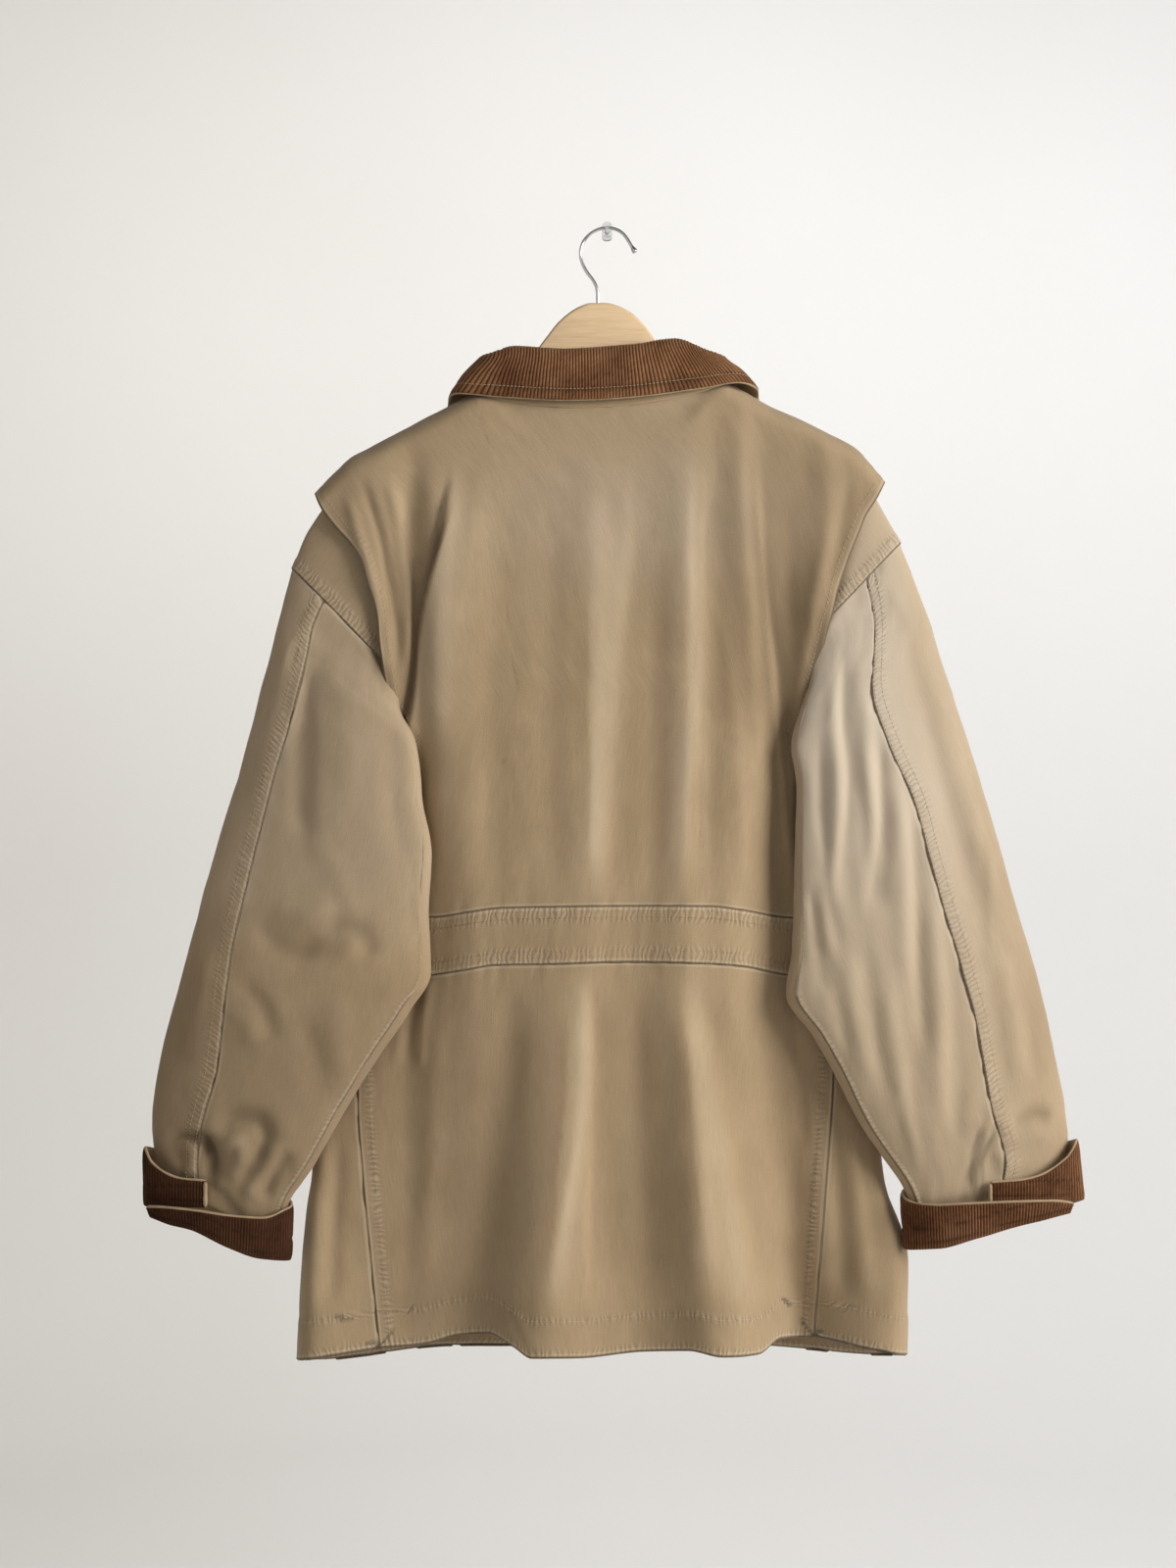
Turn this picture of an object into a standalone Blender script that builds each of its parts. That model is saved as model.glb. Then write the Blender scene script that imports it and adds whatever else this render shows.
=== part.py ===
"""A chore coat hung, back to the viewer, on a wooden hanger whose wire hook rests on a small wall hook.

Every cloth piece is a thin panel of its own. The tables are in millimetres as measured on one upright
plane; true_place moves each point to where it lies at its own depth. X is to the right, Z is up, and Y
runs into the wall, whose face is at Y = 0, so that all of the coat is at negative Y.
"""

import math

import bmesh
import bpy
import numpy as np

MM = 0.001
COLLECTION_NAME = "chore_coat"
CUTTERS_NAME = "cutters"

# The upright plane on which the outlines were measured, its middle, and the distance it was seen from.
PLANE_Y = -40.0
PLANE_MIDDLE = (-13.8, -460.9)
SEEN_FROM = 1700.0
ORIGIN_SHIFT = (2.4, 8.8)

CLOTH = 1.4
SEAM_HALF_GAP = 0.2
SHOULDER_HALF_GAP = 0.32
CORDUROY = 1.6
UNDER_CLOTH = 1.0
LAYER_HALF_GAP = 0.25
RIDGE_Y = -26.0
RIDGE_NEAR = 0.5
SHOULDER_ROLL = 12.0
NECK_ROLL = 30.0
FLANGE_CLEAR = 1.95
# Where the roll of the upper edge changes from the neck's to the shoulder's, by distance from the middle.
NECK_ROLL_X = 62.0
NECK_SLOPE_X = 75.0
SHOULDER_ROLL_X = 96.0
FOLD_FADE = 45.0

# Depth of the back cloth by height: in the middle, beside the arms and at the sides (no folds).
BACK_SECTIONS = (
    # z, middle, flank, side
    (-120.0, 41.0, 40.0, 34.0),
    (-200.0, 44.0, 43.0, 38.0),
    (-300.0, 48.0, 45.0, 42.0),
    (-380.0, 50.0, 43.0, 41.0),
    (-421.0, 50.0, 38.0, 34.0),
    (-460.0, 50.0, 33.0, 27.0),
    (-560.0, 51.0, 32.0, 22.0),
    (-640.0, 52.0, 32.0, 22.0),
    (-720.0, 54.0, 34.0, 24.0),
    (-790.0, 57.0, 38.0, 31.0),
    (-860.0, 60.0, 44.0, 41.0),
    (-940.0, 63.0, 50.0, 52.0),
)
MIDDLE_HALF = 100.0
FLANK_HALF = 165.0
SIDE_HALF = 240.0

# Large folds of the back: a crest or trough line, its height at both ends, and its two half widths.
BACK_FOLDS = (
    # x top, z top, x foot, z foot, height top, height foot, left width, right width
    (-14.0, -190.0, -18.0, -600.0, 1.0, 4.0, 46.0, 26.0),
    (74.0, -170.0, 66.0, -600.0, 2.0, 3.5, 24.0, 15.0),
    (112.0, -190.0, 126.0, -440.0, 3.5, 2.0, 18.0, 12.0),
    (-142.0, -250.0, -132.0, -470.0, 4.0, 3.0, 14.0, 34.0),
    (-160.0, -250.0, -151.0, -410.0, -7.0, -3.5, 12.0, 11.0),
    (-196.0, -235.0, -186.0, -400.0, 3.0, 2.0, 16.0, 14.0),
    (152.0, -310.0, 148.0, -540.0, -5.0, -6.0, 14.0, 12.0),
    (184.0, -210.0, 176.0, -400.0, 3.5, 1.5, 13.0, 12.0),
    (-36.0, -600.0, -50.0, -945.0, 3.0, 25.0, 48.0, 46.0),
    (-92.0, -640.0, -113.0, -945.0, -1.0, -18.0, 30.0, 26.0),
    (66.0, -600.0, 96.0, -945.0, 3.0, 21.0, 34.0, 40.0),
    (128.0, -620.0, 165.0, -945.0, -2.0, -22.0, 24.0, 26.0),
    (-232.0, -700.0, -236.0, -945.0, 0.0, 7.0, 30.0, 30.0),
    (226.0, -700.0, 232.0, -945.0, 1.0, 8.0, 26.0, 30.0),
)

# Depth of the front cloth, which hangs nearly flat before the wall.
FRONT_SECTIONS = (
    # z, depth
    (-120.0, 13.0),
    (-250.0, 11.5),
    (-400.0, 9.5),
    (-600.0, 8.5),
    (-940.0, 8.5),
)
FRONT_FOLDS = (
    # x top, z top, x foot, z foot, height top, height foot, left width, right width
    (-110.0, -430.0, -125.0, -945.0, 1.0, 5.0, 30.0, 34.0),
    (95.0, -430.0, 118.0, -945.0, 1.0, 5.0, 34.0, 28.0),
)

# The neck, as seen from behind: the seam, the crest of the collar's roll, and the edge of its fall.
COLLAR_SECTIONS = (
    # neck x, y, z, crest x, y, z, edge x, y, z
    (-5.0, -13.0, -207.0, -13.0, -9.5, -192.0, -36.0, -5.5, -258.0),
    (-40.0, -13.0, -200.0, -33.0, -10.5, -183.0, -84.0, -6.0, -238.0),
    (-72.0, -13.5, -183.0, -56.0, -11.5, -167.0, -110.0, -7.0, -203.0),
    (-93.0, -14.5, -162.0, -75.0, -13.0, -146.0, -122.0, -8.5, -172.0),
    (-104.0, -18.0, -140.0, -91.0, -18.0, -121.0, -129.0, -9.0, -147.0),
    (-106.5, -26.0, -135.5, -98.0, -26.0, -110.0, -128.0, -26.0, -138.5),
    (-97.7, -38.5, -139.7, -91.0, -36.0, -104.5, -118.5, -43.0, -135.5),
    (-69.0, -39.5, -146.0, -74.0, -38.0, -98.4, -84.0, -45.5, -138.3),
    (-23.0, -42.0, -149.0, -31.8, -40.0, -100.2, -32.0, -49.5, -141.0),
    (24.0, -42.0, -146.6, 20.4, -40.0, -97.0, 24.0, -49.5, -138.3),
    (70.0, -39.5, -138.8, 58.0, -38.0, -92.8, 78.0, -45.5, -131.4),
    (95.3, -38.5, -131.1, 84.0, -36.0, -103.0, 110.0, -42.5, -126.5),
    (103.5, -26.0, -128.5, 95.0, -26.0, -111.0, 126.5, -26.0, -133.0),
    (101.0, -18.0, -134.0, 88.0, -18.0, -117.0, 127.0, -9.0, -141.5),
    (90.0, -14.5, -158.0, 72.0, -13.0, -143.0, 119.0, -8.5, -168.0),
    (69.0, -13.5, -180.0, 54.0, -11.5, -165.0, 107.0, -7.0, -201.0),
    (35.0, -13.0, -199.0, 28.0, -10.5, -182.0, 78.0, -6.0, -236.0),
    (0.0, -13.0, -207.0, 7.0, -9.5, -192.0, 30.0, -5.5, -258.0),
)
NECK_LEFT_ROW = 5
NECK_RIGHT_ROW = 12
COLLAR_LAST_ROW = 17
STAND_GAP = 1.05
CORNER_GAP = 0.9
CORNER_ROWS = (4.5, 12.5)
CREST_HALF = 3.2
CREST_BEND = ((-1.0, 1.0), (-0.72, 0.3), (0.0, 0.0), (0.72, 0.3), (1.0, 1.0))
FALL_SPRING = 1.6

# The shoulder seams, from the neck to the tip of the cap.
LEFT_SHOULDER = (
    (-154.7, -161.0),
    (-178.1, -173.2),
    (-196.2, -183.0),
    (-209.3, -189.7),
    (-222.3, -201.5),
    (-240.4, -219.7),
)
RIGHT_SHOULDER = (
    (138.7, -148.3),
    (162.0, -158.7),
    (185.4, -170.4),
    (207.5, -182.1),
    (219.1, -194.0),
    (232.1, -210.6),
)
# The free edge of the cap that stands out over the sleeve, from its tip to the foot of the armhole.
LEFT_CAP_EDGE = (
    (-240.4, -219.7),
    (-235.3, -231.3),
    (-224.7, -245.7),
    (-209.3, -262.5),
    (-202.8, -271.0),
    (-196.2, -292.3),
    (-189.7, -315.8),
    (-187.0, -344.4),
    (-183.2, -370.3),
    (-178.3, -393.7),
    (-169.5, -411.0),
    (-162.0, -421.5),
)
RIGHT_CAP_EDGE = (
    (232.1, -210.6),
    (225.6, -223.6),
    (216.5, -237.9),
    (211.4, -250.8),
    (204.9, -266.4),
    (198.4, -284.6),
    (193.1, -300.2),
    (189.6, -315.8),
    (184.0, -336.6),
    (180.2, -354.7),
    (175.0, -378.1),
    (171.5, -395.8),
    (165.0, -411.0),
    (158.5, -421.5),
)
# The side seams, set on the back, and the outermost line of each side, from the armhole to the hem.
LEFT_SIDE = (
    # seam x, seam z, side x, side z
    (-162.0, -421.5, -162.6, -422.0),
    (-166.0, -440.0, -172.0, -441.0),
    (-176.0, -480.0, -190.0, -480.0),
    (-186.0, -530.0, -206.0, -530.0),
    (-193.0, -571.0, -217.0, -571.0),
    (-198.0, -619.0, -225.0, -619.0),
    (-203.0, -675.0, -232.0, -675.0),
    (-204.9, -723.1, -238.0, -723.0),
    (-200.5, -790.0, -243.0, -790.0),
    (-194.0, -860.0, -250.5, -862.0),
    (-187.0, -928.7, -254.6, -938.5),
)
RIGHT_SIDE = (
    # seam x, seam z, side x, side z
    (158.5, -421.5, 159.1, -422.0),
    (163.0, -440.0, 169.0, -441.0),
    (173.0, -480.0, 187.0, -480.0),
    (181.0, -530.0, 203.0, -530.0),
    (186.0, -571.0, 213.0, -571.0),
    (189.0, -619.0, 220.0, -619.0),
    (190.5, -675.0, 224.0, -675.0),
    (189.0, -723.0, 227.0, -723.0),
    (184.0, -790.0, 232.0, -790.0),
    (179.0, -860.0, 252.0, -860.0),
    (174.5, -919.0, 250.0, -934.6),
)
ARMHOLE_FOOT_Z = -421.5
WAIST_TOP_ROW = 4
WAIST_FOOT_ROW = 5
# The waistband's edges across the back, by share of the width from the left seam to the right seam.
WAIST_EDGES = (
    # share, top z, foot z
    (0.0, -571.0, -619.0),
    (0.13, -571.5, -619.5),
    (0.21, -567.4, -615.4),
    (0.28, -564.0, -611.2),
    (0.39, -563.1, -610.6),
    (0.56, -562.3, -608.5),
    (0.74, -562.6, -610.3),
    (0.81, -565.7, -612.4),
    (0.92, -572.0, -619.5),
    (1.0, -571.0, -619.0),
)
# The hem's lower edge across the back.
BACK_HEM = (
    # share, z
    (0.0, -928.7),
    (0.11, -925.0),
    (0.18, -918.0),
    (0.25, -916.5),
    (0.31, -928.0),
    (0.35, -937.5),
    (0.46, -937.0),
    (0.61, -931.5),
    (0.71, -931.0),
    (0.79, -936.5),
    (0.87, -934.0),
    (0.92, -921.0),
    (1.0, -919.0),
)

CENTRE_X = -3.0
OVERLAP = 24.0
FRONT_HEM_Z = -926.5
UNDERLAP = 2.2
# How far in the front starts behind the back at the armhole's foot, where they meet at a right angle.
FOOT_TUCK = (1.3, 1.0, 0.2)
SIDE_TURN = 9.0
SIDE_TURN_SHARE = 0.6
SIDE_RUN = 12.0
FOOT_TURN = 2.0
FOOT_DROP = 2.0
UNDER_FADE = (4.0, 40.0)
CENTRE_DROP_SHARE = 0.45
NECK_CORNER_DROP = 0.5
FOOT_BLEND = 0.93
RUN_POINTS = 5
TURN_POINTS = 9
FLAT_POINTS = 13

BACK_ROWS = (0.0, 0.003, 0.009, 0.02, 0.04, 0.08, 0.15, 0.23, 0.31, 0.4, 0.49, 0.57)
SHOULDER_SHARES = (0.0, 0.2, 0.4, 0.6, 0.8)
FRONT_SHOULDER_SHARES = (0.0, 0.015, 0.13, 0.26, 0.39, 0.52, 0.65, 0.78, 0.9)
FRONT_COLUMNS = (0.0, 0.004, 0.035, 0.07, 0.11, 0.15, 0.19, 0.235, 0.285, 0.34, 0.42, 0.52, 0.64, 0.77, 0.9, 1.0)

# The sleeves: each row is a ring from its outer edge to its inner edge. Seam is the place of the back
# seam as a share of the ring's width from its outer edge; bow moves the ring's middle up the sleeve.
LEFT_BAND = (
    # outer x, z, inner x, z, outer depth, inner depth, back bulge, front bulge, seam, bow
    (-227.5, -223.0, -164.0, -345.0, 26.0, 28.0, 11.0, 10.5, 0.3, 12.0),
    (-247.0, -253.5, -168.0, -362.0, 25.5, 29.0, 12.0, 10.5, 0.3, 5.0),
    (-258.6, -282.0, -171.0, -372.0, 25.0, 30.0, 13.0, 11.0, 0.29, 0.0),
)
LEFT_SLEEVE = (
    # outer x, z, inner x, z, outer depth, inner depth, back bulge, front bulge, seam, bow
    (-258.6, -282.0, -171.0, -372.0, 25.0, 30.0, 13.0, 11.0, 0.29, 0.0),
    (-265.0, -306.0, -173.0, -396.0, 25.0, 33.0, 15.0, 11.0, 0.245, 0.0),
    (-271.6, -331.4, -169.5, -421.0, 25.0, 39.0, 18.0, 11.0, 0.22, 0.0),
    (-274.0, -341.0, -167.0, -431.0, 25.0, 43.5, 19.0, 10.0, 0.215, 0.0),
    (-280.0, -364.0, -159.0, -453.0, 25.0, 46.0, 20.0, 10.0, 0.205, 0.0),
    (-288.4, -395.7, -151.5, -478.0, 25.0, 47.0, 21.0, 10.0, 0.195, 0.0),
    (-303.4, -454.0, -144.5, -519.0, 25.0, 48.0, 22.0, 10.0, 0.165, 0.0),
    (-320.5, -509.0, -146.5, -566.0, 25.0, 48.0, 23.0, 10.0, 0.17, 0.0),
    (-339.8, -578.7, -144.5, -616.0, 26.0, 48.0, 24.0, 10.0, 0.17, 0.0),
    (-351.4, -622.9, -163.0, -650.0, 27.0, 47.0, 24.0, 11.0, 0.2, 0.0),
    (-361.5, -660.0, -188.0, -687.0, 28.0, 46.0, 24.0, 12.0, 0.25, 0.0),
    (-370.9, -700.7, -217.7, -734.5, 29.0, 45.0, 24.0, 13.0, 0.3, 0.0),
    (-375.6, -737.1, -243.0, -779.0, 30.0, 43.0, 22.0, 14.0, 0.3, 0.0),
    (-374.5, -760.0, -261.2, -806.0, 32.0, 40.0, 16.0, 12.0, 0.32, 0.0),
    (-369.0, -790.0, -273.0, -838.0, 34.0, 39.0, 13.5, 11.0, 0.33, 0.0),
)
RIGHT_BAND = (
    # outer x, z, inner x, z, outer depth, inner depth, back bulge, front bulge, seam, bow
    (219.5, -214.0, 160.0, -318.0, 26.0, 28.0, 13.0, 10.5, 0.35, 10.0),
    (233.0, -239.0, 164.0, -331.0, 25.5, 29.0, 14.0, 10.5, 0.35, 5.0),
    (244.6, -261.2, 168.0, -342.0, 25.0, 30.0, 14.5, 11.0, 0.35, 0.0),
)
RIGHT_SLEEVE = (
    # outer x, z, inner x, z, outer depth, inner depth, back bulge, front bulge, seam, bow
    (244.6, -261.2, 168.0, -342.0, 25.0, 30.0, 14.5, 11.0, 0.36, 0.0),
    (255.5, -289.8, 168.5, -372.0, 25.0, 31.0, 15.0, 11.0, 0.38, 0.0),
    (268.5, -323.6, 168.5, -400.0, 25.0, 34.0, 17.0, 11.0, 0.43, 0.0),
    (276.0, -348.0, 166.5, -421.0, 25.0, 39.0, 19.0, 11.0, 0.455, 0.0),
    (279.0, -358.0, 164.0, -431.0, 25.0, 43.5, 19.5, 10.0, 0.455, 0.0),
    (294.0, -403.7, 160.5, -465.8, 25.0, 47.0, 21.0, 10.0, 0.43, 0.0),
    (310.2, -455.0, 159.0, -503.6, 25.0, 48.0, 22.0, 10.0, 0.36, 0.0),
    (326.5, -509.0, 157.6, -552.2, 25.0, 48.0, 23.0, 10.0, 0.335, 0.0),
    (339.9, -557.6, 156.5, -598.0, 26.0, 48.0, 24.0, 10.0, 0.31, 0.0),
    (353.4, -603.6, 151.5, -636.0, 26.0, 48.0, 24.0, 10.0, 0.285, 0.0),
    (364.2, -644.0, 172.5, -668.3, 27.0, 47.0, 24.0, 11.0, 0.3, 0.0),
    (372.3, -681.8, 191.4, -700.7, 28.0, 46.0, 24.0, 12.0, 0.325, 0.0),
    (380.4, -722.4, 214.0, -745.0, 29.0, 45.0, 24.0, 13.0, 0.355, 0.0),
    (384.0, -756.0, 248.0, -795.0, 31.0, 41.0, 17.0, 12.0, 0.38, 0.0),
    (377.0, -785.0, 260.0, -830.0, 34.0, 39.0, 13.5, 11.0, 0.42, 0.0),
)
UNDERARM_SHARE = 0.96
UNDER_CAP_FULL_Z = -405.0
UNDER_CAP_FOOT_Z = -430.0
EDGE_FULLNESS = 0.8
SEAM_FLAT_DEG = 1.4
BACK_SEAM_GAP = 0.22
UNDER_SEAM_GAP = 0.36
UNDER_PANEL_STEPS = 6
UPPER_PANEL_STEPS = 12
BAND_STEPS = 18
BAND_LIFT = 0.45
EDGE_CROWDING = 1.6
ANGLE_STEPS = 721

# The turned-back cuffs: strips that start with the flap on the back, run round the outer edge and over
# the wall side, and come round the inner edge to end in a pointed lower band. Turn 0 is the outer edge,
# 90 the wall side, 180 the inner edge. Out is how far each edge stands from the cuff's centre oval.
LEFT_CUFF = (
    # turn, top z, foot z, top out, foot out, y shift
    (-80.0, -791.5, -812.5, 0.0, 0.0, 0.0),
    (-55.0, -789.0, -812.0, 0.0, 0.0, 0.0),
    (-25.0, -777.0, -811.5, 0.5, 0.5, 0.0),
    (0.0, -763.8, -810.5, 1.0, 1.0, 0.0),
    (35.0, -766.0, -816.0, 1.0, 0.5, 0.0),
    (90.0, -782.0, -829.0, 2.0, 0.5, 0.0),
    (145.0, -801.0, -846.0, 2.0, 0.5, 0.0),
    (180.0, -811.0, -855.0, 2.5, 0.5, 0.0),
    (205.0, -815.5, -856.5, 2.5, 1.0, -1.0),
    (235.0, -822.5, -855.0, 4.5, 2.0, -2.0),
    (262.0, -820.5, -846.0, 6.5, 3.0, -3.0),
    (288.0, -816.0, -832.0, 8.0, 4.0, -3.0),
    (312.0, -813.5, -825.5, 9.0, 4.5, -3.0),
    (330.0, -813.0, -820.0, 9.0, 5.5, -3.0),
)
RIGHT_CUFF = (
    # turn, top z, foot z, top out, foot out, y shift
    (-90.0, -793.0, -808.5, 0.0, 0.0, 0.0),
    (-60.0, -789.0, -808.0, 0.0, 0.0, 0.0),
    (-28.0, -773.0, -807.0, 0.5, 0.5, 0.0),
    (0.0, -757.5, -806.0, 1.0, 6.0, 0.0),
    (35.0, -761.0, -811.0, 1.0, 4.0, 0.0),
    (90.0, -776.0, -823.0, 2.0, 1.5, 0.0),
    (145.0, -793.0, -838.5, 2.0, 0.5, 0.0),
    (180.0, -802.0, -845.5, 2.5, 0.5, 0.0),
    (205.0, -809.0, -847.5, 2.5, 1.0, -1.0),
    (235.0, -811.8, -846.5, 4.5, 2.0, -2.0),
    (262.0, -810.2, -838.0, 6.5, 3.0, -3.0),
    (288.0, -808.8, -828.0, 8.0, 4.0, -3.0),
    (312.0, -808.2, -821.0, 9.0, 4.5, -3.0),
    (330.0, -810.0, -816.5, 9.0, 5.5, -3.0),
)
CUFF_OVAL = (
    # centre x, centre y, half width, half depth
    (-321.5, -37.5, 59.0, 20.0),
    (320.5, -37.5, 70.5, 20.0),
)
CUFF_STEPS = 34
CUFF_HEIGHT_STEPS = 3
RIM_DROP = 0.9
SHARPEST_BEND = 0.75

# The wooden hanger: its upper and lower edges.
HANGER_EDGES = (
    # x, top z, foot z
    (-218.0, -211.0, -220.0),
    (-214.0, -202.0, -226.0),
    (-205.0, -192.1, -225.0),
    (-190.0, -182.6, -217.0),
    (-172.0, -173.1, -206.0),
    (-150.0, -161.6, -194.0),
    (-125.0, -149.6, -180.0),
    (-104.0, -139.6, -168.0),
    (-88.0, -130.5, -158.0),
    (-73.0, -117.5, -149.0),
    (-62.0, -107.0, -143.0),
    (-55.4, -98.6, -139.0),
    (-46.9, -87.4, -135.0),
    (-39.4, -78.0, -131.5),
    (-30.1, -69.6, -128.0),
    (-20.8, -64.0, -125.5),
    (-11.4, -61.2, -124.0),
    (0.0, -61.0, -123.5),
    (9.0, -62.8, -124.0),
    (16.5, -66.0, -125.0),
    (24.1, -70.6, -126.5),
    (33.5, -79.9, -130.0),
    (42.8, -92.7, -134.0),
    (50.0, -101.5, -137.0),
    (60.0, -111.0, -141.0),
    (78.0, -123.5, -149.0),
    (101.0, -133.8, -162.0),
    (122.0, -142.4, -173.0),
    (146.0, -154.1, -186.0),
    (168.0, -164.1, -198.0),
    (188.0, -174.4, -209.0),
    (201.0, -182.1, -217.0),
    (209.0, -190.6, -218.0),
    (213.0, -201.0, -212.0),
)
HANGER_HALF = 5.0
HANGER_CHAMFER = 2.2
HANGER_CHAMFER_SHARE = 0.25
STEM_X = -5.7
BORE_RADIUS = 1.78
BORE_FOOT_Z = -84.0
BORE_MOUTH_Z = -50.0
BORE_SIDES = 12

WIRE_RADIUS = 1.4
WIRE_SIDES = 8
WIRE_PATH = (
    # x, z, radius
    (-5.7, -82.5, 1.4),
    (-5.7, -66.0, 1.4),
    (-5.7, -55.0, 1.4),
    (-6.2, -49.5, 1.4),
    (-9.0, -43.0, 1.4),
    (-13.8, -37.0, 1.4),
    (-17.9, -30.0, 1.4),
    (-20.2, -21.5, 1.4),
    (-19.0, -13.0, 1.4),
    (-14.4, -6.0, 1.4),
    (-7.4, -1.0, 1.4),
    (0.8, 1.2, 1.4),
    (8.0, 0.6, 1.4),
    (14.7, -2.9, 1.4),
    (19.5, -9.0, 1.4),
    (22.8, -15.0, 1.4),
    (23.6, -16.2, 2.1),
    (25.2, -18.4, 2.5),
    (26.6, -20.4, 1.9),
)

WALL_PLATE = (2.0, -2.0, 8.0, 16.0, 2.2)
WALL_PLATE_CORNER = 3.0
WALL_PLATE_SIDES = 16
PRONG = (
    # y, foot z, top z, half width
    (-2.2, -7.0, -0.7, 3.2),
    (-10.0, -6.2, -0.7, 2.8),
    (-20.0, -5.0, -0.7, 2.2),
    (-28.6, -4.6, -0.7, 2.0),
    (-30.2, -3.8, 2.6, 2.0),
    (-31.6, -2.4, 3.2, 1.8),
)
PRONG_X = 2.2

BUTTON_Z = (-232.0, -372.0, -512.0, -652.0, -792.0)
BUTTON_RADIUS = 9.5
BUTTON_THICK = 2.6
BUTTON_CLEAR = 0.45
BUTTON_SIDES = 16
BUTTON_PROFILE = ((0.0, 0.9), (0.2, 1.0), (0.8, 1.0), (1.0, 0.88))

COLOURS = {
    # slot: red, green, blue, roughness, metallic
    "twill": (0.36, 0.27, 0.17, 0.9, 0.0),
    "corduroy": (0.16, 0.075, 0.035, 0.95, 0.0),
    "hanger_wood": (0.8, 0.55, 0.3, 0.45, 0.0),
    "hook_metal": (0.72, 0.72, 0.74, 0.2, 1.0),
    "wall_hook": (0.86, 0.88, 0.88, 0.15, 0.0),
    "button": (0.12, 0.07, 0.04, 0.4, 0.0),
}


def clear_scene():
    """Empty the file of objects and of this object's collections."""
    for old in list(bpy.data.objects):
        bpy.data.objects.remove(old, do_unlink=True)
    for old in list(bpy.data.collections):
        bpy.data.collections.remove(old)


def make_collection(name):
    """A new collection in the scene."""
    made = bpy.data.collections.new(name)
    bpy.context.scene.collection.children.link(made)
    return made


def make_material(slot):
    """One plain material for a slot."""
    red, green, blue, roughness, metallic = COLOURS[slot]
    made = bpy.data.materials.new(slot)
    made.use_nodes = True
    shader = made.node_tree.nodes["Principled BSDF"]
    shader.inputs["Base Color"].default_value = (red, green, blue, 1.0)
    shader.inputs["Roughness"].default_value = roughness
    shader.inputs["Metallic"].default_value = metallic
    made.diffuse_color = (red, green, blue, 1.0)
    return made


def smoothstep(low, high, value):
    """0 below low, 1 above high, and an even rise between."""
    share = np.clip((np.asarray(value, float) - low) / (high - low), 0.0, 1.0)
    return share * share * (3.0 - 2.0 * share)


def along(points, shares):
    """Points at the given shares of a smooth curve's length through a table's points."""
    points = np.asarray(points, float)
    steps = np.linalg.norm(np.diff(points, axis=0), axis=1)
    place = np.concatenate([[0.0], np.cumsum(steps)]) / steps.sum()
    return through(place, points, shares)


def through(place, values, wanted):
    """Values between a table's rows on a smooth curve that doesn't overshoot them."""
    place = np.asarray(place, float)
    values = np.asarray(values, float)
    wanted = np.clip(np.asarray(wanted, float), place[0], place[-1])
    single = values.ndim == 1
    if single:
        values = values[:, None]
    slope = np.diff(values, axis=0) / np.diff(place)[:, None]
    tangent = np.empty_like(values)
    tangent[0] = slope[0]
    tangent[-1] = slope[-1]
    before = slope[:-1]
    after = slope[1:]
    mean = 0.5 * (before + after)
    limit = 2.2 * np.minimum(np.abs(before), np.abs(after))
    tangent[1:-1] = np.where(before * after > 0, np.sign(mean) * np.minimum(np.abs(mean), limit), 0.0)
    cell = np.clip(np.searchsorted(place, wanted, side="right") - 1, 0, len(place) - 2)
    width = (place[cell + 1] - place[cell])[..., None]
    part = ((wanted - place[cell])[..., None]) / width
    square = part * part
    cube = square * part
    result = (
        (2 * cube - 3 * square + 1) * values[cell]
        + (cube - 2 * square + part) * width * tangent[cell]
        + (-2 * cube + 3 * square) * values[cell + 1]
        + (cube - square) * width * tangent[cell + 1]
    )
    return result[..., 0] if single else result


def resample(points, shares):
    """Points at the given shares of a polyline's length."""
    points = np.asarray(points, float)
    steps = np.linalg.norm(np.diff(points, axis=0), axis=1)
    place = np.concatenate([[0.0], np.cumsum(steps)]) / steps.sum()
    return np.stack([np.interp(shares, place, points[:, k]) for k in range(points.shape[1])], axis=1)


def fold_heights(folds, x, z):
    """How far the folds of a table lift the cloth at x, z."""
    lift = np.zeros(np.broadcast(x, z).shape)
    for x_top, z_top, x_foot, z_foot, high_top, high_foot, left, right in folds:
        down = (z_top - z) / (z_top - z_foot)
        held = np.clip(down, 0.0, 1.0)
        off = x - (x_top + (x_foot - x_top) * held)
        wide = np.where(off < 0.0, left, right)
        beyond = (down - held) * (z_top - z_foot)
        fade = np.exp(-((beyond / FOLD_FADE) ** 2))
        lift += (high_top + (high_foot - high_top) * held) * fade * np.exp(-((off / wide) ** 2))
    return lift


def back_y(x, z):
    """The depth of the back cloth's middle, away from the shoulder and neck edges."""
    rows = np.asarray(BACK_SECTIONS)[::-1]
    middle, flank, side = (through(rows[:, 0], rows[:, k], z) for k in (1, 2, 3))
    off = np.abs(x - CENTRE_X)
    depth = middle + (flank - middle) * smoothstep(MIDDLE_HALF, FLANK_HALF, off)
    depth = depth + (side - flank) * smoothstep(FLANK_HALF, SIDE_HALF, off)
    return -(depth + fold_heights(BACK_FOLDS, x, z))


def front_y(x, z):
    """The depth of the front cloth's middle, away from the shoulder and neck edges."""
    rows = np.asarray(FRONT_SECTIONS)[::-1]
    return -(through(rows[:, 0], rows[:, 1], z) + fold_heights(FRONT_FOLDS, x, z))


def true_place(points):
    """Move measured points to where they lie at their own depth, with the wall hook at the origin."""
    placed = np.array(points, float)
    size = 1.0 + (placed[..., 1] - PLANE_Y) / SEEN_FROM
    placed[..., 0] = PLANE_MIDDLE[0] + (placed[..., 0] - PLANE_MIDDLE[0]) * size - ORIGIN_SHIFT[0]
    placed[..., 2] = PLANE_MIDDLE[1] + (placed[..., 2] - PLANE_MIDDLE[1]) * size - ORIGIN_SHIFT[1]
    return placed


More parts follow.
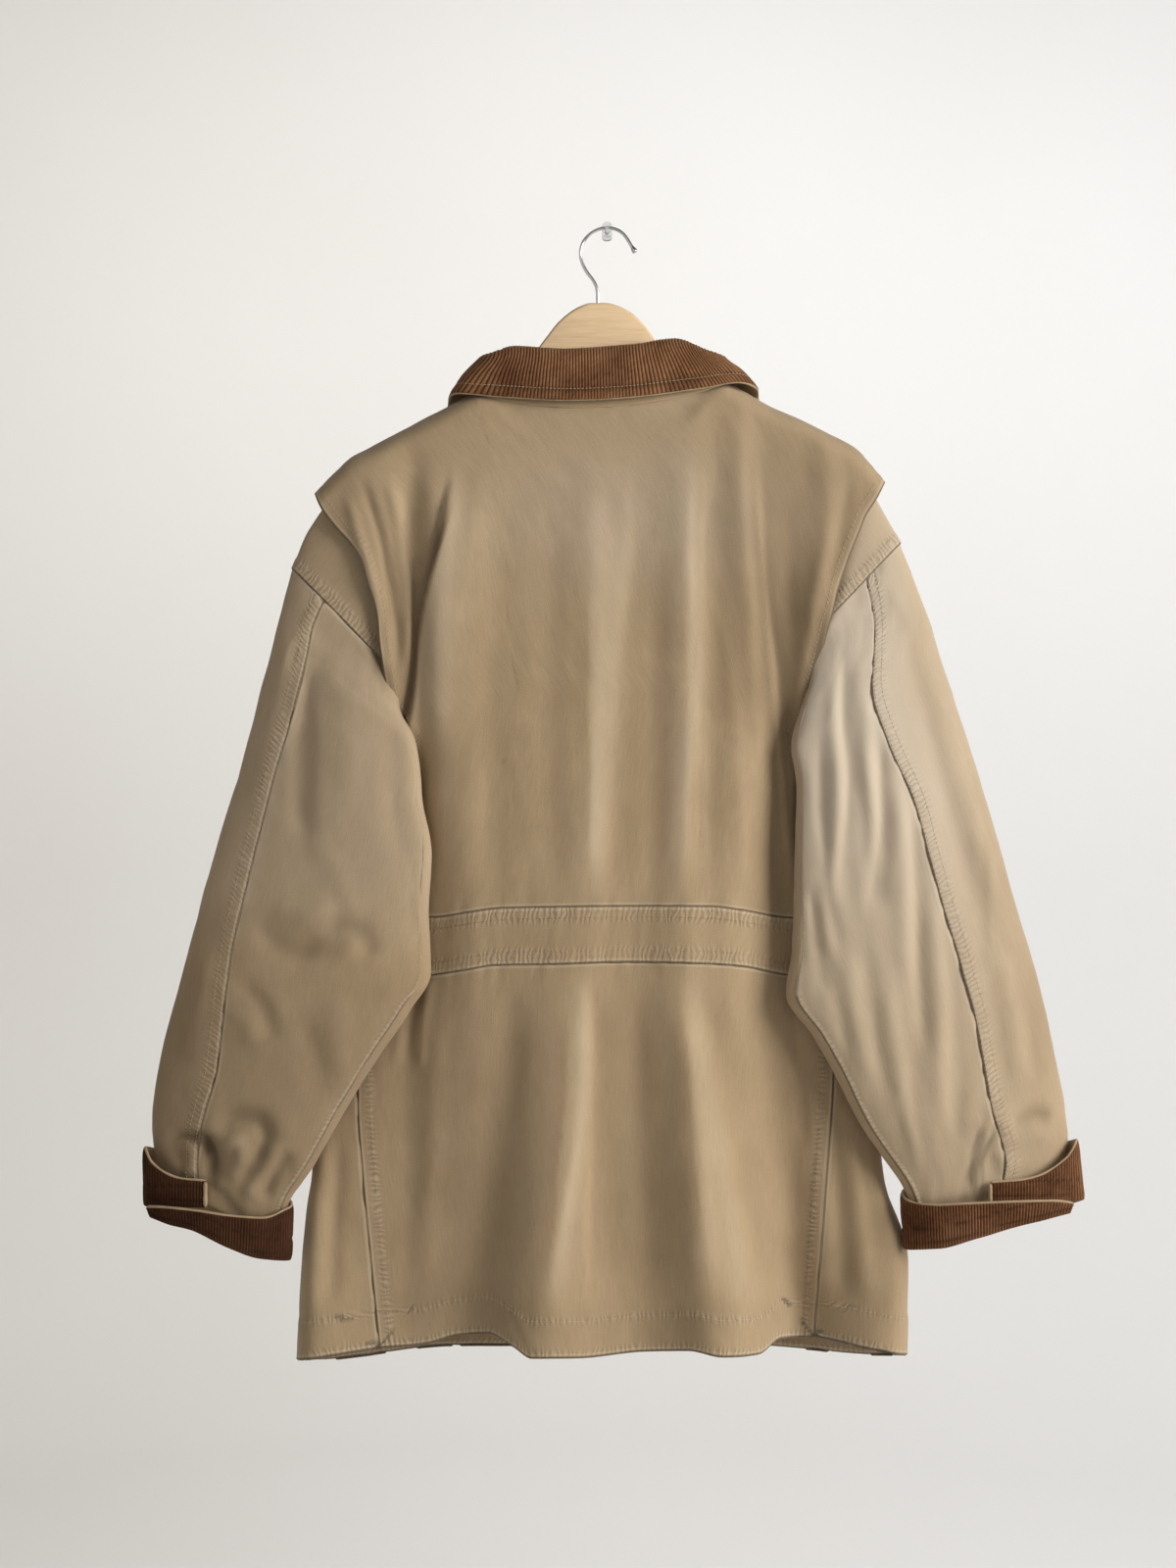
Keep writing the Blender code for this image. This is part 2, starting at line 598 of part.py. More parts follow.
def mesh_object(name, points, faces, slot, collection):
    """A mesh object from millimetre points already in their true place."""
    mesh = bpy.data.meshes.new(name)
    mesh.from_pydata([tuple(p) for p in np.asarray(points) * MM], [], faces)
    mesh.materials.append(MATERIALS[slot])
    made = bpy.data.objects.new(name, mesh)
    collection.objects.link(made)
    return made


def grid_faces(rows, columns, across=False):
    """Quads of a grid; across closes it round the columns."""
    faces = []
    span = columns if across else columns - 1
    for r in range(rows - 1):
        for c in range(span):
            d = (c + 1) % columns
            faces.append((r * columns + c, r * columns + d, (r + 1) * columns + d, (r + 1) * columns + c))
    return faces


def shell_panel(name, grid, thick, slot, collection):
    """A cloth panel of even thickness about a grid of measured points."""
    grid = true_place(grid)
    rows, columns = grid.shape[:2]
    panel = mesh_object(name, grid.reshape(-1, 3), grid_faces(rows, columns), slot, collection)
    wall = panel.modifiers.new("wall", "SOLIDIFY")
    wall.thickness = thick * MM
    wall.offset = 0.0
    wall.use_quality_normals = True
    return panel


def loft_solid(name, rings, slot, collection):
    """A closed solid from rings of measured points."""
    rings = true_place(rings)
    count, around = rings.shape[:2]
    faces = grid_faces(count, around, across=True)
    faces.append(tuple(reversed(range(around))))
    faces.append(tuple(range((count - 1) * around, count * around)))
    made = mesh_object(name, rings.reshape(-1, 3), faces, slot, collection)
    shape = bmesh.new()
    shape.from_mesh(made.data)
    bmesh.ops.recalc_face_normals(shape, faces=shape.faces)
    shape.to_mesh(made.data)
    shape.free()
    return made


def edge_roll(distance, reach):
    """1 at a rolled edge and 0 past its reach, as a quarter circle."""
    left = np.clip(1.0 - distance / reach, 0.0, 1.0)
    return 1.0 - np.sqrt(np.clip(1.0 - left * left, 0.0, 1.0))


def neck_ease(distance, reach):
    """1 at the neck seam and 0 past its reach, as an even slope."""
    share = np.clip(distance / reach, 0.0, 1.0)
    return 1.0 - share * share * (3.0 - 2.0 * share)


def neck_points(first, last, count):
    """Points of the neck seam between two rows of the collar's table."""
    rows = np.asarray(COLLAR_SECTIONS)[:, :3]
    places = np.linspace(first, last, count)
    return through(np.arange(len(rows)), rows, places)


def shoulder_points(shoulder, neck, shares):
    """Points of a shoulder seam from the cap's tip towards the neck."""
    line = [(x, RIDGE_Y, z) for x, z in reversed(shoulder)] + [tuple(neck)]
    return along(np.array(line), np.asarray(shares))


def roll_reach(edge):
    """How far the roll of an upper edge reaches down the cloth."""
    outward = smoothstep(NECK_ROLL_X, SHOULDER_ROLL_X, np.abs(edge[:, 0]))
    return NECK_ROLL + (SHOULDER_ROLL - NECK_ROLL) * outward


def rolled(field, flat, edge, start):
    """The depth of cloth that hangs from an edge and rolls over to its field."""
    reach = roll_reach(edge)
    away = np.linalg.norm(flat - edge[None][:, :, [0, 2]], axis=-1)
    steep = smoothstep(NECK_SLOPE_X, SHOULDER_ROLL_X, np.abs(edge[:, 0]))[None]
    share = steep * edge_roll(away, reach[None]) + (1.0 - steep) * neck_ease(away, reach[None])
    return field + start[None] * share


def coons(top, foot, left, right, rows, columns):
    """A patch whose four edges are given; rows and columns are shares."""
    v = np.asarray(rows)[:, None, None]
    u = np.asarray(columns)[None, :, None]
    ruled = (1 - v) * top[None] + v * foot[None] + (1 - u) * left[:, None] + u * right[:, None]
    corners = (
        (1 - u) * (1 - v) * top[0]
        + u * (1 - v) * top[-1]
        + (1 - u) * v * foot[0]
        + u * v * foot[-1]
    )
    return ruled - corners


def seam_points(side, column):
    """The side table's seam (column 0) or side line (column 2) as x, z rows."""
    return np.asarray(side)[:, column : column + 2]


def level_line(shares, left, right, table, column):
    """A line across the back between two seam points, its height from a table."""
    rows = np.asarray(table)
    x = left[0] + (right[0] - left[0]) * shares
    z = through(rows[:, 0], rows[:, column], shares)
    return np.stack([x, back_y(x, z), z], axis=1)


def make_back(collection):
    """The upper back with its caps, the waistband and the lower back."""
    neck = neck_points(NECK_LEFT_ROW, NECK_RIGHT_ROW, 2 * (NECK_RIGHT_ROW - NECK_LEFT_ROW) + 1)
    tip_left = shoulder_points(LEFT_SHOULDER, neck[0], SHOULDER_SHARES)
    tip_right = shoulder_points(RIGHT_SHOULDER, neck[-1], SHOULDER_SHARES)[::-1]
    top = np.concatenate([tip_left, neck, tip_right])
    shares = (top[:, 0] - top[0, 0]) / (top[-1, 0] - top[0, 0])
    left = seam_points(LEFT_SIDE, 0)
    right = seam_points(RIGHT_SIDE, 0)
    armhole_rows = np.array(BACK_ROWS)
    lower_rows = armhole_rows[-1] + (1.0 - armhole_rows[-1]) * (
        (left[1 : WAIST_TOP_ROW + 1, 1] - left[0, 1]) / (left[WAIST_TOP_ROW, 1] - left[0, 1])
    )
    rows = np.concatenate([armhole_rows, lower_rows])
    waist_top = level_line(shares, left[WAIST_TOP_ROW], right[WAIST_TOP_ROW], WAIST_EDGES, 1)
    left_edge = np.concatenate(
        [along(LEFT_CAP_EDGE, armhole_rows / armhole_rows[-1]), left[1 : WAIST_TOP_ROW + 1]]
    )
    right_edge = np.concatenate(
        [along(RIGHT_CAP_EDGE, armhole_rows / armhole_rows[-1]), right[1 : WAIST_TOP_ROW + 1]]
    )
    flat = coons(top[:, [0, 2]], waist_top[:, [0, 2]], left_edge, right_edge, rows, shares)
    x, z = flat[..., 0], flat[..., 1]
    y = rolled(back_y(x, z), flat, top, top[:, 1] - back_y(top[:, 0], top[:, 2]))
    grid = np.stack([x, y, z], axis=-1)
    on_shoulder = np.abs(top[:, 1] - RIDGE_Y) < RIDGE_NEAR
    grid[0, on_shoulder, 1] -= SHOULDER_HALF_GAP
    grid[-1, :, 2] += SEAM_HALF_GAP
    seam_rows = slice(len(BACK_ROWS) - 1, None)
    grid[seam_rows, 0, 0] += SEAM_HALF_GAP
    grid[seam_rows, -1, 0] -= SEAM_HALF_GAP
    shell_panel("back_upper", grid, CLOTH, "twill", collection)

    waist_foot = level_line(shares, left[WAIST_FOOT_ROW], right[WAIST_FOOT_ROW], WAIST_EDGES, 2)
    waist_mid = 0.5 * (waist_top + waist_foot)
    waist_mid[:, 1] = back_y(waist_mid[:, 0], waist_mid[:, 2])
    band = np.stack([waist_top, waist_mid, waist_foot])
    band[0, :, 2] -= SEAM_HALF_GAP
    band[-1, :, 2] += SEAM_HALF_GAP
    band[:, 0, 0] += SEAM_HALF_GAP
    band[:, -1, 0] -= SEAM_HALF_GAP
    shell_panel("back_waistband", band, CLOTH, "twill", collection)

    hem = level_line(shares, left[-1], right[-1], BACK_HEM, 1)
    left_low = left[WAIST_FOOT_ROW:]
    right_low = right[WAIST_FOOT_ROW:]
    low_rows = (left_low[:, 1] - left_low[0, 1]) / (left_low[-1, 1] - left_low[0, 1])
    flat = coons(waist_foot[:, [0, 2]], hem[:, [0, 2]], left_low, right_low, low_rows, shares)
    x, z = flat[..., 0], flat[..., 1]
    skirt = np.stack([x, back_y(x, z), z], axis=-1)
    skirt[0, :, 2] -= SEAM_HALF_GAP
    skirt[:, 0, 0] += SEAM_HALF_GAP
    skirt[:, -1, 0] -= SEAM_HALF_GAP
    shell_panel("back_lower", skirt, CLOTH, "twill", collection)


def under_shift(x, under):
    """How far the lapped-under front lies behind the other near the centre."""
    start, end = OVERLAP + UNDER_FADE[0], OVERLAP + UNDER_FADE[1]
    return under * (1.0 - smoothstep(start, end, np.abs(x - CENTRE_X)))


def side_row(seam, side, centre_x, front_z, columns, turn, under):
    """One level of a front panel: from the back seam round the side to the centre front."""
    way = math.copysign(1.0, side[0])
    turn = min(turn, SIDE_TURN_SHARE * (abs(side[0]) - abs(seam[0])))
    seam_y = float(back_y(seam[0], seam[1]))
    front = float(front_y(side[0], side[1]))
    run = np.linspace(0.0, 1.0, RUN_POINTS)[:-1]
    reach_back = max(abs(side[0]) - turn - abs(seam[0]), 0.0)
    x = seam[0] + way * reach_back * run
    z = seam[1] + (side[1] - seam[1]) * run * min(1.0, reach_back / SIDE_RUN)
    back_run = np.stack([x, back_y(x, z), z], axis=1)
    has_run = reach_back > 0.5 * CLOTH
    turn_start = back_run[-1] if has_run else np.array([seam[0], seam_y, seam[1]])
    angles = np.radians(np.linspace(90.0, -90.0, TURN_POINTS))
    middle = 0.5 * (turn_start[1] + front)
    half = 0.5 * (turn_start[1] - front)
    wide = abs(side[0]) - abs(turn_start[0])
    arc = np.stack(
        [
            turn_start[0] + way * wide * np.cos(angles),
            middle + half * np.sin(angles),
            turn_start[2] + (side[1] - turn_start[2]) * np.cos(angles) ** 0.5,
        ],
        axis=1,
    )
    arc[:, 2] = np.where(angles < 0.0, side[1], arc[:, 2])
    share = np.linspace(0.0, 1.0, FLAT_POINTS)[1:]
    x = arc[-1, 0] + (centre_x - arc[-1, 0]) * share
    z = side[1] + (front_z - side[1]) * smoothstep(0.0, CENTRE_DROP_SHARE, share)
    flat = np.stack([x, front_y(x, z), z], axis=1)
    flat[:, 1] -= under_shift(x, under)
    before = back_run[:-1] if has_run else back_run[:0]
    points = np.concatenate([before, arc, flat])
    return resample(points, columns)


def make_front(name, shoulder, cap_edge, side, neck_rows, centre_x, under, collection):
    """One front, from the shoulder seam to the hem, wrapped round the side to the back seam."""
    columns = np.array(FRONT_COLUMNS)
    way = math.copysign(1.0, side[0][0])
    seams = seam_points(side, 0)
    sides = seam_points(side, 2)
    rows = np.array(BACK_ROWS) / BACK_ROWS[-1]
    neck = neck_points(neck_rows[0], neck_rows[1], abs(neck_rows[1] - neck_rows[0]) + 1)
    over = np.array([[centre_x, neck[-1][1], neck[-1][2] - NECK_CORNER_DROP]])
    top = np.concatenate([shoulder_points(shoulder, neck[0], FRONT_SHOULDER_SHARES), neck, over])
    top[:, 1] -= under_shift(top[:, 0], under)
    foot_z = ARMHOLE_FOOT_Z - FOOT_DROP
    foot = side_row(seams[0], sides[0], centre_x, foot_z, columns, FOOT_TURN, under)
    level = foot.copy()
    level[:, 0] = seams[0][0] + (centre_x - seams[0][0]) * columns
    level[:, 2] = ARMHOLE_FOOT_Z - 0.5 * FOOT_DROP
    cap = along(cap_edge, rows)
    centre = np.stack(
        [np.full(len(rows), centre_x), top[-1, 2] + (level[-1, 2] - top[-1, 2]) * rows], axis=1
    )
    flat = coons(top[:, [0, 2]], level[:, [0, 2]], cap, centre, rows, columns)
    x, z = flat[..., 0], flat[..., 1]
    field = front_y(x, z) - under_shift(x, under)
    y = rolled(field, flat, top, top[:, 1] - field[0])
    upper = np.stack([x, y, z], axis=-1)
    on_shoulder = np.arange(len(top)) <= len(FRONT_SHOULDER_SHARES)
    upper[0, on_shoulder, 1] += SHOULDER_HALF_GAP
    near_foot = (smoothstep(FOOT_BLEND, 1.0, rows) ** 2)[:, None, None]
    upper = upper + (foot - upper) * near_foot
    lower = []
    share = (seams[:, 1] - seams[0, 1]) / (seams[-1, 1] - seams[0, 1])
    for k in range(1, len(seams)):
        front_z = foot_z + (FRONT_HEM_Z - foot_z) * share[k]
        lower.append(side_row(seams[k], sides[k], centre_x, front_z, columns, SIDE_TURN, under))
    lower = np.stack(lower)
    grid = np.concatenate([upper, lower])
    seam_rows = slice(len(rows) - 1, None)
    grid[seam_rows, 0, 0] += way * SEAM_HALF_GAP
    tuck_rows = slice(len(rows) - 1, len(rows) - 1 + len(FOOT_TUCK))
    grid[tuck_rows, 0:2, 1] += np.array(FOOT_TUCK)[:, None]
    shell_panel(name, grid, CLOTH, "twill", collection)


def ring_table(table, places):
    """Rows of a sleeve table at places between its rows."""
    rows = np.asarray(table)
    return through(np.arange(len(rows)), rows, places)


def sleeve_point_rows(table, places, share_angles):
    """Rings of a sleeve: for each place, points at the angles that share_angles gives."""
    grid = []
    for row in ring_table(table, places):
        x_out, z_out, x_in, z_in, y_out, y_in, back, front, seam, bow = row
        half = 0.5 * np.array([x_out - x_in, z_out - z_in])
        middle = 0.5 * np.array([x_out + x_in, z_out + z_in])
        length = np.linalg.norm(half)
        angles = share_angles(seam, length)
        up = np.array([-half[1], half[0]]) / length
        up = up * math.copysign(1.0, up[1])
        across = np.cos(angles)
        lift = np.sin(angles)
        spot = middle + half * across[:, None] + up * bow * (lift**2)[:, None]
        y = -0.5 * (y_out + y_in) - 0.5 * (y_out - y_in) * across
        y = y - np.where(lift > 0.0, back, front) * np.sign(lift) * np.abs(lift) ** EDGE_FULLNESS
        x, z = spot[:, 0], spot[:, 1]
        hold = smoothstep(UNDER_CAP_FOOT_Z, UNDER_CAP_FULL_Z, z)
        under_cap = back_y(x, z) + FLANGE_CLEAR
        y = np.where(lift > 0.0, y + hold * np.maximum(under_cap - y, 0.0), y)
        before_wall = front_y(x, z) - FLANGE_CLEAR
        y = np.where(lift < 0.0, y + hold * np.minimum(before_wall - y, 0.0), y)
        grid.append(np.stack([x, y, z], axis=1))
    return np.stack(grid)


def share_angle(share):
    """The angle round a ring whose point is at a share of the width from the outer edge."""
    return math.acos(1.0 - 2.0 * share)


def ring_angles(start, end, steps, start_gap, end_gap, half_width):
    """Angles from one seam to another, closer near the ring's two edges, with a flat at each seam."""
    way = math.copysign(1.0, end - start)
    first = start + way * start_gap / (half_width * abs(math.sin(start)))
    last = end - way * end_gap / (half_width * abs(math.sin(end)))
    flat = math.radians(SEAM_FLAT_DEG) * way
    fine = np.linspace(start, end, ANGLE_STEPS)
    weight = 1.0 + EDGE_CROWDING * np.cos(fine) ** 6
    travel = np.concatenate([[0.0], np.cumsum(0.5 * (weight[1:] + weight[:-1]))])
    inner = np.interp(np.linspace(0.0, travel[-1], steps + 1)[1:-1], travel, fine)
    return np.concatenate([[first, first + flat], inner, [last - flat, last]])


def make_sleeve(side_name, band, sleeve, collection):
    """A sleeve's band, its wide upper panel and its narrower under panel."""
    under_end = share_angle(UNDERARM_SHARE)

    full_turn = 2.0 * math.pi

    def band_angles(_, half_width):
        gaps = (UNDER_SEAM_GAP, UNDER_SEAM_GAP, half_width)
        return ring_angles(under_end, under_end - full_turn, BAND_STEPS, *gaps)

    def under_angles(seam, half_width):
        gaps = (BACK_SEAM_GAP, UNDER_SEAM_GAP, half_width)
        return ring_angles(share_angle(seam), under_end, UNDER_PANEL_STEPS, *gaps)

    def upper_angles(seam, half_width):
        gaps = (BACK_SEAM_GAP, UNDER_SEAM_GAP, half_width)
        return ring_angles(share_angle(seam), under_end - full_turn, UPPER_PANEL_STEPS, *gaps)

    band_grid = sleeve_point_rows(band, np.arange(len(band)), band_angles)
    band_grid[-1, :, 2] += BAND_LIFT
    shell_panel(f"sleeve_band_{side_name}", band_grid, CLOTH, "twill", collection)
    places = np.arange(len(sleeve))
    for part, angles in (("under", under_angles), ("upper", upper_angles)):
        grid = sleeve_point_rows(sleeve, places, angles)
        grid[0, :, 2] -= SEAM_HALF_GAP
        shell_panel(f"sleeve_{part}_{side_name}", grid, CLOTH, "twill", collection)


def unit(vectors):
    """Vectors at length 1."""
    return vectors / np.maximum(np.linalg.norm(vectors, axis=-1, keepdims=True), 1e-9)


def bend_tangents(grid):
    """The mean direction at each point of a grid's columns, and how much a layer there must stand out."""
    steps = unit(np.diff(grid, axis=1))
    first = np.concatenate([steps[:, :1], steps], axis=1)
    last = np.concatenate([steps, steps[:, -1:]], axis=1)
    total = first + last
    half = np.maximum(np.linalg.norm(total, axis=-1, keepdims=True) * 0.5, SHARPEST_BEND)
    return unit(total), 1.0 / half


def offset_grid(grid, distance):
    """A grid moved along its own normals, the same distance at its bends."""
    over, stretch = bend_tangents(grid)
    down, _ = bend_tangents(np.swapaxes(grid, 0, 1))
    normal = unit(np.cross(np.swapaxes(down, 0, 1), over))
    return grid + normal * distance * stretch


def make_cuff(side_name, table, oval, collection):
    """A turned-back cuff: its corduroy face outside and its twill shell inside."""
    rows = np.asarray(table)
    turns = np.linspace(rows[0, 0], rows[-1, 0], CUFF_STEPS + 1)
    at = through(rows[:, 0], rows, turns)
    centre_x, centre_y, half_x, half_y = oval
    way = math.copysign(1.0, centre_x)
    grid = []
    for turn, top_z, foot_z, top_out, foot_out, shift in at:
        angle = math.radians(turn)
        line = []
        for k in range(CUFF_HEIGHT_STEPS):
            share = k / (CUFF_HEIGHT_STEPS - 1)
            out = top_out + (foot_out - top_out) * share
            x = centre_x + way * (half_x + out) * math.cos(angle)
            full = math.copysign(abs(math.sin(angle)) ** EDGE_FULLNESS, math.sin(angle))
            y = centre_y + (half_y + out) * full + shift
            line.append((x, y, top_z + (foot_z - top_z) * share))
        grid.append(line)
    grid = np.array(grid)
    face = offset_grid(grid, -way * (0.5 * CORDUROY + LAYER_HALF_GAP))
    shell = offset_grid(grid, way * (0.5 * UNDER_CLOTH + LAYER_HALF_GAP))
    shell[:, 0, 2] += RIM_DROP
    shell_panel(f"cuff_face_{side_name}", face, CORDUROY, "corduroy", collection)
    shell_panel(f"cuff_shell_{side_name}", shell, UNDER_CLOTH, "twill", collection)


def make_collar(collection):
    """The collar: a corduroy strip folded over a twill one, round the neck."""
    rows = np.asarray(COLLAR_SECTIONS)
    halves = np.arange(NECK_LEFT_ROW, NECK_RIGHT_ROW + 0.25, 0.5)
    whole = np.arange(0, NECK_LEFT_ROW), np.arange(NECK_RIGHT_ROW + 1, COLLAR_LAST_ROW + 1)
    places = np.concatenate([whole[0], halves, whole[1]])
    sections = through(np.arange(len(rows)), rows, places)
    seam_way = unit(np.gradient(sections[:, 0:3], axis=0))
    crest_way = unit(np.gradient(sections[:, 3:6], axis=0))
    grid = []
    for place, row, along_seam, along_crest in zip(places, sections, seam_way, crest_way):
        corner = min(abs(place - CORNER_ROWS[0]), abs(place - CORNER_ROWS[1]))
        stand_gap = STAND_GAP + CORNER_GAP * float(1.0 - smoothstep(0.5, 1.5, corner))
        neck, crest, edge = row[0:3], row[3:6], row[6:9]
        rise = unit(crest - neck)
        out = unit(np.cross(along_crest, rise))
        start = neck + unit(rise - along_seam * np.dot(rise, along_seam)) * stand_gap
        roll = [crest + out * CREST_HALF * (1.0 + a) - rise * CREST_HALF * b for a, b in CREST_BEND]
        low_mid = 0.5 * (roll[-1] + edge) + out * FALL_SPRING
        grid.append([start, 0.5 * (start + roll[0])] + roll + [low_mid, edge])
    cord = offset_grid(grid, -(0.5 * CORDUROY + LAYER_HALF_GAP))
    twill = offset_grid(grid, 0.5 * UNDER_CLOTH + LAYER_HALF_GAP)
    drop = twill[:, -1] - twill[:, -2]
    twill[:, -1] += RIM_DROP * drop / np.linalg.norm(drop, axis=-1, keepdims=True)
    shell_panel("collar_top", cord, CORDUROY, "corduroy", collection)
    shell_panel("collar_under", twill, UNDER_CLOTH, "twill", collection)


def make_hanger(collection, cutters):
    """The wooden hanger with the bore that holds the hook's stem."""
    rings = []
    for x, top, foot in HANGER_EDGES:
        near = RIDGE_Y - HANGER_HALF
        far = RIDGE_Y + HANGER_HALF
        bevel = min(HANGER_CHAMFER, HANGER_CHAMFER_SHARE * (top - foot))
        rings.append(
            [
                (x, near + HANGER_CHAMFER, top),
                (x, far - HANGER_CHAMFER, top),
                (x, far, top - bevel),
                (x, far, foot + bevel),
                (x, far - HANGER_CHAMFER, foot),
                (x, near + HANGER_CHAMFER, foot),
                (x, near, foot + bevel),
                (x, near, top - bevel),
            ]
        )
    board = loft_solid("hanger_board", np.array(rings), "hanger_wood", collection)
    bore = []
    for z in (BORE_FOOT_Z, BORE_MOUTH_Z):
        ring = []
        for k in range(BORE_SIDES):
            angle = 2.0 * math.pi * k / BORE_SIDES
            ring.append((STEM_X + BORE_RADIUS * math.cos(angle), RIDGE_Y + BORE_RADIUS * math.sin(angle), z))
        bore.append(ring)
    cutter = loft_solid("hanger_bore_cutter", np.array(bore), "hanger_wood", cutters)
    cutter.hide_render = True
    cutter.display_type = "WIRE"
    cut = board.modifiers.new("bore", "BOOLEAN")
    cut.operation = "DIFFERENCE"
    cut.object = cutter
    cut.solver = "EXACT"


def make_wire(collection):
    """The wire hook, a bent rod with a small ball at its free end."""
    path = np.asarray(WIRE_PATH)
    rings = []
    for k, (x, z, radius) in enumerate(path):
        before = path[max(k - 1, 0), :2]
        after = path[min(k + 1, len(path) - 1), :2]
        ahead = (after - before) / np.linalg.norm(after - before)
        side = np.array([-ahead[1], ahead[0]])
        ring = []
        for s in range(WIRE_SIDES):
            angle = 2.0 * math.pi * s / WIRE_SIDES
            spot = np.array([x, z]) + side * radius * math.cos(angle)
            ring.append((spot[0], RIDGE_Y + radius * math.sin(angle), spot[1]))
        rings.append(ring)
    loft_solid("hanger_hook", np.array(rings), "hook_metal", collection)


def make_wall_hook(collection, cutters):
    """The small clear wall hook: a rounded plate with a prong that turns up at its end."""
    x0, z0, wide, high, thick = WALL_PLATE
    rings = []
    for y in (0.0, -thick):
        ring = []
        for k in range(WALL_PLATE_SIDES):
            angle = 2.0 * math.pi * (k + 0.5) / WALL_PLATE_SIDES
            corner_x = math.copysign(0.5 * wide - WALL_PLATE_CORNER, math.cos(angle))
            corner_z = math.copysign(0.5 * high - WALL_PLATE_CORNER, math.sin(angle))
            x = x0 + corner_x + WALL_PLATE_CORNER * math.cos(angle)
            z = z0 + corner_z + WALL_PLATE_CORNER * math.sin(angle)
            ring.append((x, y, z))
        rings.append(ring)
    plate = loft_solid("wall_hook", np.array(rings), "wall_hook", collection)
    prong = []
    for y, foot, top, half in PRONG:
        if y == PRONG[0][0]:
            y = -0.5 * thick
        left = PRONG_X - half
        right = PRONG_X + half
        prong.append([(left, y, foot), (right, y, foot), (right, y, top), (left, y, top)])
    arm = loft_solid("wall_hook_arm", np.array(prong), "wall_hook", cutters)
    arm.hide_render = True
    arm.display_type = "WIRE"
    join = plate.modifiers.new("arm", "BOOLEAN")
    join.operation = "UNION"
    join.object = arm
    join.solver = "EXACT"


def make_buttons(collection):
    """Plain round buttons down the overlapping front."""
    for number, z in enumerate(BUTTON_Z, start=1):
        near = front_y(CENTRE_X, z) + 0.5 * CLOTH + BUTTON_CLEAR
        rings = []
        for share, radius in BUTTON_PROFILE:
            y = near + share * BUTTON_THICK
            ring = []
            for k in range(BUTTON_SIDES):
                angle = 2.0 * math.pi * k / BUTTON_SIDES
                reach = BUTTON_RADIUS * radius
                ring.append((CENTRE_X + reach * math.cos(angle), float(y), z + reach * math.sin(angle)))
            rings.append(ring)
        loft_solid(f"button_{number}", np.array(rings), "button", collection)


clear_scene()
coat_parts = make_collection(COLLECTION_NAME)
cutter_parts = make_collection(CUTTERS_NAME)
MATERIALS = {slot: make_material(slot) for slot in COLOURS}

make_back(coat_parts)
left_neck = (NECK_LEFT_ROW, 0)
right_neck = (NECK_RIGHT_ROW, COLLAR_LAST_ROW)
left_lines = (LEFT_SHOULDER, LEFT_CAP_EDGE, LEFT_SIDE)
right_lines = (RIGHT_SHOULDER, RIGHT_CAP_EDGE, RIGHT_SIDE)
make_front("front_left", *left_lines, left_neck, CENTRE_X + OVERLAP, 0.0, coat_parts)
make_front("front_right", *right_lines, right_neck, CENTRE_X - OVERLAP, UNDERLAP, coat_parts)
make_sleeve("left", LEFT_BAND, LEFT_SLEEVE, coat_parts)
make_sleeve("right", RIGHT_BAND, RIGHT_SLEEVE, coat_parts)
make_cuff("left", LEFT_CUFF, CUFF_OVAL[0], coat_parts)
make_cuff("right", RIGHT_CUFF, CUFF_OVAL[1], coat_parts)
make_collar(coat_parts)
make_hanger(coat_parts, cutter_parts)
make_wire(coat_parts)
make_wall_hook(coat_parts, cutter_parts)
make_buttons(coat_parts)
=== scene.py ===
"""The looks of the hung chore coat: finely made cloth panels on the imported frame, with their seams, stitches,
creases and wales, procedural materials, soft studio light and a camera at the photograph's viewing angle.

The tables are in millimetres as measured on one upright plane; true_place moves each point to where it lies
at its own depth. X is to the right, Z is up, and Y runs into the wall, so all of the coat is at negative Y.
"""

import math

import bmesh
import bpy
import mathutils
import numpy as np
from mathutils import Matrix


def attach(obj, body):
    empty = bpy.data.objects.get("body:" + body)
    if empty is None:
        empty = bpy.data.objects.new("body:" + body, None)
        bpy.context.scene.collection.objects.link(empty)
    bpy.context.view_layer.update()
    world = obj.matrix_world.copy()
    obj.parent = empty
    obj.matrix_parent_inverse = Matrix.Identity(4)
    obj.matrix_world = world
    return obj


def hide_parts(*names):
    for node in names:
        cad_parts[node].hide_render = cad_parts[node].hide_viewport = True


MM = 0.001

# The upright plane on which the outlines were measured, its middle, and the distance it was seen from.
PLANE_Y = -40.0
PLANE_MIDDLE = (-13.8, -460.9)
SEEN_FROM = 1700.0
ORIGIN_SHIFT = (2.4, 8.8)

CLOTH = 1.4
CORDUROY = 1.6
UNDER_CLOTH = 1.0
LAYER_HALF_GAP = 0.25
RIDGE_Y = -26.0
SHOULDER_ROLL = 12.0
NECK_ROLL = 30.0
FLANGE_CLEAR = 1.95
# Where the roll of the upper edge changes from the neck's to the shoulder's, by distance from the middle.
NECK_ROLL_X = 62.0
NECK_SLOPE_X = 75.0
SHOULDER_ROLL_X = 96.0
FOLD_FADE = 45.0

# Depth of the back cloth by height: in the middle, beside the arms and at the sides (no folds).
BACK_SECTIONS = (
    # z, middle, flank, side
    (-120, 41, 40, 34), (-200, 44, 43, 38), (-300, 48, 45, 42), (-380, 50, 43, 41), (-421, 50, 38, 34),
    (-460, 50, 33, 27), (-560, 51, 32, 22), (-640, 52, 32, 22), (-720, 54, 34, 24), (-790, 57, 38, 31),
    (-860, 60, 44, 41), (-940, 63, 50, 52),
)
MIDDLE_HALF = 100.0
FLANK_HALF = 165.0
SIDE_HALF = 240.0

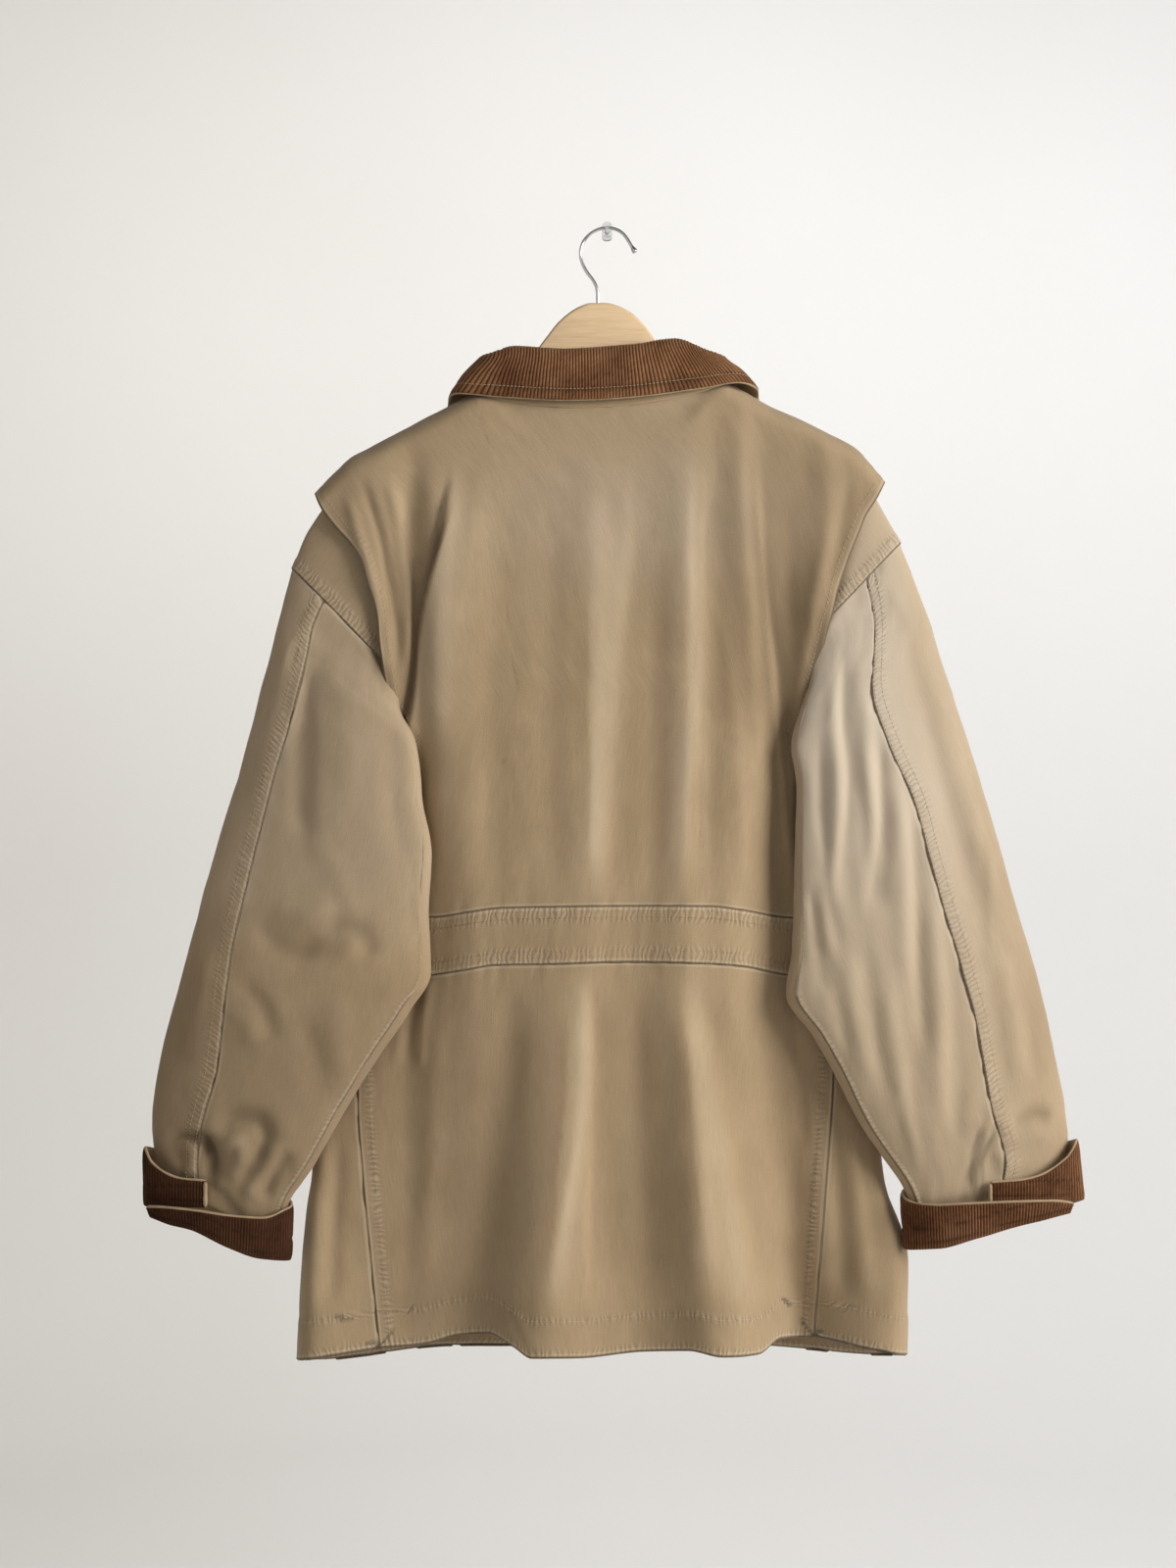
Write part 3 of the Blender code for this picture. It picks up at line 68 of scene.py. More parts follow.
# Large folds of the back: a crest or trough line, its height at both ends, and its two half widths.
BACK_FOLDS = (
    # x top, z top, x foot, z foot, height top, height foot, left width, right width
    (-14, -190, -18, -600, 1, 4, 46, 26), (74, -170, 66, -600, 2, 3.5, 24, 15),
    (112, -190, 126, -440, 3.5, 2, 18, 12), (-142, -250, -132, -470, 4, 3, 14, 34),
    (-160, -250, -151, -410, -7, -3.5, 12, 11), (-196, -235, -186, -400, 3, 2, 16, 14),
    (152, -310, 148, -540, -5, -6, 14, 12), (184, -210, 176, -400, 3.5, 1.5, 13, 12),
    (-36, -600, -50, -945, 3, 25, 48, 46), (-92, -640, -113, -945, -1, -18, 30, 26),
    (66, -600, 96, -945, 3, 21, 34, 40), (128, -620, 165, -945, -2, -22, 24, 26),
    (-232, -700, -236, -945, 0, 7, 30, 30), (226, -700, 232, -945, 1, 8, 26, 30),
)

# Depth of the front cloth, which hangs nearly flat before the wall.
FRONT_SECTIONS = (
    # z, depth
    (-120, 13), (-250, 11.5), (-400, 9.5), (-600, 8.5), (-940, 8.5),
)
FRONT_FOLDS = (
    # x top, z top, x foot, z foot, height top, height foot, left width, right width
    (-110, -430, -125, -945, 1, 5, 30, 34), (95, -430, 118, -945, 1, 5, 34, 28),
)

# The neck, as seen from behind: the seam, the crest of the collar's roll, and the edge of its fall.
COLLAR_SECTIONS = (
    # neck x, y, z, crest x, y, z, edge x, y, z
    (-5, -13, -207, -13, -9.5, -192, -36, -5.5, -258), (-40, -13, -200, -33, -10.5, -183, -84, -6, -238),
    (-72, -13.5, -183, -56, -11.5, -167, -110, -7, -203),
    (-93, -14.5, -162, -75, -13, -146, -122, -8.5, -172), (-104, -18, -140, -91, -18, -121, -129, -9, -147),
    (-106.5, -26, -135.5, -98, -26, -110, -128, -26, -138.5),
    (-97.7, -38.5, -139.7, -91, -36, -104.5, -118.5, -43, -135.5),
    (-69, -39.5, -146, -74, -38, -98.4, -84, -45.5, -138.3),
    (-23, -42, -149, -31.8, -40, -100.2, -32, -49.5, -141),
    (24, -42, -146.6, 20.4, -40, -97, 24, -49.5, -138.3),
    (70, -39.5, -138.8, 58, -38, -92.8, 78, -45.5, -131.4),
    (95.3, -38.5, -131.1, 84, -36, -103, 110, -42.5, -126.5),
    (103.5, -26, -128.5, 95, -26, -111, 126.5, -26, -133), (101, -18, -134, 88, -18, -117, 127, -9, -141.5),
    (90, -14.5, -158, 72, -13, -143, 119, -8.5, -168), (69, -13.5, -180, 54, -11.5, -165, 107, -7, -201),
    (35, -13, -199, 28, -10.5, -182, 78, -6, -236), (0, -13, -207, 7, -9.5, -192, 30, -5.5, -258),
)
NECK_LEFT_ROW = 5
NECK_RIGHT_ROW = 12
COLLAR_LAST_ROW = 17
STAND_GAP = 1.05
CORNER_GAP = 0.9
CORNER_ROWS = (4.5, 12.5)
CREST_HALF = 3.2
CREST_BEND = ((-1.0, 1.0), (-0.72, 0.3), (0.0, 0.0), (0.72, 0.3), (1.0, 1.0))
FALL_SPRING = 1.6

# The shoulder seams, from the neck to the tip of the cap.
LEFT_SHOULDER = (
    (-154.7, -161), (-178.1, -173.2), (-196.2, -183), (-209.3, -189.7), (-222.3, -201.5), (-240.4, -219.7),
)
RIGHT_SHOULDER = (
    (138.7, -148.3), (162, -158.7), (185.4, -170.4), (207.5, -182.1), (219.1, -194), (232.1, -210.6),
)
# The free edge of the cap that stands out over the sleeve, from its tip to the foot of the armhole.
LEFT_CAP_EDGE = (
    (-240.4, -219.7), (-235.3, -231.3), (-224.7, -245.7), (-209.3, -262.5), (-202.8, -271),
    (-196.2, -292.3), (-189.7, -315.8), (-187, -344.4), (-183.2, -370.3), (-178.3, -393.7), (-169.5, -411),
    (-162, -421.5),
)
RIGHT_CAP_EDGE = (
    (232.1, -210.6), (225.6, -223.6), (216.5, -237.9), (211.4, -250.8), (204.9, -266.4), (198.4, -284.6),
    (193.1, -300.2), (189.6, -315.8), (184, -336.6), (180.2, -354.7), (175, -378.1), (171.5, -395.8),
    (165, -411), (158.5, -421.5),
)
# The side seams, set on the back, and the outermost line of each side, from the armhole to the hem.
LEFT_SIDE = (
    # seam x, seam z, side x, side z
    (-162, -421.5, -162.6, -422), (-166, -440, -172, -441), (-176, -480, -190, -480),
    (-186, -530, -206, -530), (-193, -571, -217, -571), (-198, -619, -225, -619), (-203, -675, -232, -675),
    (-204.9, -723.1, -238, -723), (-200.5, -790, -243, -790), (-194, -860, -250.5, -862),
    (-187, -928.7, -254.6, -938.5),
)
RIGHT_SIDE = (
    # seam x, seam z, side x, side z
    (158.5, -421.5, 159.1, -422), (163, -440, 169, -441), (173, -480, 187, -480), (181, -530, 203, -530),
    (186, -571, 213, -571), (189, -619, 220, -619), (190.5, -675, 224, -675), (189, -723, 227, -723),
    (184, -790, 232, -790), (179, -860, 252, -860), (174.5, -919, 250, -934.6),
)
ARMHOLE_FOOT_Z = -421.5
WAIST_TOP_ROW = 4
WAIST_FOOT_ROW = 5
# The waistband's edges across the back, by share of the width from the left seam to the right seam.
WAIST_EDGES = (
    # share, top z, foot z
    (0, -571, -619), (0.13, -571.5, -619.5), (0.21, -567.4, -615.4), (0.28, -564, -611.2),
    (0.39, -563.1, -610.6), (0.56, -562.3, -608.5), (0.74, -562.6, -610.3), (0.81, -565.7, -612.4),
    (0.92, -572, -619.5), (1, -571, -619),
)
# The hem's lower edge across the back.
BACK_HEM = (
    # share, z
    (0, -928.7), (0.11, -925), (0.18, -918), (0.25, -916.5), (0.31, -928), (0.35, -937.5), (0.46, -937),
    (0.61, -931.5), (0.71, -931), (0.79, -936.5), (0.87, -934), (0.92, -921), (1, -919),
)

CENTRE_X = -3.0
OVERLAP = 24.0
FRONT_HEM_Z = -926.5
UNDERLAP = 2.2
# How far in the front starts behind the back at the armhole's foot, where they meet at a right angle.
FOOT_TUCK = (1.3, 1.0, 0.2)
SIDE_TURN = 9.0
SIDE_TURN_SHARE = 0.6
SIDE_RUN = 12.0
FOOT_TURN = 2.0
FOOT_DROP = 2.0
UNDER_FADE = (4.0, 40.0)
CENTRE_DROP_SHARE = 0.45
NECK_CORNER_DROP = 0.5
FOOT_BLEND = 0.93
RUN_POINTS = 15
TURN_POINTS = 25
FLAT_POINTS = 70

BACK_ROWS = (0.0, 0.003, 0.009, 0.02, 0.04, 0.08, 0.15, 0.23, 0.31, 0.4, 0.49, 0.57)

# The sleeves: each row is a ring from its outer edge to its inner edge. Seam is the place of the back
# seam as a share of the ring's width from its outer edge; bow moves the ring's middle up the sleeve.
LEFT_BAND = (
    # outer x, z, inner x, z, outer depth, inner depth, back bulge, front bulge, seam, bow
    (-227.5, -223, -164, -345, 26, 28, 11, 10.5, 0.3, 12),
    (-247, -253.5, -168, -362, 25.5, 29, 12, 10.5, 0.3, 5),
    (-258.6, -282, -171, -372, 25, 30, 13, 11, 0.29, 0),
)
LEFT_SLEEVE = (
    # outer x, z, inner x, z, outer depth, inner depth, back bulge, front bulge, seam, bow
    (-258.6, -282, -171, -372, 25, 30, 13, 11, 0.29, 0), (-265, -306, -171, -396, 25, 40, 15, 11, 0.245, 0),
    (-271.6, -331.4, -159, -421, 25, 44, 18, 11, 0.22, 0),
    (-274, -341, -156.5, -431, 25, 45.5, 19, 10, 0.215, 0),
    (-280, -364, -153.5, -453, 25, 46, 20, 10, 0.205, 0),
    (-288.4, -395.7, -151.5, -478, 25, 47, 21, 10, 0.195, 0),
    (-303.4, -454, -144.5, -519, 25, 48, 22, 10, 0.165, 0),
    (-320.5, -509, -146.5, -566, 25, 48, 23, 10, 0.17, 0),
    (-339.8, -578.7, -144.5, -616, 26, 48, 24, 10, 0.17, 0),
    (-351.4, -622.9, -163, -650, 27, 47, 24, 11, 0.2, 0),
    (-361.5, -660, -188, -687, 28, 46, 24, 12, 0.25, 0),
    (-370.9, -700.7, -217.7, -734.5, 29, 45, 24, 13, 0.3, 0),
    (-375.6, -737.1, -243, -779, 30, 43, 22, 14, 0.3, 0),
    (-374.5, -760, -261.2, -806, 32, 40, 16, 12, 0.32, 0),
    (-369, -790, -273, -838, 34, 39, 13.5, 11, 0.33, 0),
)
RIGHT_BAND = (
    # outer x, z, inner x, z, outer depth, inner depth, back bulge, front bulge, seam, bow
    (219.5, -214, 160, -318, 26, 28, 13, 10.5, 0.35, 10),
    (233, -239, 164, -331, 25.5, 29, 14, 10.5, 0.35, 5),
    (244.6, -261.2, 168, -342, 25, 30, 14.5, 11, 0.35, 0),
)
RIGHT_SLEEVE = (
    # outer x, z, inner x, z, outer depth, inner depth, back bulge, front bulge, seam, bow
    (244.6, -261.2, 168, -342, 25, 30, 14.5, 11, 0.36, 0),
    (255.5, -289.8, 171, -372, 25, 41, 15, 11, 0.38, 0),
    (268.5, -323.6, 163, -400, 25, 43.5, 17, 11, 0.43, 0), (276, -348, 157, -421, 25, 45, 19, 11, 0.455, 0),
    (279, -358, 156, -431, 25, 46, 19.5, 10, 0.455, 0),
    (294, -403.7, 160.5, -465.8, 25, 47, 21, 10, 0.43, 0),
    (310.2, -455, 159, -503.6, 25, 48, 22, 10, 0.36, 0),
    (326.5, -509, 157.6, -552.2, 25, 48, 23, 10, 0.335, 0),
    (339.9, -557.6, 156.5, -598, 26, 48, 24, 10, 0.31, 0),
    (353.4, -603.6, 151.5, -636, 26, 48, 24, 10, 0.285, 0),
    (364.2, -644, 172.5, -668.3, 27, 47, 24, 11, 0.3, 0),
    (372.3, -681.8, 191.4, -700.7, 28, 46, 24, 12, 0.325, 0),
    (380.4, -722.4, 214, -745, 29, 45, 24, 13, 0.355, 0), (384, -756, 248, -795, 31, 41, 17, 12, 0.38, 0),
    (377, -785, 260, -830, 34, 39, 13.5, 11, 0.42, 0),
)
UNDERARM_SHARE = 0.96
UNDER_CAP_FULL_Z = -405.0
UNDER_CAP_FOOT_Z = -430.0
EDGE_FULLNESS = 0.8

# The turned-back cuffs: strips that start with the flap on the back, run round the outer edge and over
# the wall side, and come round the inner edge to end in a pointed lower band. Turn 0 is the outer edge,
# 90 the wall side, 180 the inner edge. Out is how far each edge stands from the cuff's centre oval.
LEFT_CUFF = (
    # turn, top z, foot z, top out, foot out, y shift
    (-80, -791.5, -812.5, 0, 0, 0), (-55, -789, -812, 0, 0, 0), (-25, -777, -811.5, 0.5, 0.5, 0),
    (0, -763.8, -810.5, 1, 1, 0), (35, -766, -816, 1, 0.5, 0), (90, -782, -829, 2, 0.5, 0),
    (145, -801, -846, 2, 0.5, 0), (180, -811, -855, 2.5, 0.5, 0), (205, -815.5, -856.5, 2.5, 1, -1),
    (235, -822.5, -855, 4.5, 2, -2), (262, -820.5, -846, 6.5, 3, -3), (288, -816, -832, 8, 4, -3),
    (312, -813.5, -825.5, 9, 4.5, -3), (330, -813, -820, 9, 5.5, -3),
)
RIGHT_CUFF = (
    # turn, top z, foot z, top out, foot out, y shift
    (-90, -793, -808.5, 0, 0, 0), (-60, -789, -808, 0, 0, 0), (-28, -773, -807, 0.5, 0.5, 0),
    (0, -757.5, -806, 1, 6, 0), (35, -761, -811, 1, 4, 0), (90, -776, -823, 2, 1.5, 0),
    (145, -793, -838.5, 2, 0.5, 0), (180, -802, -845.5, 2.5, 0.5, 0), (205, -809, -847.5, 2.5, 1, -1),
    (235, -811.8, -846.5, 4.5, 2, -2), (262, -810.2, -838, 6.5, 3, -3), (288, -808.8, -828, 8, 4, -3),
    (312, -808.2, -821, 9, 4.5, -3), (330, -810, -816.5, 9, 5.5, -3),
)
CUFF_OVAL = (
    # centre x, centre y, half width, half depth
    (-321.5, -37.5, 59, 20), (320.5, -37.5, 70.5, 20),
)

# The wooden hanger: its upper and lower edges.
HANGER_EDGES = (
    # x, top z, foot z
    (-218, -211, -220), (-214, -202, -226), (-205, -192.1, -225), (-190, -182.6, -217),
    (-172, -173.1, -206), (-150, -161.6, -194), (-125, -149.6, -180), (-104, -139.6, -168),
    (-88, -130.5, -158), (-73, -117.5, -149), (-62, -107, -143), (-55.4, -98.6, -139), (-46.9, -87.4, -135),
    (-39.4, -78, -131.5), (-30.1, -69.6, -128), (-20.8, -64, -125.5), (-11.4, -61.2, -124),
    (0, -61, -123.5), (9, -62.8, -124), (16.5, -66, -125), (24.1, -70.6, -126.5), (33.5, -79.9, -130),
    (42.8, -92.7, -134), (50, -101.5, -137), (60, -111, -141), (78, -123.5, -149), (101, -133.8, -162),
    (122, -142.4, -173), (146, -154.1, -186), (168, -164.1, -198), (188, -174.4, -209), (201, -182.1, -217),
    (209, -190.6, -218), (213, -201, -212),
)
HANGER_HALF = 5.0

WIRE_PATH = (
    # x, z, radius
    (-5.7, -82.5, 1.4), (-5.7, -66, 1.4), (-5.7, -55, 1.4), (-6.2, -49.5, 1.4), (-9, -43, 1.4),
    (-13.8, -37, 1.4), (-17.9, -30, 1.4), (-20.2, -21.5, 1.4), (-19, -13, 1.4), (-14.4, -6, 1.4),
    (-7.4, -1, 1.4), (0.8, 1.2, 1.4), (8, 0.6, 1.4), (14.7, -2.9, 1.4), (19.5, -9, 1.4), (22.8, -15, 1.4),
    (23.6, -16.2, 2.1), (25.2, -18.4, 2.5), (26.6, -20.4, 1.9),
)

WALL_PLATE = (2.0, -2.0, 8.0, 16.0, 2.2)
WALL_PLATE_CORNER = 3.0
PRONG = (
    # y, foot z, top z, half width
    (-2.2, -7, -0.7, 3.2), (-10, -6.2, -0.7, 2.8), (-20, -5, -0.7, 2.2), (-28.6, -4.6, -0.7, 2),
    (-30.2, -3.8, 2.6, 2), (-31.6, -2.4, 3.2, 1.8),
)
PRONG_X = 2.2

BUTTON_Z = (-232.0, -372.0, -512.0, -652.0, -792.0)
BUTTON_RADIUS = 9.5
BUTTON_THICK = 2.6
BUTTON_CLEAR = 0.45

# Finer creases of the back: a line from one end to the other, how far it bows to its left, its height,
# and its widths on the left and right. They fade at both ends.
BACK_CREASES = (
    # x start, z start, x end, z end, bow, height, left width, right width
    (-112, -178, -152, -345, 4, -2.6, 13, 9), (-98, -185, -134, -380, 5, 2, 9, 24),
    (-203, -205, -166, -352, -6, -2.4, 7, 6), (-190, -205, -158, -345, -7, 1.8, 6, 6),
    (-170, -215, -150, -300, -4, -1, 7, 6), (-60, -180, -66, -470, 3, 1, 15, 12),
    (-40, -210, -46, -560, 2, -0.9, 13, 12), (-9, -330, -12, -600, 1, 1.6, 16, 9),
    (20, -200, 26, -500, -2, -0.8, 12, 14), (44, -190, 42, -560, 2, -1, 14, 10),
    (68, -210, 66, -585, 2, 1.6, 12, 7), (96, -200, 92, -560, -2, -1.2, 11, 9),
    (116, -180, 128, -430, -3, 1.4, 8, 6), (140, -240, 149, -430, -3, -1.6, 8, 8),
    (168, -215, 160, -330, -3, 1.4, 7, 8), (193, -200, 185, -300, -3, -1.3, 7, 8),
    (-110, -420, -128, -560, 4, 1.6, 14, 18), (-86, -430, -94, -560, 3, -1.2, 15, 14),
    (-26, -620, -48, -930, 3, 3, 20, 13), (6, -640, 6, -930, 0, -1.6, 17, 20),
    (62, -610, 84, -930, -2, 2.4, 10, 15), (40, -640, 46, -900, 0, -1.2, 16, 14),
    (100, -640, 138, -925, 2, -1.4, 10, 12), (-80, -625, -84, -740, 3, -1.2, 10, 9),
    (-110, -620, -124, -770, 5, -1.6, 11, 10), (-64, -640, -70, -760, 2, 1, 9, 9),
    (-150, -625, -172, -800, 4, 1.5, 14, 14), (140, -620, 160, -800, -3, 1.4, 12, 13),
)
# Creases of the sleeves as seen from behind, in the same columns.
LEFT_SLEEVE_CREASES = (
    (-252, -372, -250, -528, 3, -2.2, 9, 6), (-240, -380, -236, -540, 2, 1.6, 7, 14),
    (-222, -400, -190, -515, 7, 2, 13, 15), (-240, -505, -205, -575, 5, 2.2, 13, 12),
    (-176, -470, -160, -590, 6, -1.4, 10, 12), (-284, -582, -236, -603, -3, -3.2, 9, 15),
    (-236, -603, -216, -577, -4, -2.2, 8, 9), (-217, -576, -190, -606, 4, -2, 9, 10),
    (-258, -560, -226, -566, -3, 1.8, 11, 10), (-300, -630, -282, -668, 7, -2, 6, 8),
    (-288, -628, -272, -662, 7, 1.4, 6, 8), (-306, -660, -286, -692, 4, 1.2, 5, 8),
    (-262, -640, -238, -720, 6, -1.6, 11, 13), (-230, -640, -222, -700, 3, 1.2, 10, 10),
    (-343, -600, -352, -720, 3, -1.5, 9, 9), (-330, -590, -340, -730, 2, 1.2, 8, 8),
    (-318, -500, -330, -600, 2, -1, 7, 7), (-345, -742, -310, -772, 8, 2.2, 6, 9),
    (-338, -756, -318, -788, 6, -2.2, 5, 6), (-312, -748, -284, -790, 9, -2, 7, 8),
    (-352, -764, -342, -792, 3, -1.5, 4, 4), (-262, -730, -282, -800, -6, 1.3, 9, 9),
)
RIGHT_SLEEVE_CREASES = (
    (193, -395, 204, -560, -2, 2.2, 7, 6), (178, -420, 186, -520, -2, -1.3, 7, 7),
    (218, -400, 225, -512, -2, 1.8, 6, 6), (206, -420, 226, -566, -3, -2.2, 6, 6),
    (236, -500, 226, -566, 2, -1.8, 5, 5), (241, -455, 245, -628, -3, 2.2, 7, 8),
    (262, -545, 258, -640, 2, -1.7, 7, 7), (282, -595, 272, -705, 3, 2, 8, 7),
    (256, -612, 252, -730, 2, -1.8, 7, 7), (228, -560, 232, -690, -2, 1.6, 7, 8),
    (210, -570, 214, -680, -2, -1.5, 7, 7), (186, -560, 198, -650, -3, 1.5, 8, 8),
    (176, -560, 186, -620, -2, -1.5, 5, 6), (298, -655, 292, -745, 2, -1.4, 6, 7),
    (270, -690, 280, -790, -3, 1.6, 8, 8), (283, -452, 318, -600, 2, -1.7, 9, 7),
    (303, -440, 344, -610, -3, 1.9, 8, 8), (256, -340, 283, -440, 2, 1.2, 7, 7),
    (335, -640, 338, -705, 2, 1.6, 7, 7), (350, -640, 358, -715, 2, -1.4, 6, 6),
    (368, -728, 344, -746, -3, -2.2, 6, 8), (348, -745, 338, -775, 2, -1.6, 5, 6),
    (312, -738, 301, -792, 8, 3.2, 3, 9), (305, -742, 296, -796, 8, -2.4, 4, 4),
)
# Creases of the front and of the sleeves' wall side.
FRONT_CREASES = (
    (-150, -200, -130, -460, 5, 1.3, 14, 16), (-100, -230, -96, -560, 3, -1, 15, 15),
    (-60, -300, -66, -640, 3, 1.2, 12, 16), (-30, -500, -36, -900, 2, 1, 12, 10),
    (-90, -640, -110, -920, 4, 1.6, 16, 18), (-160, -560, -190, -900, 6, 1.5, 16, 16),
    (40, -260, 42, -600, -2, 0.9, 14, 14), (90, -230, 96, -560, 3, 1.1, 15, 15),
    (140, -200, 130, -450, -4, 1.2, 13, 14), (70, -600, 84, -920, 3, 1.4, 15, 18),
    (120, -640, 150, -920, 3, -1.2, 14, 16), (170, -600, 186, -900, -4, 1.4, 15, 15),
)
SLEEVE_FRONT_CREASES = (
    (250, -380, 262, -520, 4, 1.6, 10, 10), (215, -420, 222, -560, -3, -1.4, 9, 11),
    (300, -480, 318, -640, 4, 1.5, 10, 9), (240, -560, 262, -590, 4, -2.2, 10, 12),
    (275, -600, 286, -740, -3, 1.5, 10, 10), (330, -640, 336, -760, 2, -1.3, 8, 9),
    (205, -620, 232, -690, 5, -1.6, 9, 10),
)

WEAVE_STEP = 3.2
FRONT_STEP = 4.8
EDGE_STEPS = 3
CREASE_WANDER = 3.5
CRUMPLE = 0.35

STITCH_LENGTH = 2.5
STITCH_PITCH = 3.4
STITCH_RADIUS = 0.27
STITCH_LIFT = 0.12
STITCH_SINK = 0.35
STITCH_SIDES = 5

WALE = 2.5
WALE_HEIGHT = 0.75
WALE_POINTS = 5
HEM_DEPTH = 30.5

ANGLE_STEPS = 721
EDGE_CROWDING = 1.6
BEAD_SIDES = 8
BEAD_STEP = 1.3
HOOK_SIDES = 20
PLATE_SIDES = 48
PRONG_ROWS = 60
BUTTON_SIDES = 40
BUTTON_THREAD_ROWS = 9
BUTTON_THREAD_RADIUS = 0.42
ROW_FADE = 6.0
CLOSED_GAP = 26.0
RUN_APART = 300.0

CAMERA_PLACE = (-0.0162, -1.740, -0.4697)
CAMERA_LENS = 46.97
CAMERA_SENSOR = 36.0
FRONT_COUNT = 96
UNDER_COUNT = 40
UPPER_COUNT = 84
BAND_COUNT = 130
CUFF_ROWS = 14
COLLAR_SHARES = np.linspace(0.0, 1.0, 24)
RIM_RISE = 0.9
RIM_RADIUS = 1.15
CUFF_STITCHES = (("right", 5.0), ("right", 17.0))
COLLAR_STITCHES = (("right", 8.5),)

# Rows of stitches: a panel, the edge that they follow, how far in, and the shares of it where they start and
# end.
THREAD_ROWS = (
    ("back_stitches", (
        ("back_waistband_cloth", "top", 3.6, 0.0, 1.0),
        ("back_waistband_cloth", "top", 10.2, 0.0, 1.0),
        ("back_waistband_cloth", "foot", 3.6, 0.0, 1.0),
        ("back_waistband_cloth", "foot", 10.2, 0.0, 1.0),
        ("back_upper_cloth", "left", 7.8, 0.02, 0.61),
        ("back_upper_cloth", "right", 7.8, 0.02, 0.61),
        ("back_upper_cloth", "left", 9.5, 0.63, 1.0),
        ("back_upper_cloth", "right", 9.5, 0.63, 1.0),
        ("back_lower_cloth", "left", 9.5, 0.0, 1.0),
        ("back_lower_cloth", "right", 9.5, 0.0, 1.0),
        ("back_lower_cloth", "foot", 28.5, 0.0, 1.0),
    )),
    ("front_stitches", (
        ("front_left_cloth", "left", 7.8, 0.01, 0.3),
        ("front_right_cloth", "left", 7.8, 0.01, 0.3),
        ("front_left_cloth", "right", 3.0, 0.02, 1.0),
        ("front_left_cloth", "right", 26.0, 0.02, 1.0),
        ("front_right_cloth", "right", 3.0, 0.02, 1.0),
        ("front_left_cloth", "foot", 28.5, 0.0, 1.0),
        ("front_right_cloth", "foot", 28.5, 0.0, 1.0),
    )),
    ("left_sleeve_stitches", (
        ("sleeve_upper_left_cloth", "left", 2.2, 0.0, 1.0),
        ("sleeve_upper_left_cloth", "left", 9.4, 0.0, 1.0),
        ("sleeve_under_left_cloth", "right", 1.8, 0.44, 1.0),
        ("sleeve_band_left_cloth", "foot", 2.2, 0.0, 1.0),
        ("sleeve_band_left_cloth", "foot", 8.2, 0.0, 1.0),
    )),
    ("right_sleeve_stitches", (
        ("sleeve_upper_right_cloth", "left", 2.2, 0.0, 1.0),
        ("sleeve_upper_right_cloth", "left", 9.4, 0.0, 1.0),
        ("sleeve_under_right_cloth", "right", 1.8, 0.44, 1.0),
        ("sleeve_band_right_cloth", "foot", 2.2, 0.0, 1.0),
        ("sleeve_band_right_cloth", "foot", 8.2, 0.0, 1.0),
        ("collar_top_cloth", "right", 8.5, 0.0, 1.0),
    )),
)

# Linear colours.
TWILL_LIGHT = (0.50, 0.373, 0.232)
TWILL_MIDDLE = (0.41, 0.296, 0.175)
TWILL_DARK = (0.318, 0.223, 0.126)
THREAD_DARK = (0.36, 0.26, 0.15)
THREAD_PALE = (0.6, 0.46, 0.3)
# Painted shade in the corduroy's grooves.
CORD_GROOVE_SHADE = (0.02, 0.011, 0.006)
CORD_DARK = (0.16, 0.066, 0.028)
CORD_MIDDLE = (0.3, 0.142, 0.064)
CORD_PALE = (0.44, 0.24, 0.125)
# The backdrop's painted light: paler on its right side, darker on its left.
WALL_LIT_SIDE = (0.80, 0.795, 0.79)
WALL_SHADED_SIDE = (0.64, 0.622, 0.59)

STAGE_RADIUS = 3.9
STAGE_COVE = 1.2
STAGE_FLOOR = -1.9
STAGE_TOP = 2.6
KEY_PLACE = (2.45, -1.35, 0.25)
KEY_POWER = 88.0
FILL_PLACE = (-1.6, -2.6, 0.4)
FILL_POWER = 7.0
WASH_POWER = 72.0
WORLD_POWER = 0.12

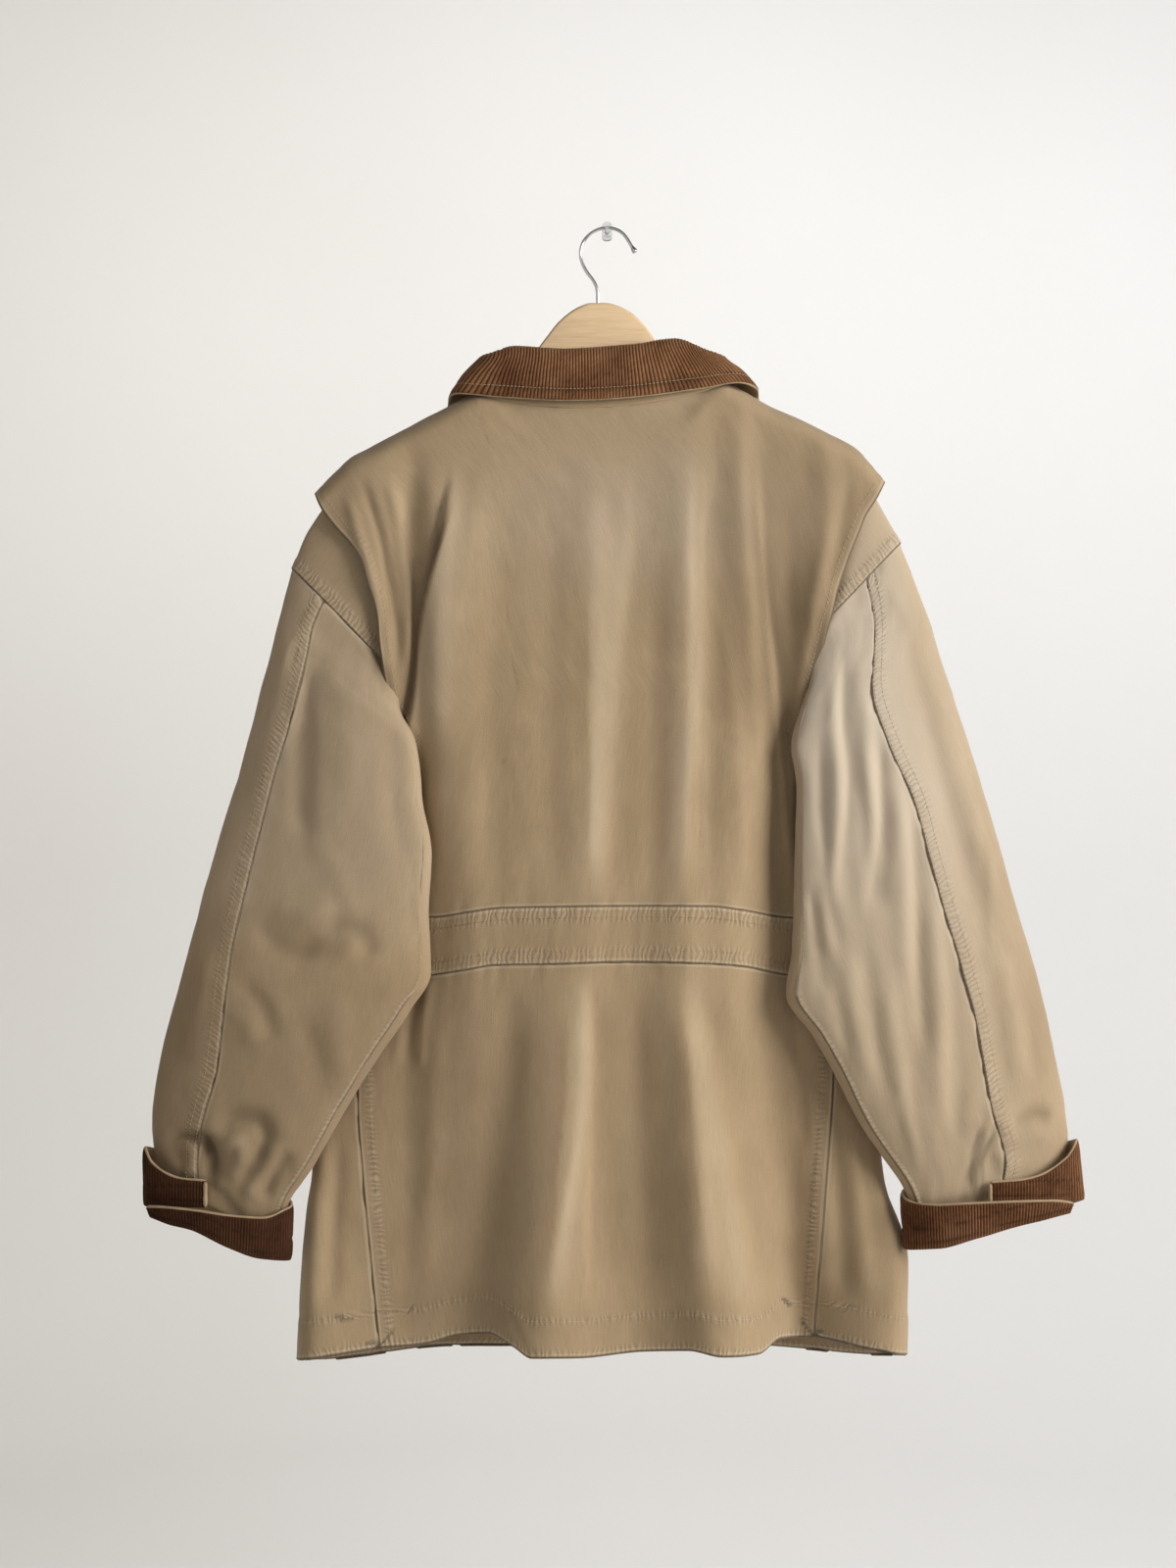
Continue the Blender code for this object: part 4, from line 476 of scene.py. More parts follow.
# Folds as the photograph shows them: the height of a crest, or of a valley below 0, its widths in mm on the
# left and right, and the x and y of its points in the photograph's pixels. A step's right side is higher.
PIXEL_X = 617.0
PIXEL_Z = 234.0
PIXEL_MM = 0.8143
SEAM_REACH = 30.0
ROW_REACH = 12.0
PUCKER_STEP = 4.3
PUCKER_REACH = 3.6
BACK_LINES = (
    ("step", 14, 6.5, 36, 462, 470, 449, 540, 437, 600, 430, 640, 424, 685, 415, 740, 411, 790),
    (3.5, 5, 5, 392, 480, 404, 520, 411, 571, 417, 630, 416, 700),
    (-4, 4, 5, 366, 480, 382, 530, 395, 587, 405, 640, 407, 690),
    (2.5, 5, 4, 352, 495, 366, 540, 379, 590, 388, 640),
    ("step", -5, 16, 7, 772, 440, 777, 520, 782, 600, 791, 680, 799, 760, 808, 860, 812, 920),
    (3, 6, 7, 848, 470, 845, 540, 832, 610, 820, 690, 815, 750), (-3, 5, 6, 868, 480, 858, 540, 843, 600),
    (3, 24, 10, 612, 440, 606, 560, 602, 700, 600, 930),
    (-2.4, 8, 18, 655, 450, 648, 560, 634, 700, 624, 930),
    (2.6, 20, 4.5, 706, 430, 702, 560, 700, 700, 697, 930),
    (-2, 5, 12, 722, 440, 722, 560, 718, 700, 714, 930),
    (1.7, 9, 4, 752, 440, 758, 520, 764, 600, 772, 700),
    (3, 10, 18, 470, 470, 458, 560, 450, 680, 452, 800, 462, 920),
    (-2.4, 14, 16, 512, 480, 506, 600, 500, 760, 500, 930),
    (-1.8, 16, 14, 560, 500, 556, 650, 560, 820, 562, 930), (-1.6, 10, 10, 668, 560, 668, 700, 664, 930),
    (1.6, 7, 7, 742, 640, 752, 760, 758, 920), (-2, 8, 8, 778, 640, 786, 760, 792, 920),
    (5, 34, 8, 590, 985, 592, 1060, 586, 1150, 571, 1240, 552, 1345),
    (-3.2, 5, 22, 603, 985, 607, 1080, 607, 1180, 604, 1345),
    (6.5, 26, 12, 688, 985, 697, 1060, 708, 1150, 718, 1250, 726, 1345),
    (-4, 15, 18, 712, 985, 734, 1060, 752, 1150, 776, 1250, 806, 1345),
    (-2.2, 12, 10, 648, 1000, 652, 1100, 658, 1240, 662, 1345),
    (-2.2, 16, 14, 536, 1000, 524, 1100, 504, 1240, 492, 1345),
    (2.4, 12, 10, 452, 1000, 446, 1080, 440, 1200, 432, 1340), (-2.2, 5, 6, 430, 990, 421, 1040, 417, 1090),
    (1.8, 5, 5, 440, 985, 434, 1040, 428, 1100), (-2, 6, 6, 806, 1000, 815, 1080, 822, 1180),
    (2.4, 9, 7, 866, 1120, 876, 1220, 888, 1340), (-2.6, 8, 8, 846, 1130, 856, 1240, 862, 1340),
    (-2.2, 7, 7, 346, 1150, 340, 1250, 338, 1340), (2.2, 9, 8, 326, 1200, 322, 1280, 318, 1350),
)
LEFT_SLEEVE_LINES = (
    (-4.5, 4, 6, 170, 1172, 184, 1160, 200, 1162, 212, 1174, 214, 1192, 206, 1212),
    (4, 4, 4, 206, 1150, 201, 1169, 196, 1188, 190, 1206),
    (-3, 6, 9, 220, 1160, 240, 1141, 262, 1145, 270, 1162, 258, 1188, 240, 1210),
    (3.6, 6, 7, 228, 1176, 244, 1164, 246, 1184, 232, 1206),
    (-3.4, 5, 7, 294, 1170, 286, 1188, 276, 1206, 268, 1228),
    (3.4, 7, 7, 282, 1160, 272, 1184, 258, 1208, 250, 1226),
    (-2.16, 8, 10, 318, 660, 309, 730, 306, 800, 308, 870),
    (1.8, 18, 14, 358, 640, 356, 720, 352, 800, 350, 880), (-1.2, 9, 9, 398, 720, 402, 800, 405, 880),
    (-2.28, 8, 14, 256, 930, 276, 958, 303, 973, 330, 974, 344, 950),
    (-1.8, 7, 9, 338, 966, 350, 945, 364, 952, 378, 985), (1.56, 11, 11, 278, 920, 310, 935, 345, 915),
    (-1.56, 6, 9, 236, 1004, 256, 1012, 270, 1036, 276, 1066), (1.2, 8, 8, 232, 1030, 250, 1040, 258, 1070),
    (-1.44, 6, 10, 222, 1158, 240, 1142, 260, 1143, 272, 1166, 270, 1200),
    (1.44, 6, 7, 226, 1180, 240, 1164, 252, 1170, 256, 1200),
    (-2.04, 4, 5, 200, 1150, 212, 1168, 220, 1190, 212, 1215),
    (1.8, 4, 4, 186, 1160, 200, 1176, 206, 1196, 198, 1216), (-1.56, 4, 5, 176, 1170, 190, 1190, 190, 1212),
    (1.32, 7, 6, 296, 620, 284, 700, 268, 780, 246, 860),
    (-1.32, 6, 7, 282, 640, 268, 720, 246, 810, 222, 900), (-1.2, 9, 9, 196, 940, 182, 1020, 172, 1100),
    (1.08, 8, 8, 212, 960, 198, 1040, 186, 1120), (-1.44, 10, 9, 300, 1040, 322, 1080, 330, 1130),
    (1.32, 10, 10, 340, 1010, 350, 1050, 345, 1100), (-1.2, 8, 7, 288, 1180, 300, 1205, 290, 1235),
)
RIGHT_SLEEVE_LINES = (
    (-2.16, 6, 7, 866, 640, 862, 720, 868, 800, 864, 880, 874, 950),
    (2.16, 7, 5, 852, 660, 850, 740, 854, 820, 850, 900, 858, 960),
    (-1.87, 5, 6, 838, 740, 838, 820, 846, 900, 858, 990),
    (1.87, 6, 6, 886, 680, 884, 760, 890, 840, 884, 920),
    (-2.02, 6, 6, 900, 740, 902, 820, 898, 890, 886, 940),
    (1.87, 6, 6, 912, 780, 922, 870, 924, 960, 934, 1050),
    (-2.02, 6, 7, 928, 820, 938, 910, 940, 1000, 948, 1090),
    (1.87, 7, 6, 946, 900, 956, 990, 958, 1080, 962, 1160),
    (-1.87, 6, 7, 964, 950, 974, 1040, 976, 1120, 978, 1190),
    (1.73, 6, 6, 904, 980, 912, 1060, 926, 1140, 942, 1200), (-1.73, 6, 6, 884, 960, 894, 1050, 908, 1130),
    (1.58, 7, 7, 866, 960, 874, 1040, 888, 1110), (-1.44, 6, 7, 846, 960, 854, 1020, 868, 1080),
    (-1.73, 6, 6, 826, 900, 834, 960, 842, 1020),
    (2.02, 8, 6, 940, 600, 962, 680, 984, 770, 1004, 860, 1022, 940),
    (-2.02, 8, 8, 916, 620, 940, 700, 962, 790, 984, 880, 1004, 960),
    (-1.73, 6, 8, 962, 650, 990, 740, 1014, 840, 1036, 940),
    (1.58, 7, 7, 1020, 960, 1034, 1040, 1044, 1110), (-1.73, 6, 7, 1006, 980, 1018, 1060, 1026, 1130),
    (-2.16, 8, 8, 1028, 1150, 1052, 1134, 1076, 1140), (1.73, 7, 7, 1030, 1172, 1056, 1158, 1080, 1160),
    ("step", 3.6, 5, 12, 1013, 1120, 1006, 1150, 997, 1172, 994, 1200, 998, 1228),
    (-1.87, 4, 5, 1010, 1176, 1020, 1196, 1034, 1200),
)
# The twill's colour for painted highlights and worn crests.
TWILL_PALE = (0.67, 0.57, 0.43)
# The twill's colour for painted light and fade.
TWILL_FADED_AND_LIT = (0.60, 0.51, 0.40)
# Heights over which the sleeve's back comes out from under the cap.
CAP_FADE_LEFT = (-396.0, -336.0)
CAP_FADE_RIGHT = (-356.0, -304.0)

# Where a fold or an overlap keeps the light out, and where the light falls on a fold's lit side: painted shade
# below 0 and painted highlight above 0, not forms.
BACK_SHADES = (
    (-0.17, 30, 30, 815, 960, 832, 1100, 846, 1240, 860, 1400),
    (-0.12, 30, 40, 470, 960, 450, 1080, 430, 1200, 410, 1380), (0.2, 60, 50, 500, 372, 617, 366, 740, 372),
    (-0.34, 26, 26, 858, 430, 856, 520, 838, 600, 822, 680),
    (-0.32, 30, 28, 792, 400, 794, 520, 786, 640, 782, 780),
    (-0.24, 26, 26, 884, 1040, 890, 1160, 896, 1280, 902, 1400),
    (-0.16, 24, 18, 330, 1345, 460, 1335, 620, 1352, 800, 1338, 930, 1345),
    (-0.1, 22, 26, 638, 980, 644, 1100, 648, 1200, 652, 1345),
    (0.27, 3, 14, 588, 960, 590, 1080, 584, 1180, 572, 1270, 556, 1380),
    (0.27, 8, 16, 700, 960, 716, 1060, 730, 1150, 746, 1250, 760, 1380),
    (0.34, 12, 15, 634, 500, 624, 640, 618, 740, 603, 850, 596, 950),
    (0.34, 12, 6, 698, 420, 708, 560, 710, 680, 702, 780, 695, 860, 688, 950),
    (0.25, 12, 16, 462, 470, 452, 560, 442, 660, 440, 760),
    (-1.3, 6.5, 1.6, 466, 500, 452, 550, 441, 590, 434, 640, 426, 690, 417, 735, 411, 775),
    (-0.7, 3.5, 3, 384, 655, 398, 700, 410, 740, 428, 790, 434, 850),
    (-0.55, 4, 9, 776, 520, 786, 610, 797, 690, 806, 770, 811, 850, 813, 930),
    (-0.9, 4, 4, 852, 600, 838, 655, 822, 720, 816, 800, 813, 900),
    (-0.25, 7, 1.5, 770, 470, 774, 560, 781, 650, 790, 760, 798, 880),
    (-0.2, 9, 2, 598, 600, 599, 760, 602, 935), (-0.3, 8, 1.5, 578, 1010, 576, 1110, 568, 1200, 556, 1310),
    (-0.28, 9, 1.5, 690, 1000, 700, 1070, 708, 1160, 718, 1290),
    (0.22, 2, 9, 604, 470, 603, 620, 604, 780, 604, 935), (0.2, 6, 2, 722, 600, 722, 760, 722, 925),
    (-0.35, 3, 3, 408, 990, 406, 1040, 398, 1090), (-0.35, 2, 4, 423, 960, 432, 985, 430, 1040),
    (-0.22, 3, 3, 838, 612, 834, 660, 833, 706), (-0.4, 1, 1, 509, 776, 515, 777, 522, 780),
)
LEFT_SLEEVE_SHADES = (
    (-0.5, 4.5, 6, 172, 1170, 186, 1161, 200, 1160, 213, 1172, 217, 1188, 210, 1206),
    (-0.22, 6, 9, 222, 1158, 240, 1141, 262, 1144, 273, 1158, 264, 1180, 244, 1206),
    (-0.2, 6, 7, 292, 1176, 286, 1188, 276, 1206, 268, 1226),
    (-0.7, 4, 5, 150, 1150, 164, 1180, 180, 1197, 206, 1206, 228, 1216, 250, 1240, 300, 1248),
    (-0.8, 7, 5, 202, 1150, 209, 1160, 214, 1170, 218, 1180),
    (-1, 5, 5, 318, 498, 342, 540, 360, 562, 374, 600, 380, 640, 386, 680, 400, 716),
    (-0.3, 16, 3, 330, 520, 326, 560, 322, 600), (-0.25, 7, 3, 310, 730, 306, 790, 308, 850),
    (-0.3, 9, 9, 262, 935, 284, 965, 312, 975, 334, 960, 348, 944, 366, 966),
    (-0.35, 4, 3, 196, 1150, 210, 1166, 220, 1186, 214, 1210),
    (-0.2, 14, 6, 230, 900, 206, 1000, 188, 1100),
    (0.25, 3, 5, 322, 624, 306, 700, 284, 790, 258, 890, 238, 980),
    (-0.5, 0.8, 0.8, 232, 1022, 230, 1034, 229, 1050),
)
RIGHT_SLEEVE_SHADES = (
    (-0.6, 4, 5, 920, 1240, 960, 1228, 1000, 1222, 1030, 1212, 1070, 1200, 1096, 1180),
    (-0.5, 5, 6, 1022, 1206, 1012, 1186, 1014, 1160, 1022, 1140),
    (-0.42, 30, 30, 1000, 540, 1024, 720, 1052, 860, 1078, 1000, 1090, 1160),
    (-1, 3, 5, 902, 492, 888, 520, 874, 546, 864, 576, 856, 606, 844, 640),
    (-0.45, 1.6, 5, 898, 505, 897, 550, 896, 600), (-0.25, 3, 4, 866, 640, 862, 720, 868, 800, 864, 880),
    (-0.22, 3, 4, 902, 740, 902, 820, 896, 890, 886, 940),
    (-0.22, 3, 4, 930, 830, 938, 910, 942, 1000, 948, 1090),
    (-0.25, 4, 4, 1004, 840, 1006, 920, 1008, 1000), (-0.35, 6, 5, 1036, 1148, 1054, 1136, 1076, 1140),
    (0.3, 2, 2.5, 1012, 1146, 1000, 1168, 995, 1184, 998, 1226),
    (-0.5, 2, 2, 1017, 1150, 1005, 1172, 1000, 1190, 1003, 1224),
)
# Folds of the wall side of the fronts and sleeves: height, left and right widths, and points in the
# photograph's pixels, as for the back.
FRONT_LINES = (
    (2.6, 12, 9, 470, 420, 486, 620, 500, 820, 505, 1100),
    (-2.6, 9, 12, 498, 460, 516, 700, 528, 900, 532, 1180),
    (2.2, 10, 8, 430, 760, 440, 900, 436, 1080, 428, 1300),
    (-2.2, 8, 8, 402, 800, 408, 980, 402, 1160, 396, 1320),
    (2.8, 12, 10, 560, 900, 566, 1060, 560, 1220, 552, 1345),
    (-2.4, 9, 12, 536, 940, 540, 1080, 534, 1240, 524, 1345),
    (2.8, 9, 12, 770, 430, 752, 620, 740, 820, 736, 1100),
    (-2.6, 12, 9, 742, 470, 722, 700, 712, 900, 706, 1160),
    (2.4, 8, 10, 806, 780, 800, 940, 806, 1120, 816, 1310),
    (-2.4, 8, 8, 832, 820, 830, 1000, 838, 1160, 846, 1320),
    (2.6, 10, 12, 680, 920, 676, 1080, 682, 1240, 690, 1345), (-2.2, 10, 10, 664, 500, 668, 640, 672, 800),
    (2.4, 8, 14, 560, 470, 548, 560, 528, 660), (2.4, 9, 9, 300, 700, 276, 840, 252, 980, 232, 1120),
    (-2.6, 8, 9, 336, 760, 318, 880, 290, 1000, 262, 1130), (2.2, 8, 9, 372, 820, 362, 920, 336, 1040),
    (2.6, 9, 9, 930, 690, 958, 830, 984, 980, 1006, 1120),
    (-2.6, 9, 8, 896, 740, 920, 870, 946, 1000, 976, 1140), (2.2, 9, 8, 864, 820, 878, 920, 906, 1040),
)


def smoothstep(low, high, value):
    """0 below low, 1 above high, and an even rise between."""
    share = np.clip((np.asarray(value, float) - low) / (high - low), 0.0, 1.0)
    return share * share * (3.0 - 2.0 * share)


def along(points, shares):
    """Points at the given shares of a smooth curve's length through a table's points."""
    points = np.asarray(points, float)
    steps = np.linalg.norm(np.diff(points, axis=0), axis=1)
    place = np.concatenate([[0.0], np.cumsum(steps)]) / steps.sum()
    return through(place, points, shares)


def through(place, values, wanted):
    """Values between a table's rows on a smooth curve that doesn't overshoot them."""
    place = np.asarray(place, float)
    values = np.asarray(values, float)
    wanted = np.clip(np.asarray(wanted, float), place[0], place[-1])
    single = values.ndim == 1
    if single:
        values = values[:, None]
    slope = np.diff(values, axis=0) / np.diff(place)[:, None]
    tangent = np.empty_like(values)
    tangent[0] = slope[0]
    tangent[-1] = slope[-1]
    before = slope[:-1]
    after = slope[1:]
    mean = 0.5 * (before + after)
    limit = 2.2 * np.minimum(np.abs(before), np.abs(after))
    tangent[1:-1] = np.where(before * after > 0, np.sign(mean) * np.minimum(np.abs(mean), limit), 0.0)
    cell = np.clip(np.searchsorted(place, wanted, side="right") - 1, 0, len(place) - 2)
    width = (place[cell + 1] - place[cell])[..., None]
    part = ((wanted - place[cell])[..., None]) / width
    square = part * part
    cube = square * part
    result = (
        (2 * cube - 3 * square + 1) * values[cell]
        + (cube - 2 * square + part) * width * tangent[cell]
        + (-2 * cube + 3 * square) * values[cell + 1]
        + (cube - square) * width * tangent[cell + 1]
    )
    return result[..., 0] if single else result


def travelled(points):
    """How far along a line each of its points is."""
    return np.concatenate([[0.0], np.cumsum(np.linalg.norm(np.diff(points, axis=0), axis=1))])


def resample(points, shares):
    """Points at the given shares of a polyline's length."""
    points = np.asarray(points, float)
    steps = np.linalg.norm(np.diff(points, axis=0), axis=1)
    place = np.concatenate([[0.0], np.cumsum(steps)]) / steps.sum()
    return np.stack([np.interp(shares, place, points[:, k]) for k in range(points.shape[1])], axis=1)


def fold_heights(folds, x, z):
    """How far the folds of a table lift the cloth at x, z."""
    lift = np.zeros(np.broadcast(x, z).shape)
    for x_top, z_top, x_foot, z_foot, high_top, high_foot, left, right in folds:
        down = (z_top - z) / (z_top - z_foot)
        held = np.clip(down, 0.0, 1.0)
        off = x - (x_top + (x_foot - x_top) * held)
        wide = np.where(off < 0.0, left, right)
        beyond = (down - held) * (z_top - z_foot)
        fade = np.exp(-((beyond / FOLD_FADE) ** 2))
        lift += (high_top + (high_foot - high_top) * held) * fade * np.exp(-((off / wide) ** 2))
    return lift


def back_y(x, z):
    """The depth of the back cloth's middle, away from the shoulder and neck edges."""
    rows = np.asarray(BACK_SECTIONS)[::-1]
    middle, flank, side = (through(rows[:, 0], rows[:, k], z) for k in (1, 2, 3))
    off = np.abs(x - CENTRE_X)
    depth = middle + (flank - middle) * smoothstep(MIDDLE_HALF, FLANK_HALF, off)
    depth = depth + (side - flank) * smoothstep(FLANK_HALF, SIDE_HALF, off)
    return -(depth + fold_heights(BACK_FOLDS, x, z))


def front_y(x, z):
    """The depth of the front cloth's middle, away from the shoulder and neck edges."""
    rows = np.asarray(FRONT_SECTIONS)[::-1]
    return -(through(rows[:, 0], rows[:, 1], z) + fold_heights(FRONT_FOLDS, x, z))


def true_place(points):
    """Move measured points to where they lie at their own depth, with the wall hook at the origin."""
    placed = np.array(points, float)
    size = 1.0 + (placed[..., 1] - PLANE_Y) / SEEN_FROM
    placed[..., 0] = PLANE_MIDDLE[0] + (placed[..., 0] - PLANE_MIDDLE[0]) * size - ORIGIN_SHIFT[0]
    placed[..., 2] = PLANE_MIDDLE[1] + (placed[..., 2] - PLANE_MIDDLE[1]) * size - ORIGIN_SHIFT[1]
    return placed


def edge_roll(distance, reach):
    """1 at a rolled edge and 0 past its reach, as a quarter circle."""
    left = np.clip(1.0 - distance / reach, 0.0, 1.0)
    return 1.0 - np.sqrt(np.clip(1.0 - left * left, 0.0, 1.0))


def neck_ease(distance, reach):
    """1 at the neck seam and 0 past its reach, as an even slope."""
    share = np.clip(distance / reach, 0.0, 1.0)
    return 1.0 - share * share * (3.0 - 2.0 * share)


def neck_points(first, last, count):
    """Points of the neck seam between two rows of the collar's table."""
    rows = np.asarray(COLLAR_SECTIONS)[:, :3]
    places = np.linspace(first, last, count)
    return through(np.arange(len(rows)), rows, places)


def shoulder_points(shoulder, neck, shares):
    """Points of a shoulder seam from the cap's tip towards the neck."""
    line = [(x, RIDGE_Y, z) for x, z in reversed(shoulder)] + [tuple(neck)]
    return along(np.array(line), np.asarray(shares))


def roll_reach(edge):
    """How far the roll of an upper edge reaches down the cloth."""
    outward = smoothstep(NECK_ROLL_X, SHOULDER_ROLL_X, np.abs(edge[:, 0]))
    return NECK_ROLL + (SHOULDER_ROLL - NECK_ROLL) * outward


def rolled(field, flat, edge, start):
    """The depth of cloth that hangs from an edge and rolls over to its field."""
    reach = roll_reach(edge)
    away = np.linalg.norm(flat - edge[None][:, :, [0, 2]], axis=-1)
    steep = smoothstep(NECK_SLOPE_X, SHOULDER_ROLL_X, np.abs(edge[:, 0]))[None]
    share = steep * edge_roll(away, reach[None]) + (1.0 - steep) * neck_ease(away, reach[None])
    return field + start[None] * share


def coons(top, foot, left, right, rows, columns):
    """A patch whose four edges are given; rows and columns are shares."""
    v = np.asarray(rows)[:, None, None]
    u = np.asarray(columns)[None, :, None]
    ruled = (1 - v) * top[None] + v * foot[None] + (1 - u) * left[:, None] + u * right[:, None]
    corners = (
        (1 - u) * (1 - v) * top[0]
        + u * (1 - v) * top[-1]
        + (1 - u) * v * foot[0]
        + u * v * foot[-1]
    )
    return ruled - corners


def seam_points(side, column):
    """The side table's seam (column 0) or side line (column 2) as x, z rows."""
    return np.asarray(side)[:, column : column + 2]


def level_line(shares, left, right, table, column):
    """A line across the back between two seam points, its height from a table."""
    rows = np.asarray(table)
    x = left[0] + (right[0] - left[0]) * shares
    z = through(rows[:, 0], rows[:, column], shares)
    return np.stack([x, back_y(x, z), z], axis=1)


def under_shift(x, under):
    """How far the lapped-under front lies behind the other near the centre."""
    start, end = OVERLAP + UNDER_FADE[0], OVERLAP + UNDER_FADE[1]
    return under * (1.0 - smoothstep(start, end, np.abs(x - CENTRE_X)))


def side_row(seam, side, centre_x, front_z, turn, under):
    """One level of a front panel: from the back seam round the side to the centre front."""
    way = math.copysign(1.0, side[0])
    turn = min(turn, SIDE_TURN_SHARE * (abs(side[0]) - abs(seam[0])))
    seam_y = float(back_y(seam[0], seam[1]))
    front = float(front_y(side[0], side[1]))
    run = np.linspace(0.0, 1.0, RUN_POINTS)[:-1]
    reach_back = max(abs(side[0]) - turn - abs(seam[0]), 0.0)
    x = seam[0] + way * reach_back * run
    z = seam[1] + (side[1] - seam[1]) * run * min(1.0, reach_back / SIDE_RUN)
    back_run = np.stack([x, back_y(x, z), z], axis=1)
    has_run = reach_back > 0.5 * CLOTH
    turn_start = back_run[-1] if has_run else np.array([seam[0], seam_y, seam[1]])
    angles = np.radians(np.linspace(90.0, -90.0, TURN_POINTS))
    middle = 0.5 * (turn_start[1] + front)
    half = 0.5 * (turn_start[1] - front)
    wide = abs(side[0]) - abs(turn_start[0])
    arc = np.stack(
        [
            turn_start[0] + way * wide * np.cos(angles),
            middle + half * np.sin(angles),
            turn_start[2] + (side[1] - turn_start[2]) * np.cos(angles) ** 0.5,
        ],
        axis=1,
    )
    arc[:, 2] = np.where(angles < 0.0, side[1], arc[:, 2])
    share = np.linspace(0.0, 1.0, FLAT_POINTS)[1:]
    x = arc[-1, 0] + (centre_x - arc[-1, 0]) * share
    z = side[1] + (front_z - side[1]) * smoothstep(0.0, CENTRE_DROP_SHARE, share)
    flat = np.stack([x, front_y(x, z), z], axis=1)
    flat[:, 1] -= under_shift(x, under)
    before = back_run[:-1] if has_run else back_run[:0]
    points = np.concatenate([before, arc, flat])
    return resample(points, dense(FRONT_COUNT))


def ring_table(table, places):
    """Rows of a sleeve table at places between its rows."""
    rows = np.asarray(table)
    return through(np.arange(len(rows)), rows, places)


def sleeve_grid(table, places, angles_of):
    """Rings of a sleeve: for each place of its table, points at the angles that its seam's share gives."""
    grid = []
    for row in ring_table(table, places):
        x_out, z_out, x_in, z_in, y_out, y_in, back, front, seam, bow = row
        half = 0.5 * np.array([x_out - x_in, z_out - z_in])
        middle = 0.5 * np.array([x_out + x_in, z_out + z_in])
        length = np.linalg.norm(half)
        angles = angles_of(seam)
        up = np.array([-half[1], half[0]]) / length
        up = up * math.copysign(1.0, up[1])
        across = np.cos(angles)
        lift = np.sin(angles)
        spot = middle + half * across[:, None] + up * bow * (lift**2)[:, None]
        y = -0.5 * (y_out + y_in) - 0.5 * (y_out - y_in) * across
        y = y - np.where(lift > 0.0, back, front) * np.sign(lift) * np.abs(lift) ** EDGE_FULLNESS
        x, z = spot[:, 0], spot[:, 1]
        foot, full = CAP_FADE_LEFT if middle[0] < 0.0 else CAP_FADE_RIGHT
        hold = smoothstep(foot, full, z)
        under_cap = back_y(x, z) + FLANGE_CLEAR
        y = np.where(lift > 0.0, y + hold * np.maximum(under_cap - y, 0.0), y)
        before_wall = front_y(x, z) - FLANGE_CLEAR
        hold = smoothstep(UNDER_CAP_FOOT_Z, UNDER_CAP_FULL_Z, z)
        y = np.where(lift < 0.0, y + hold * np.minimum(before_wall - y, 0.0), y)
        grid.append(np.stack([x, y, z], axis=1))
    return np.stack(grid)


def share_angle(share):
    """The angle round a ring whose point is at a share of the width from the outer edge."""
    return math.acos(1.0 - 2.0 * share)


def unit(vectors):
    """Vectors at length 1."""
    return vectors / np.maximum(np.linalg.norm(vectors, axis=-1, keepdims=True), 1e-9)


def lattice_noise(u, v, seed):
    """Smooth noise from -1 to 1 over a plane of unit cells."""
    table = np.random.RandomState(seed).rand(64, 64) * 2.0 - 1.0
    u = np.asarray(u, float)
    v = np.asarray(v, float)
    cell_u = np.floor(u).astype(int)
    cell_v = np.floor(v).astype(int)
    part_u = u - cell_u
    part_v = v - cell_v
    part_u = part_u * part_u * (3.0 - 2.0 * part_u)
    part_v = part_v * part_v * (3.0 - 2.0 * part_v)
    corner = [[table[(cell_u + i) % 64, (cell_v + j) % 64] for j in (0, 1)] for i in (0, 1)]
    near = corner[0][0] * (1.0 - part_v) + corner[0][1] * part_v
    far = corner[1][0] * (1.0 - part_v) + corner[1][1] * part_v
    return near * (1.0 - part_u) + far * part_u


def crease_heights(creases, x, z, seed):
    """How far a table's creases lift the cloth at x, z. Each wanders a little and fades at its ends."""
    lift = np.zeros(np.broadcast(x, z).shape)
    for number, (x0, z0, x1, z1, bow, height, left, right) in enumerate(creases):
        length = math.hypot(x1 - x0, z1 - z0)
        ahead = ((x1 - x0) / length, (z1 - z0) / length)
        share = ((x - x0) * ahead[0] + (z - z0) * ahead[1]) / length
        beside = (x - x0) * ahead[1] - (z - z0) * ahead[0]
        held = np.clip(share, 0.0, 1.0)
        wander = CREASE_WANDER * lattice_noise(share * length / 55.0, number * 3.7, seed)
        off = -beside - bow * 4.0 * held * (1.0 - held) - wander
        wide = np.where(off < 0.0, left, right)
        fade = smoothstep(-0.08, 0.3, share) * (1.0 - smoothstep(0.7, 1.08, share))
        uneven = 1.0 + 0.35 * lattice_noise(share * length / 70.0, number * 5.1 + 9.0, seed + 1)
        lift += height * fade * uneven * np.exp(-((off / wide) ** 2))
    return lift


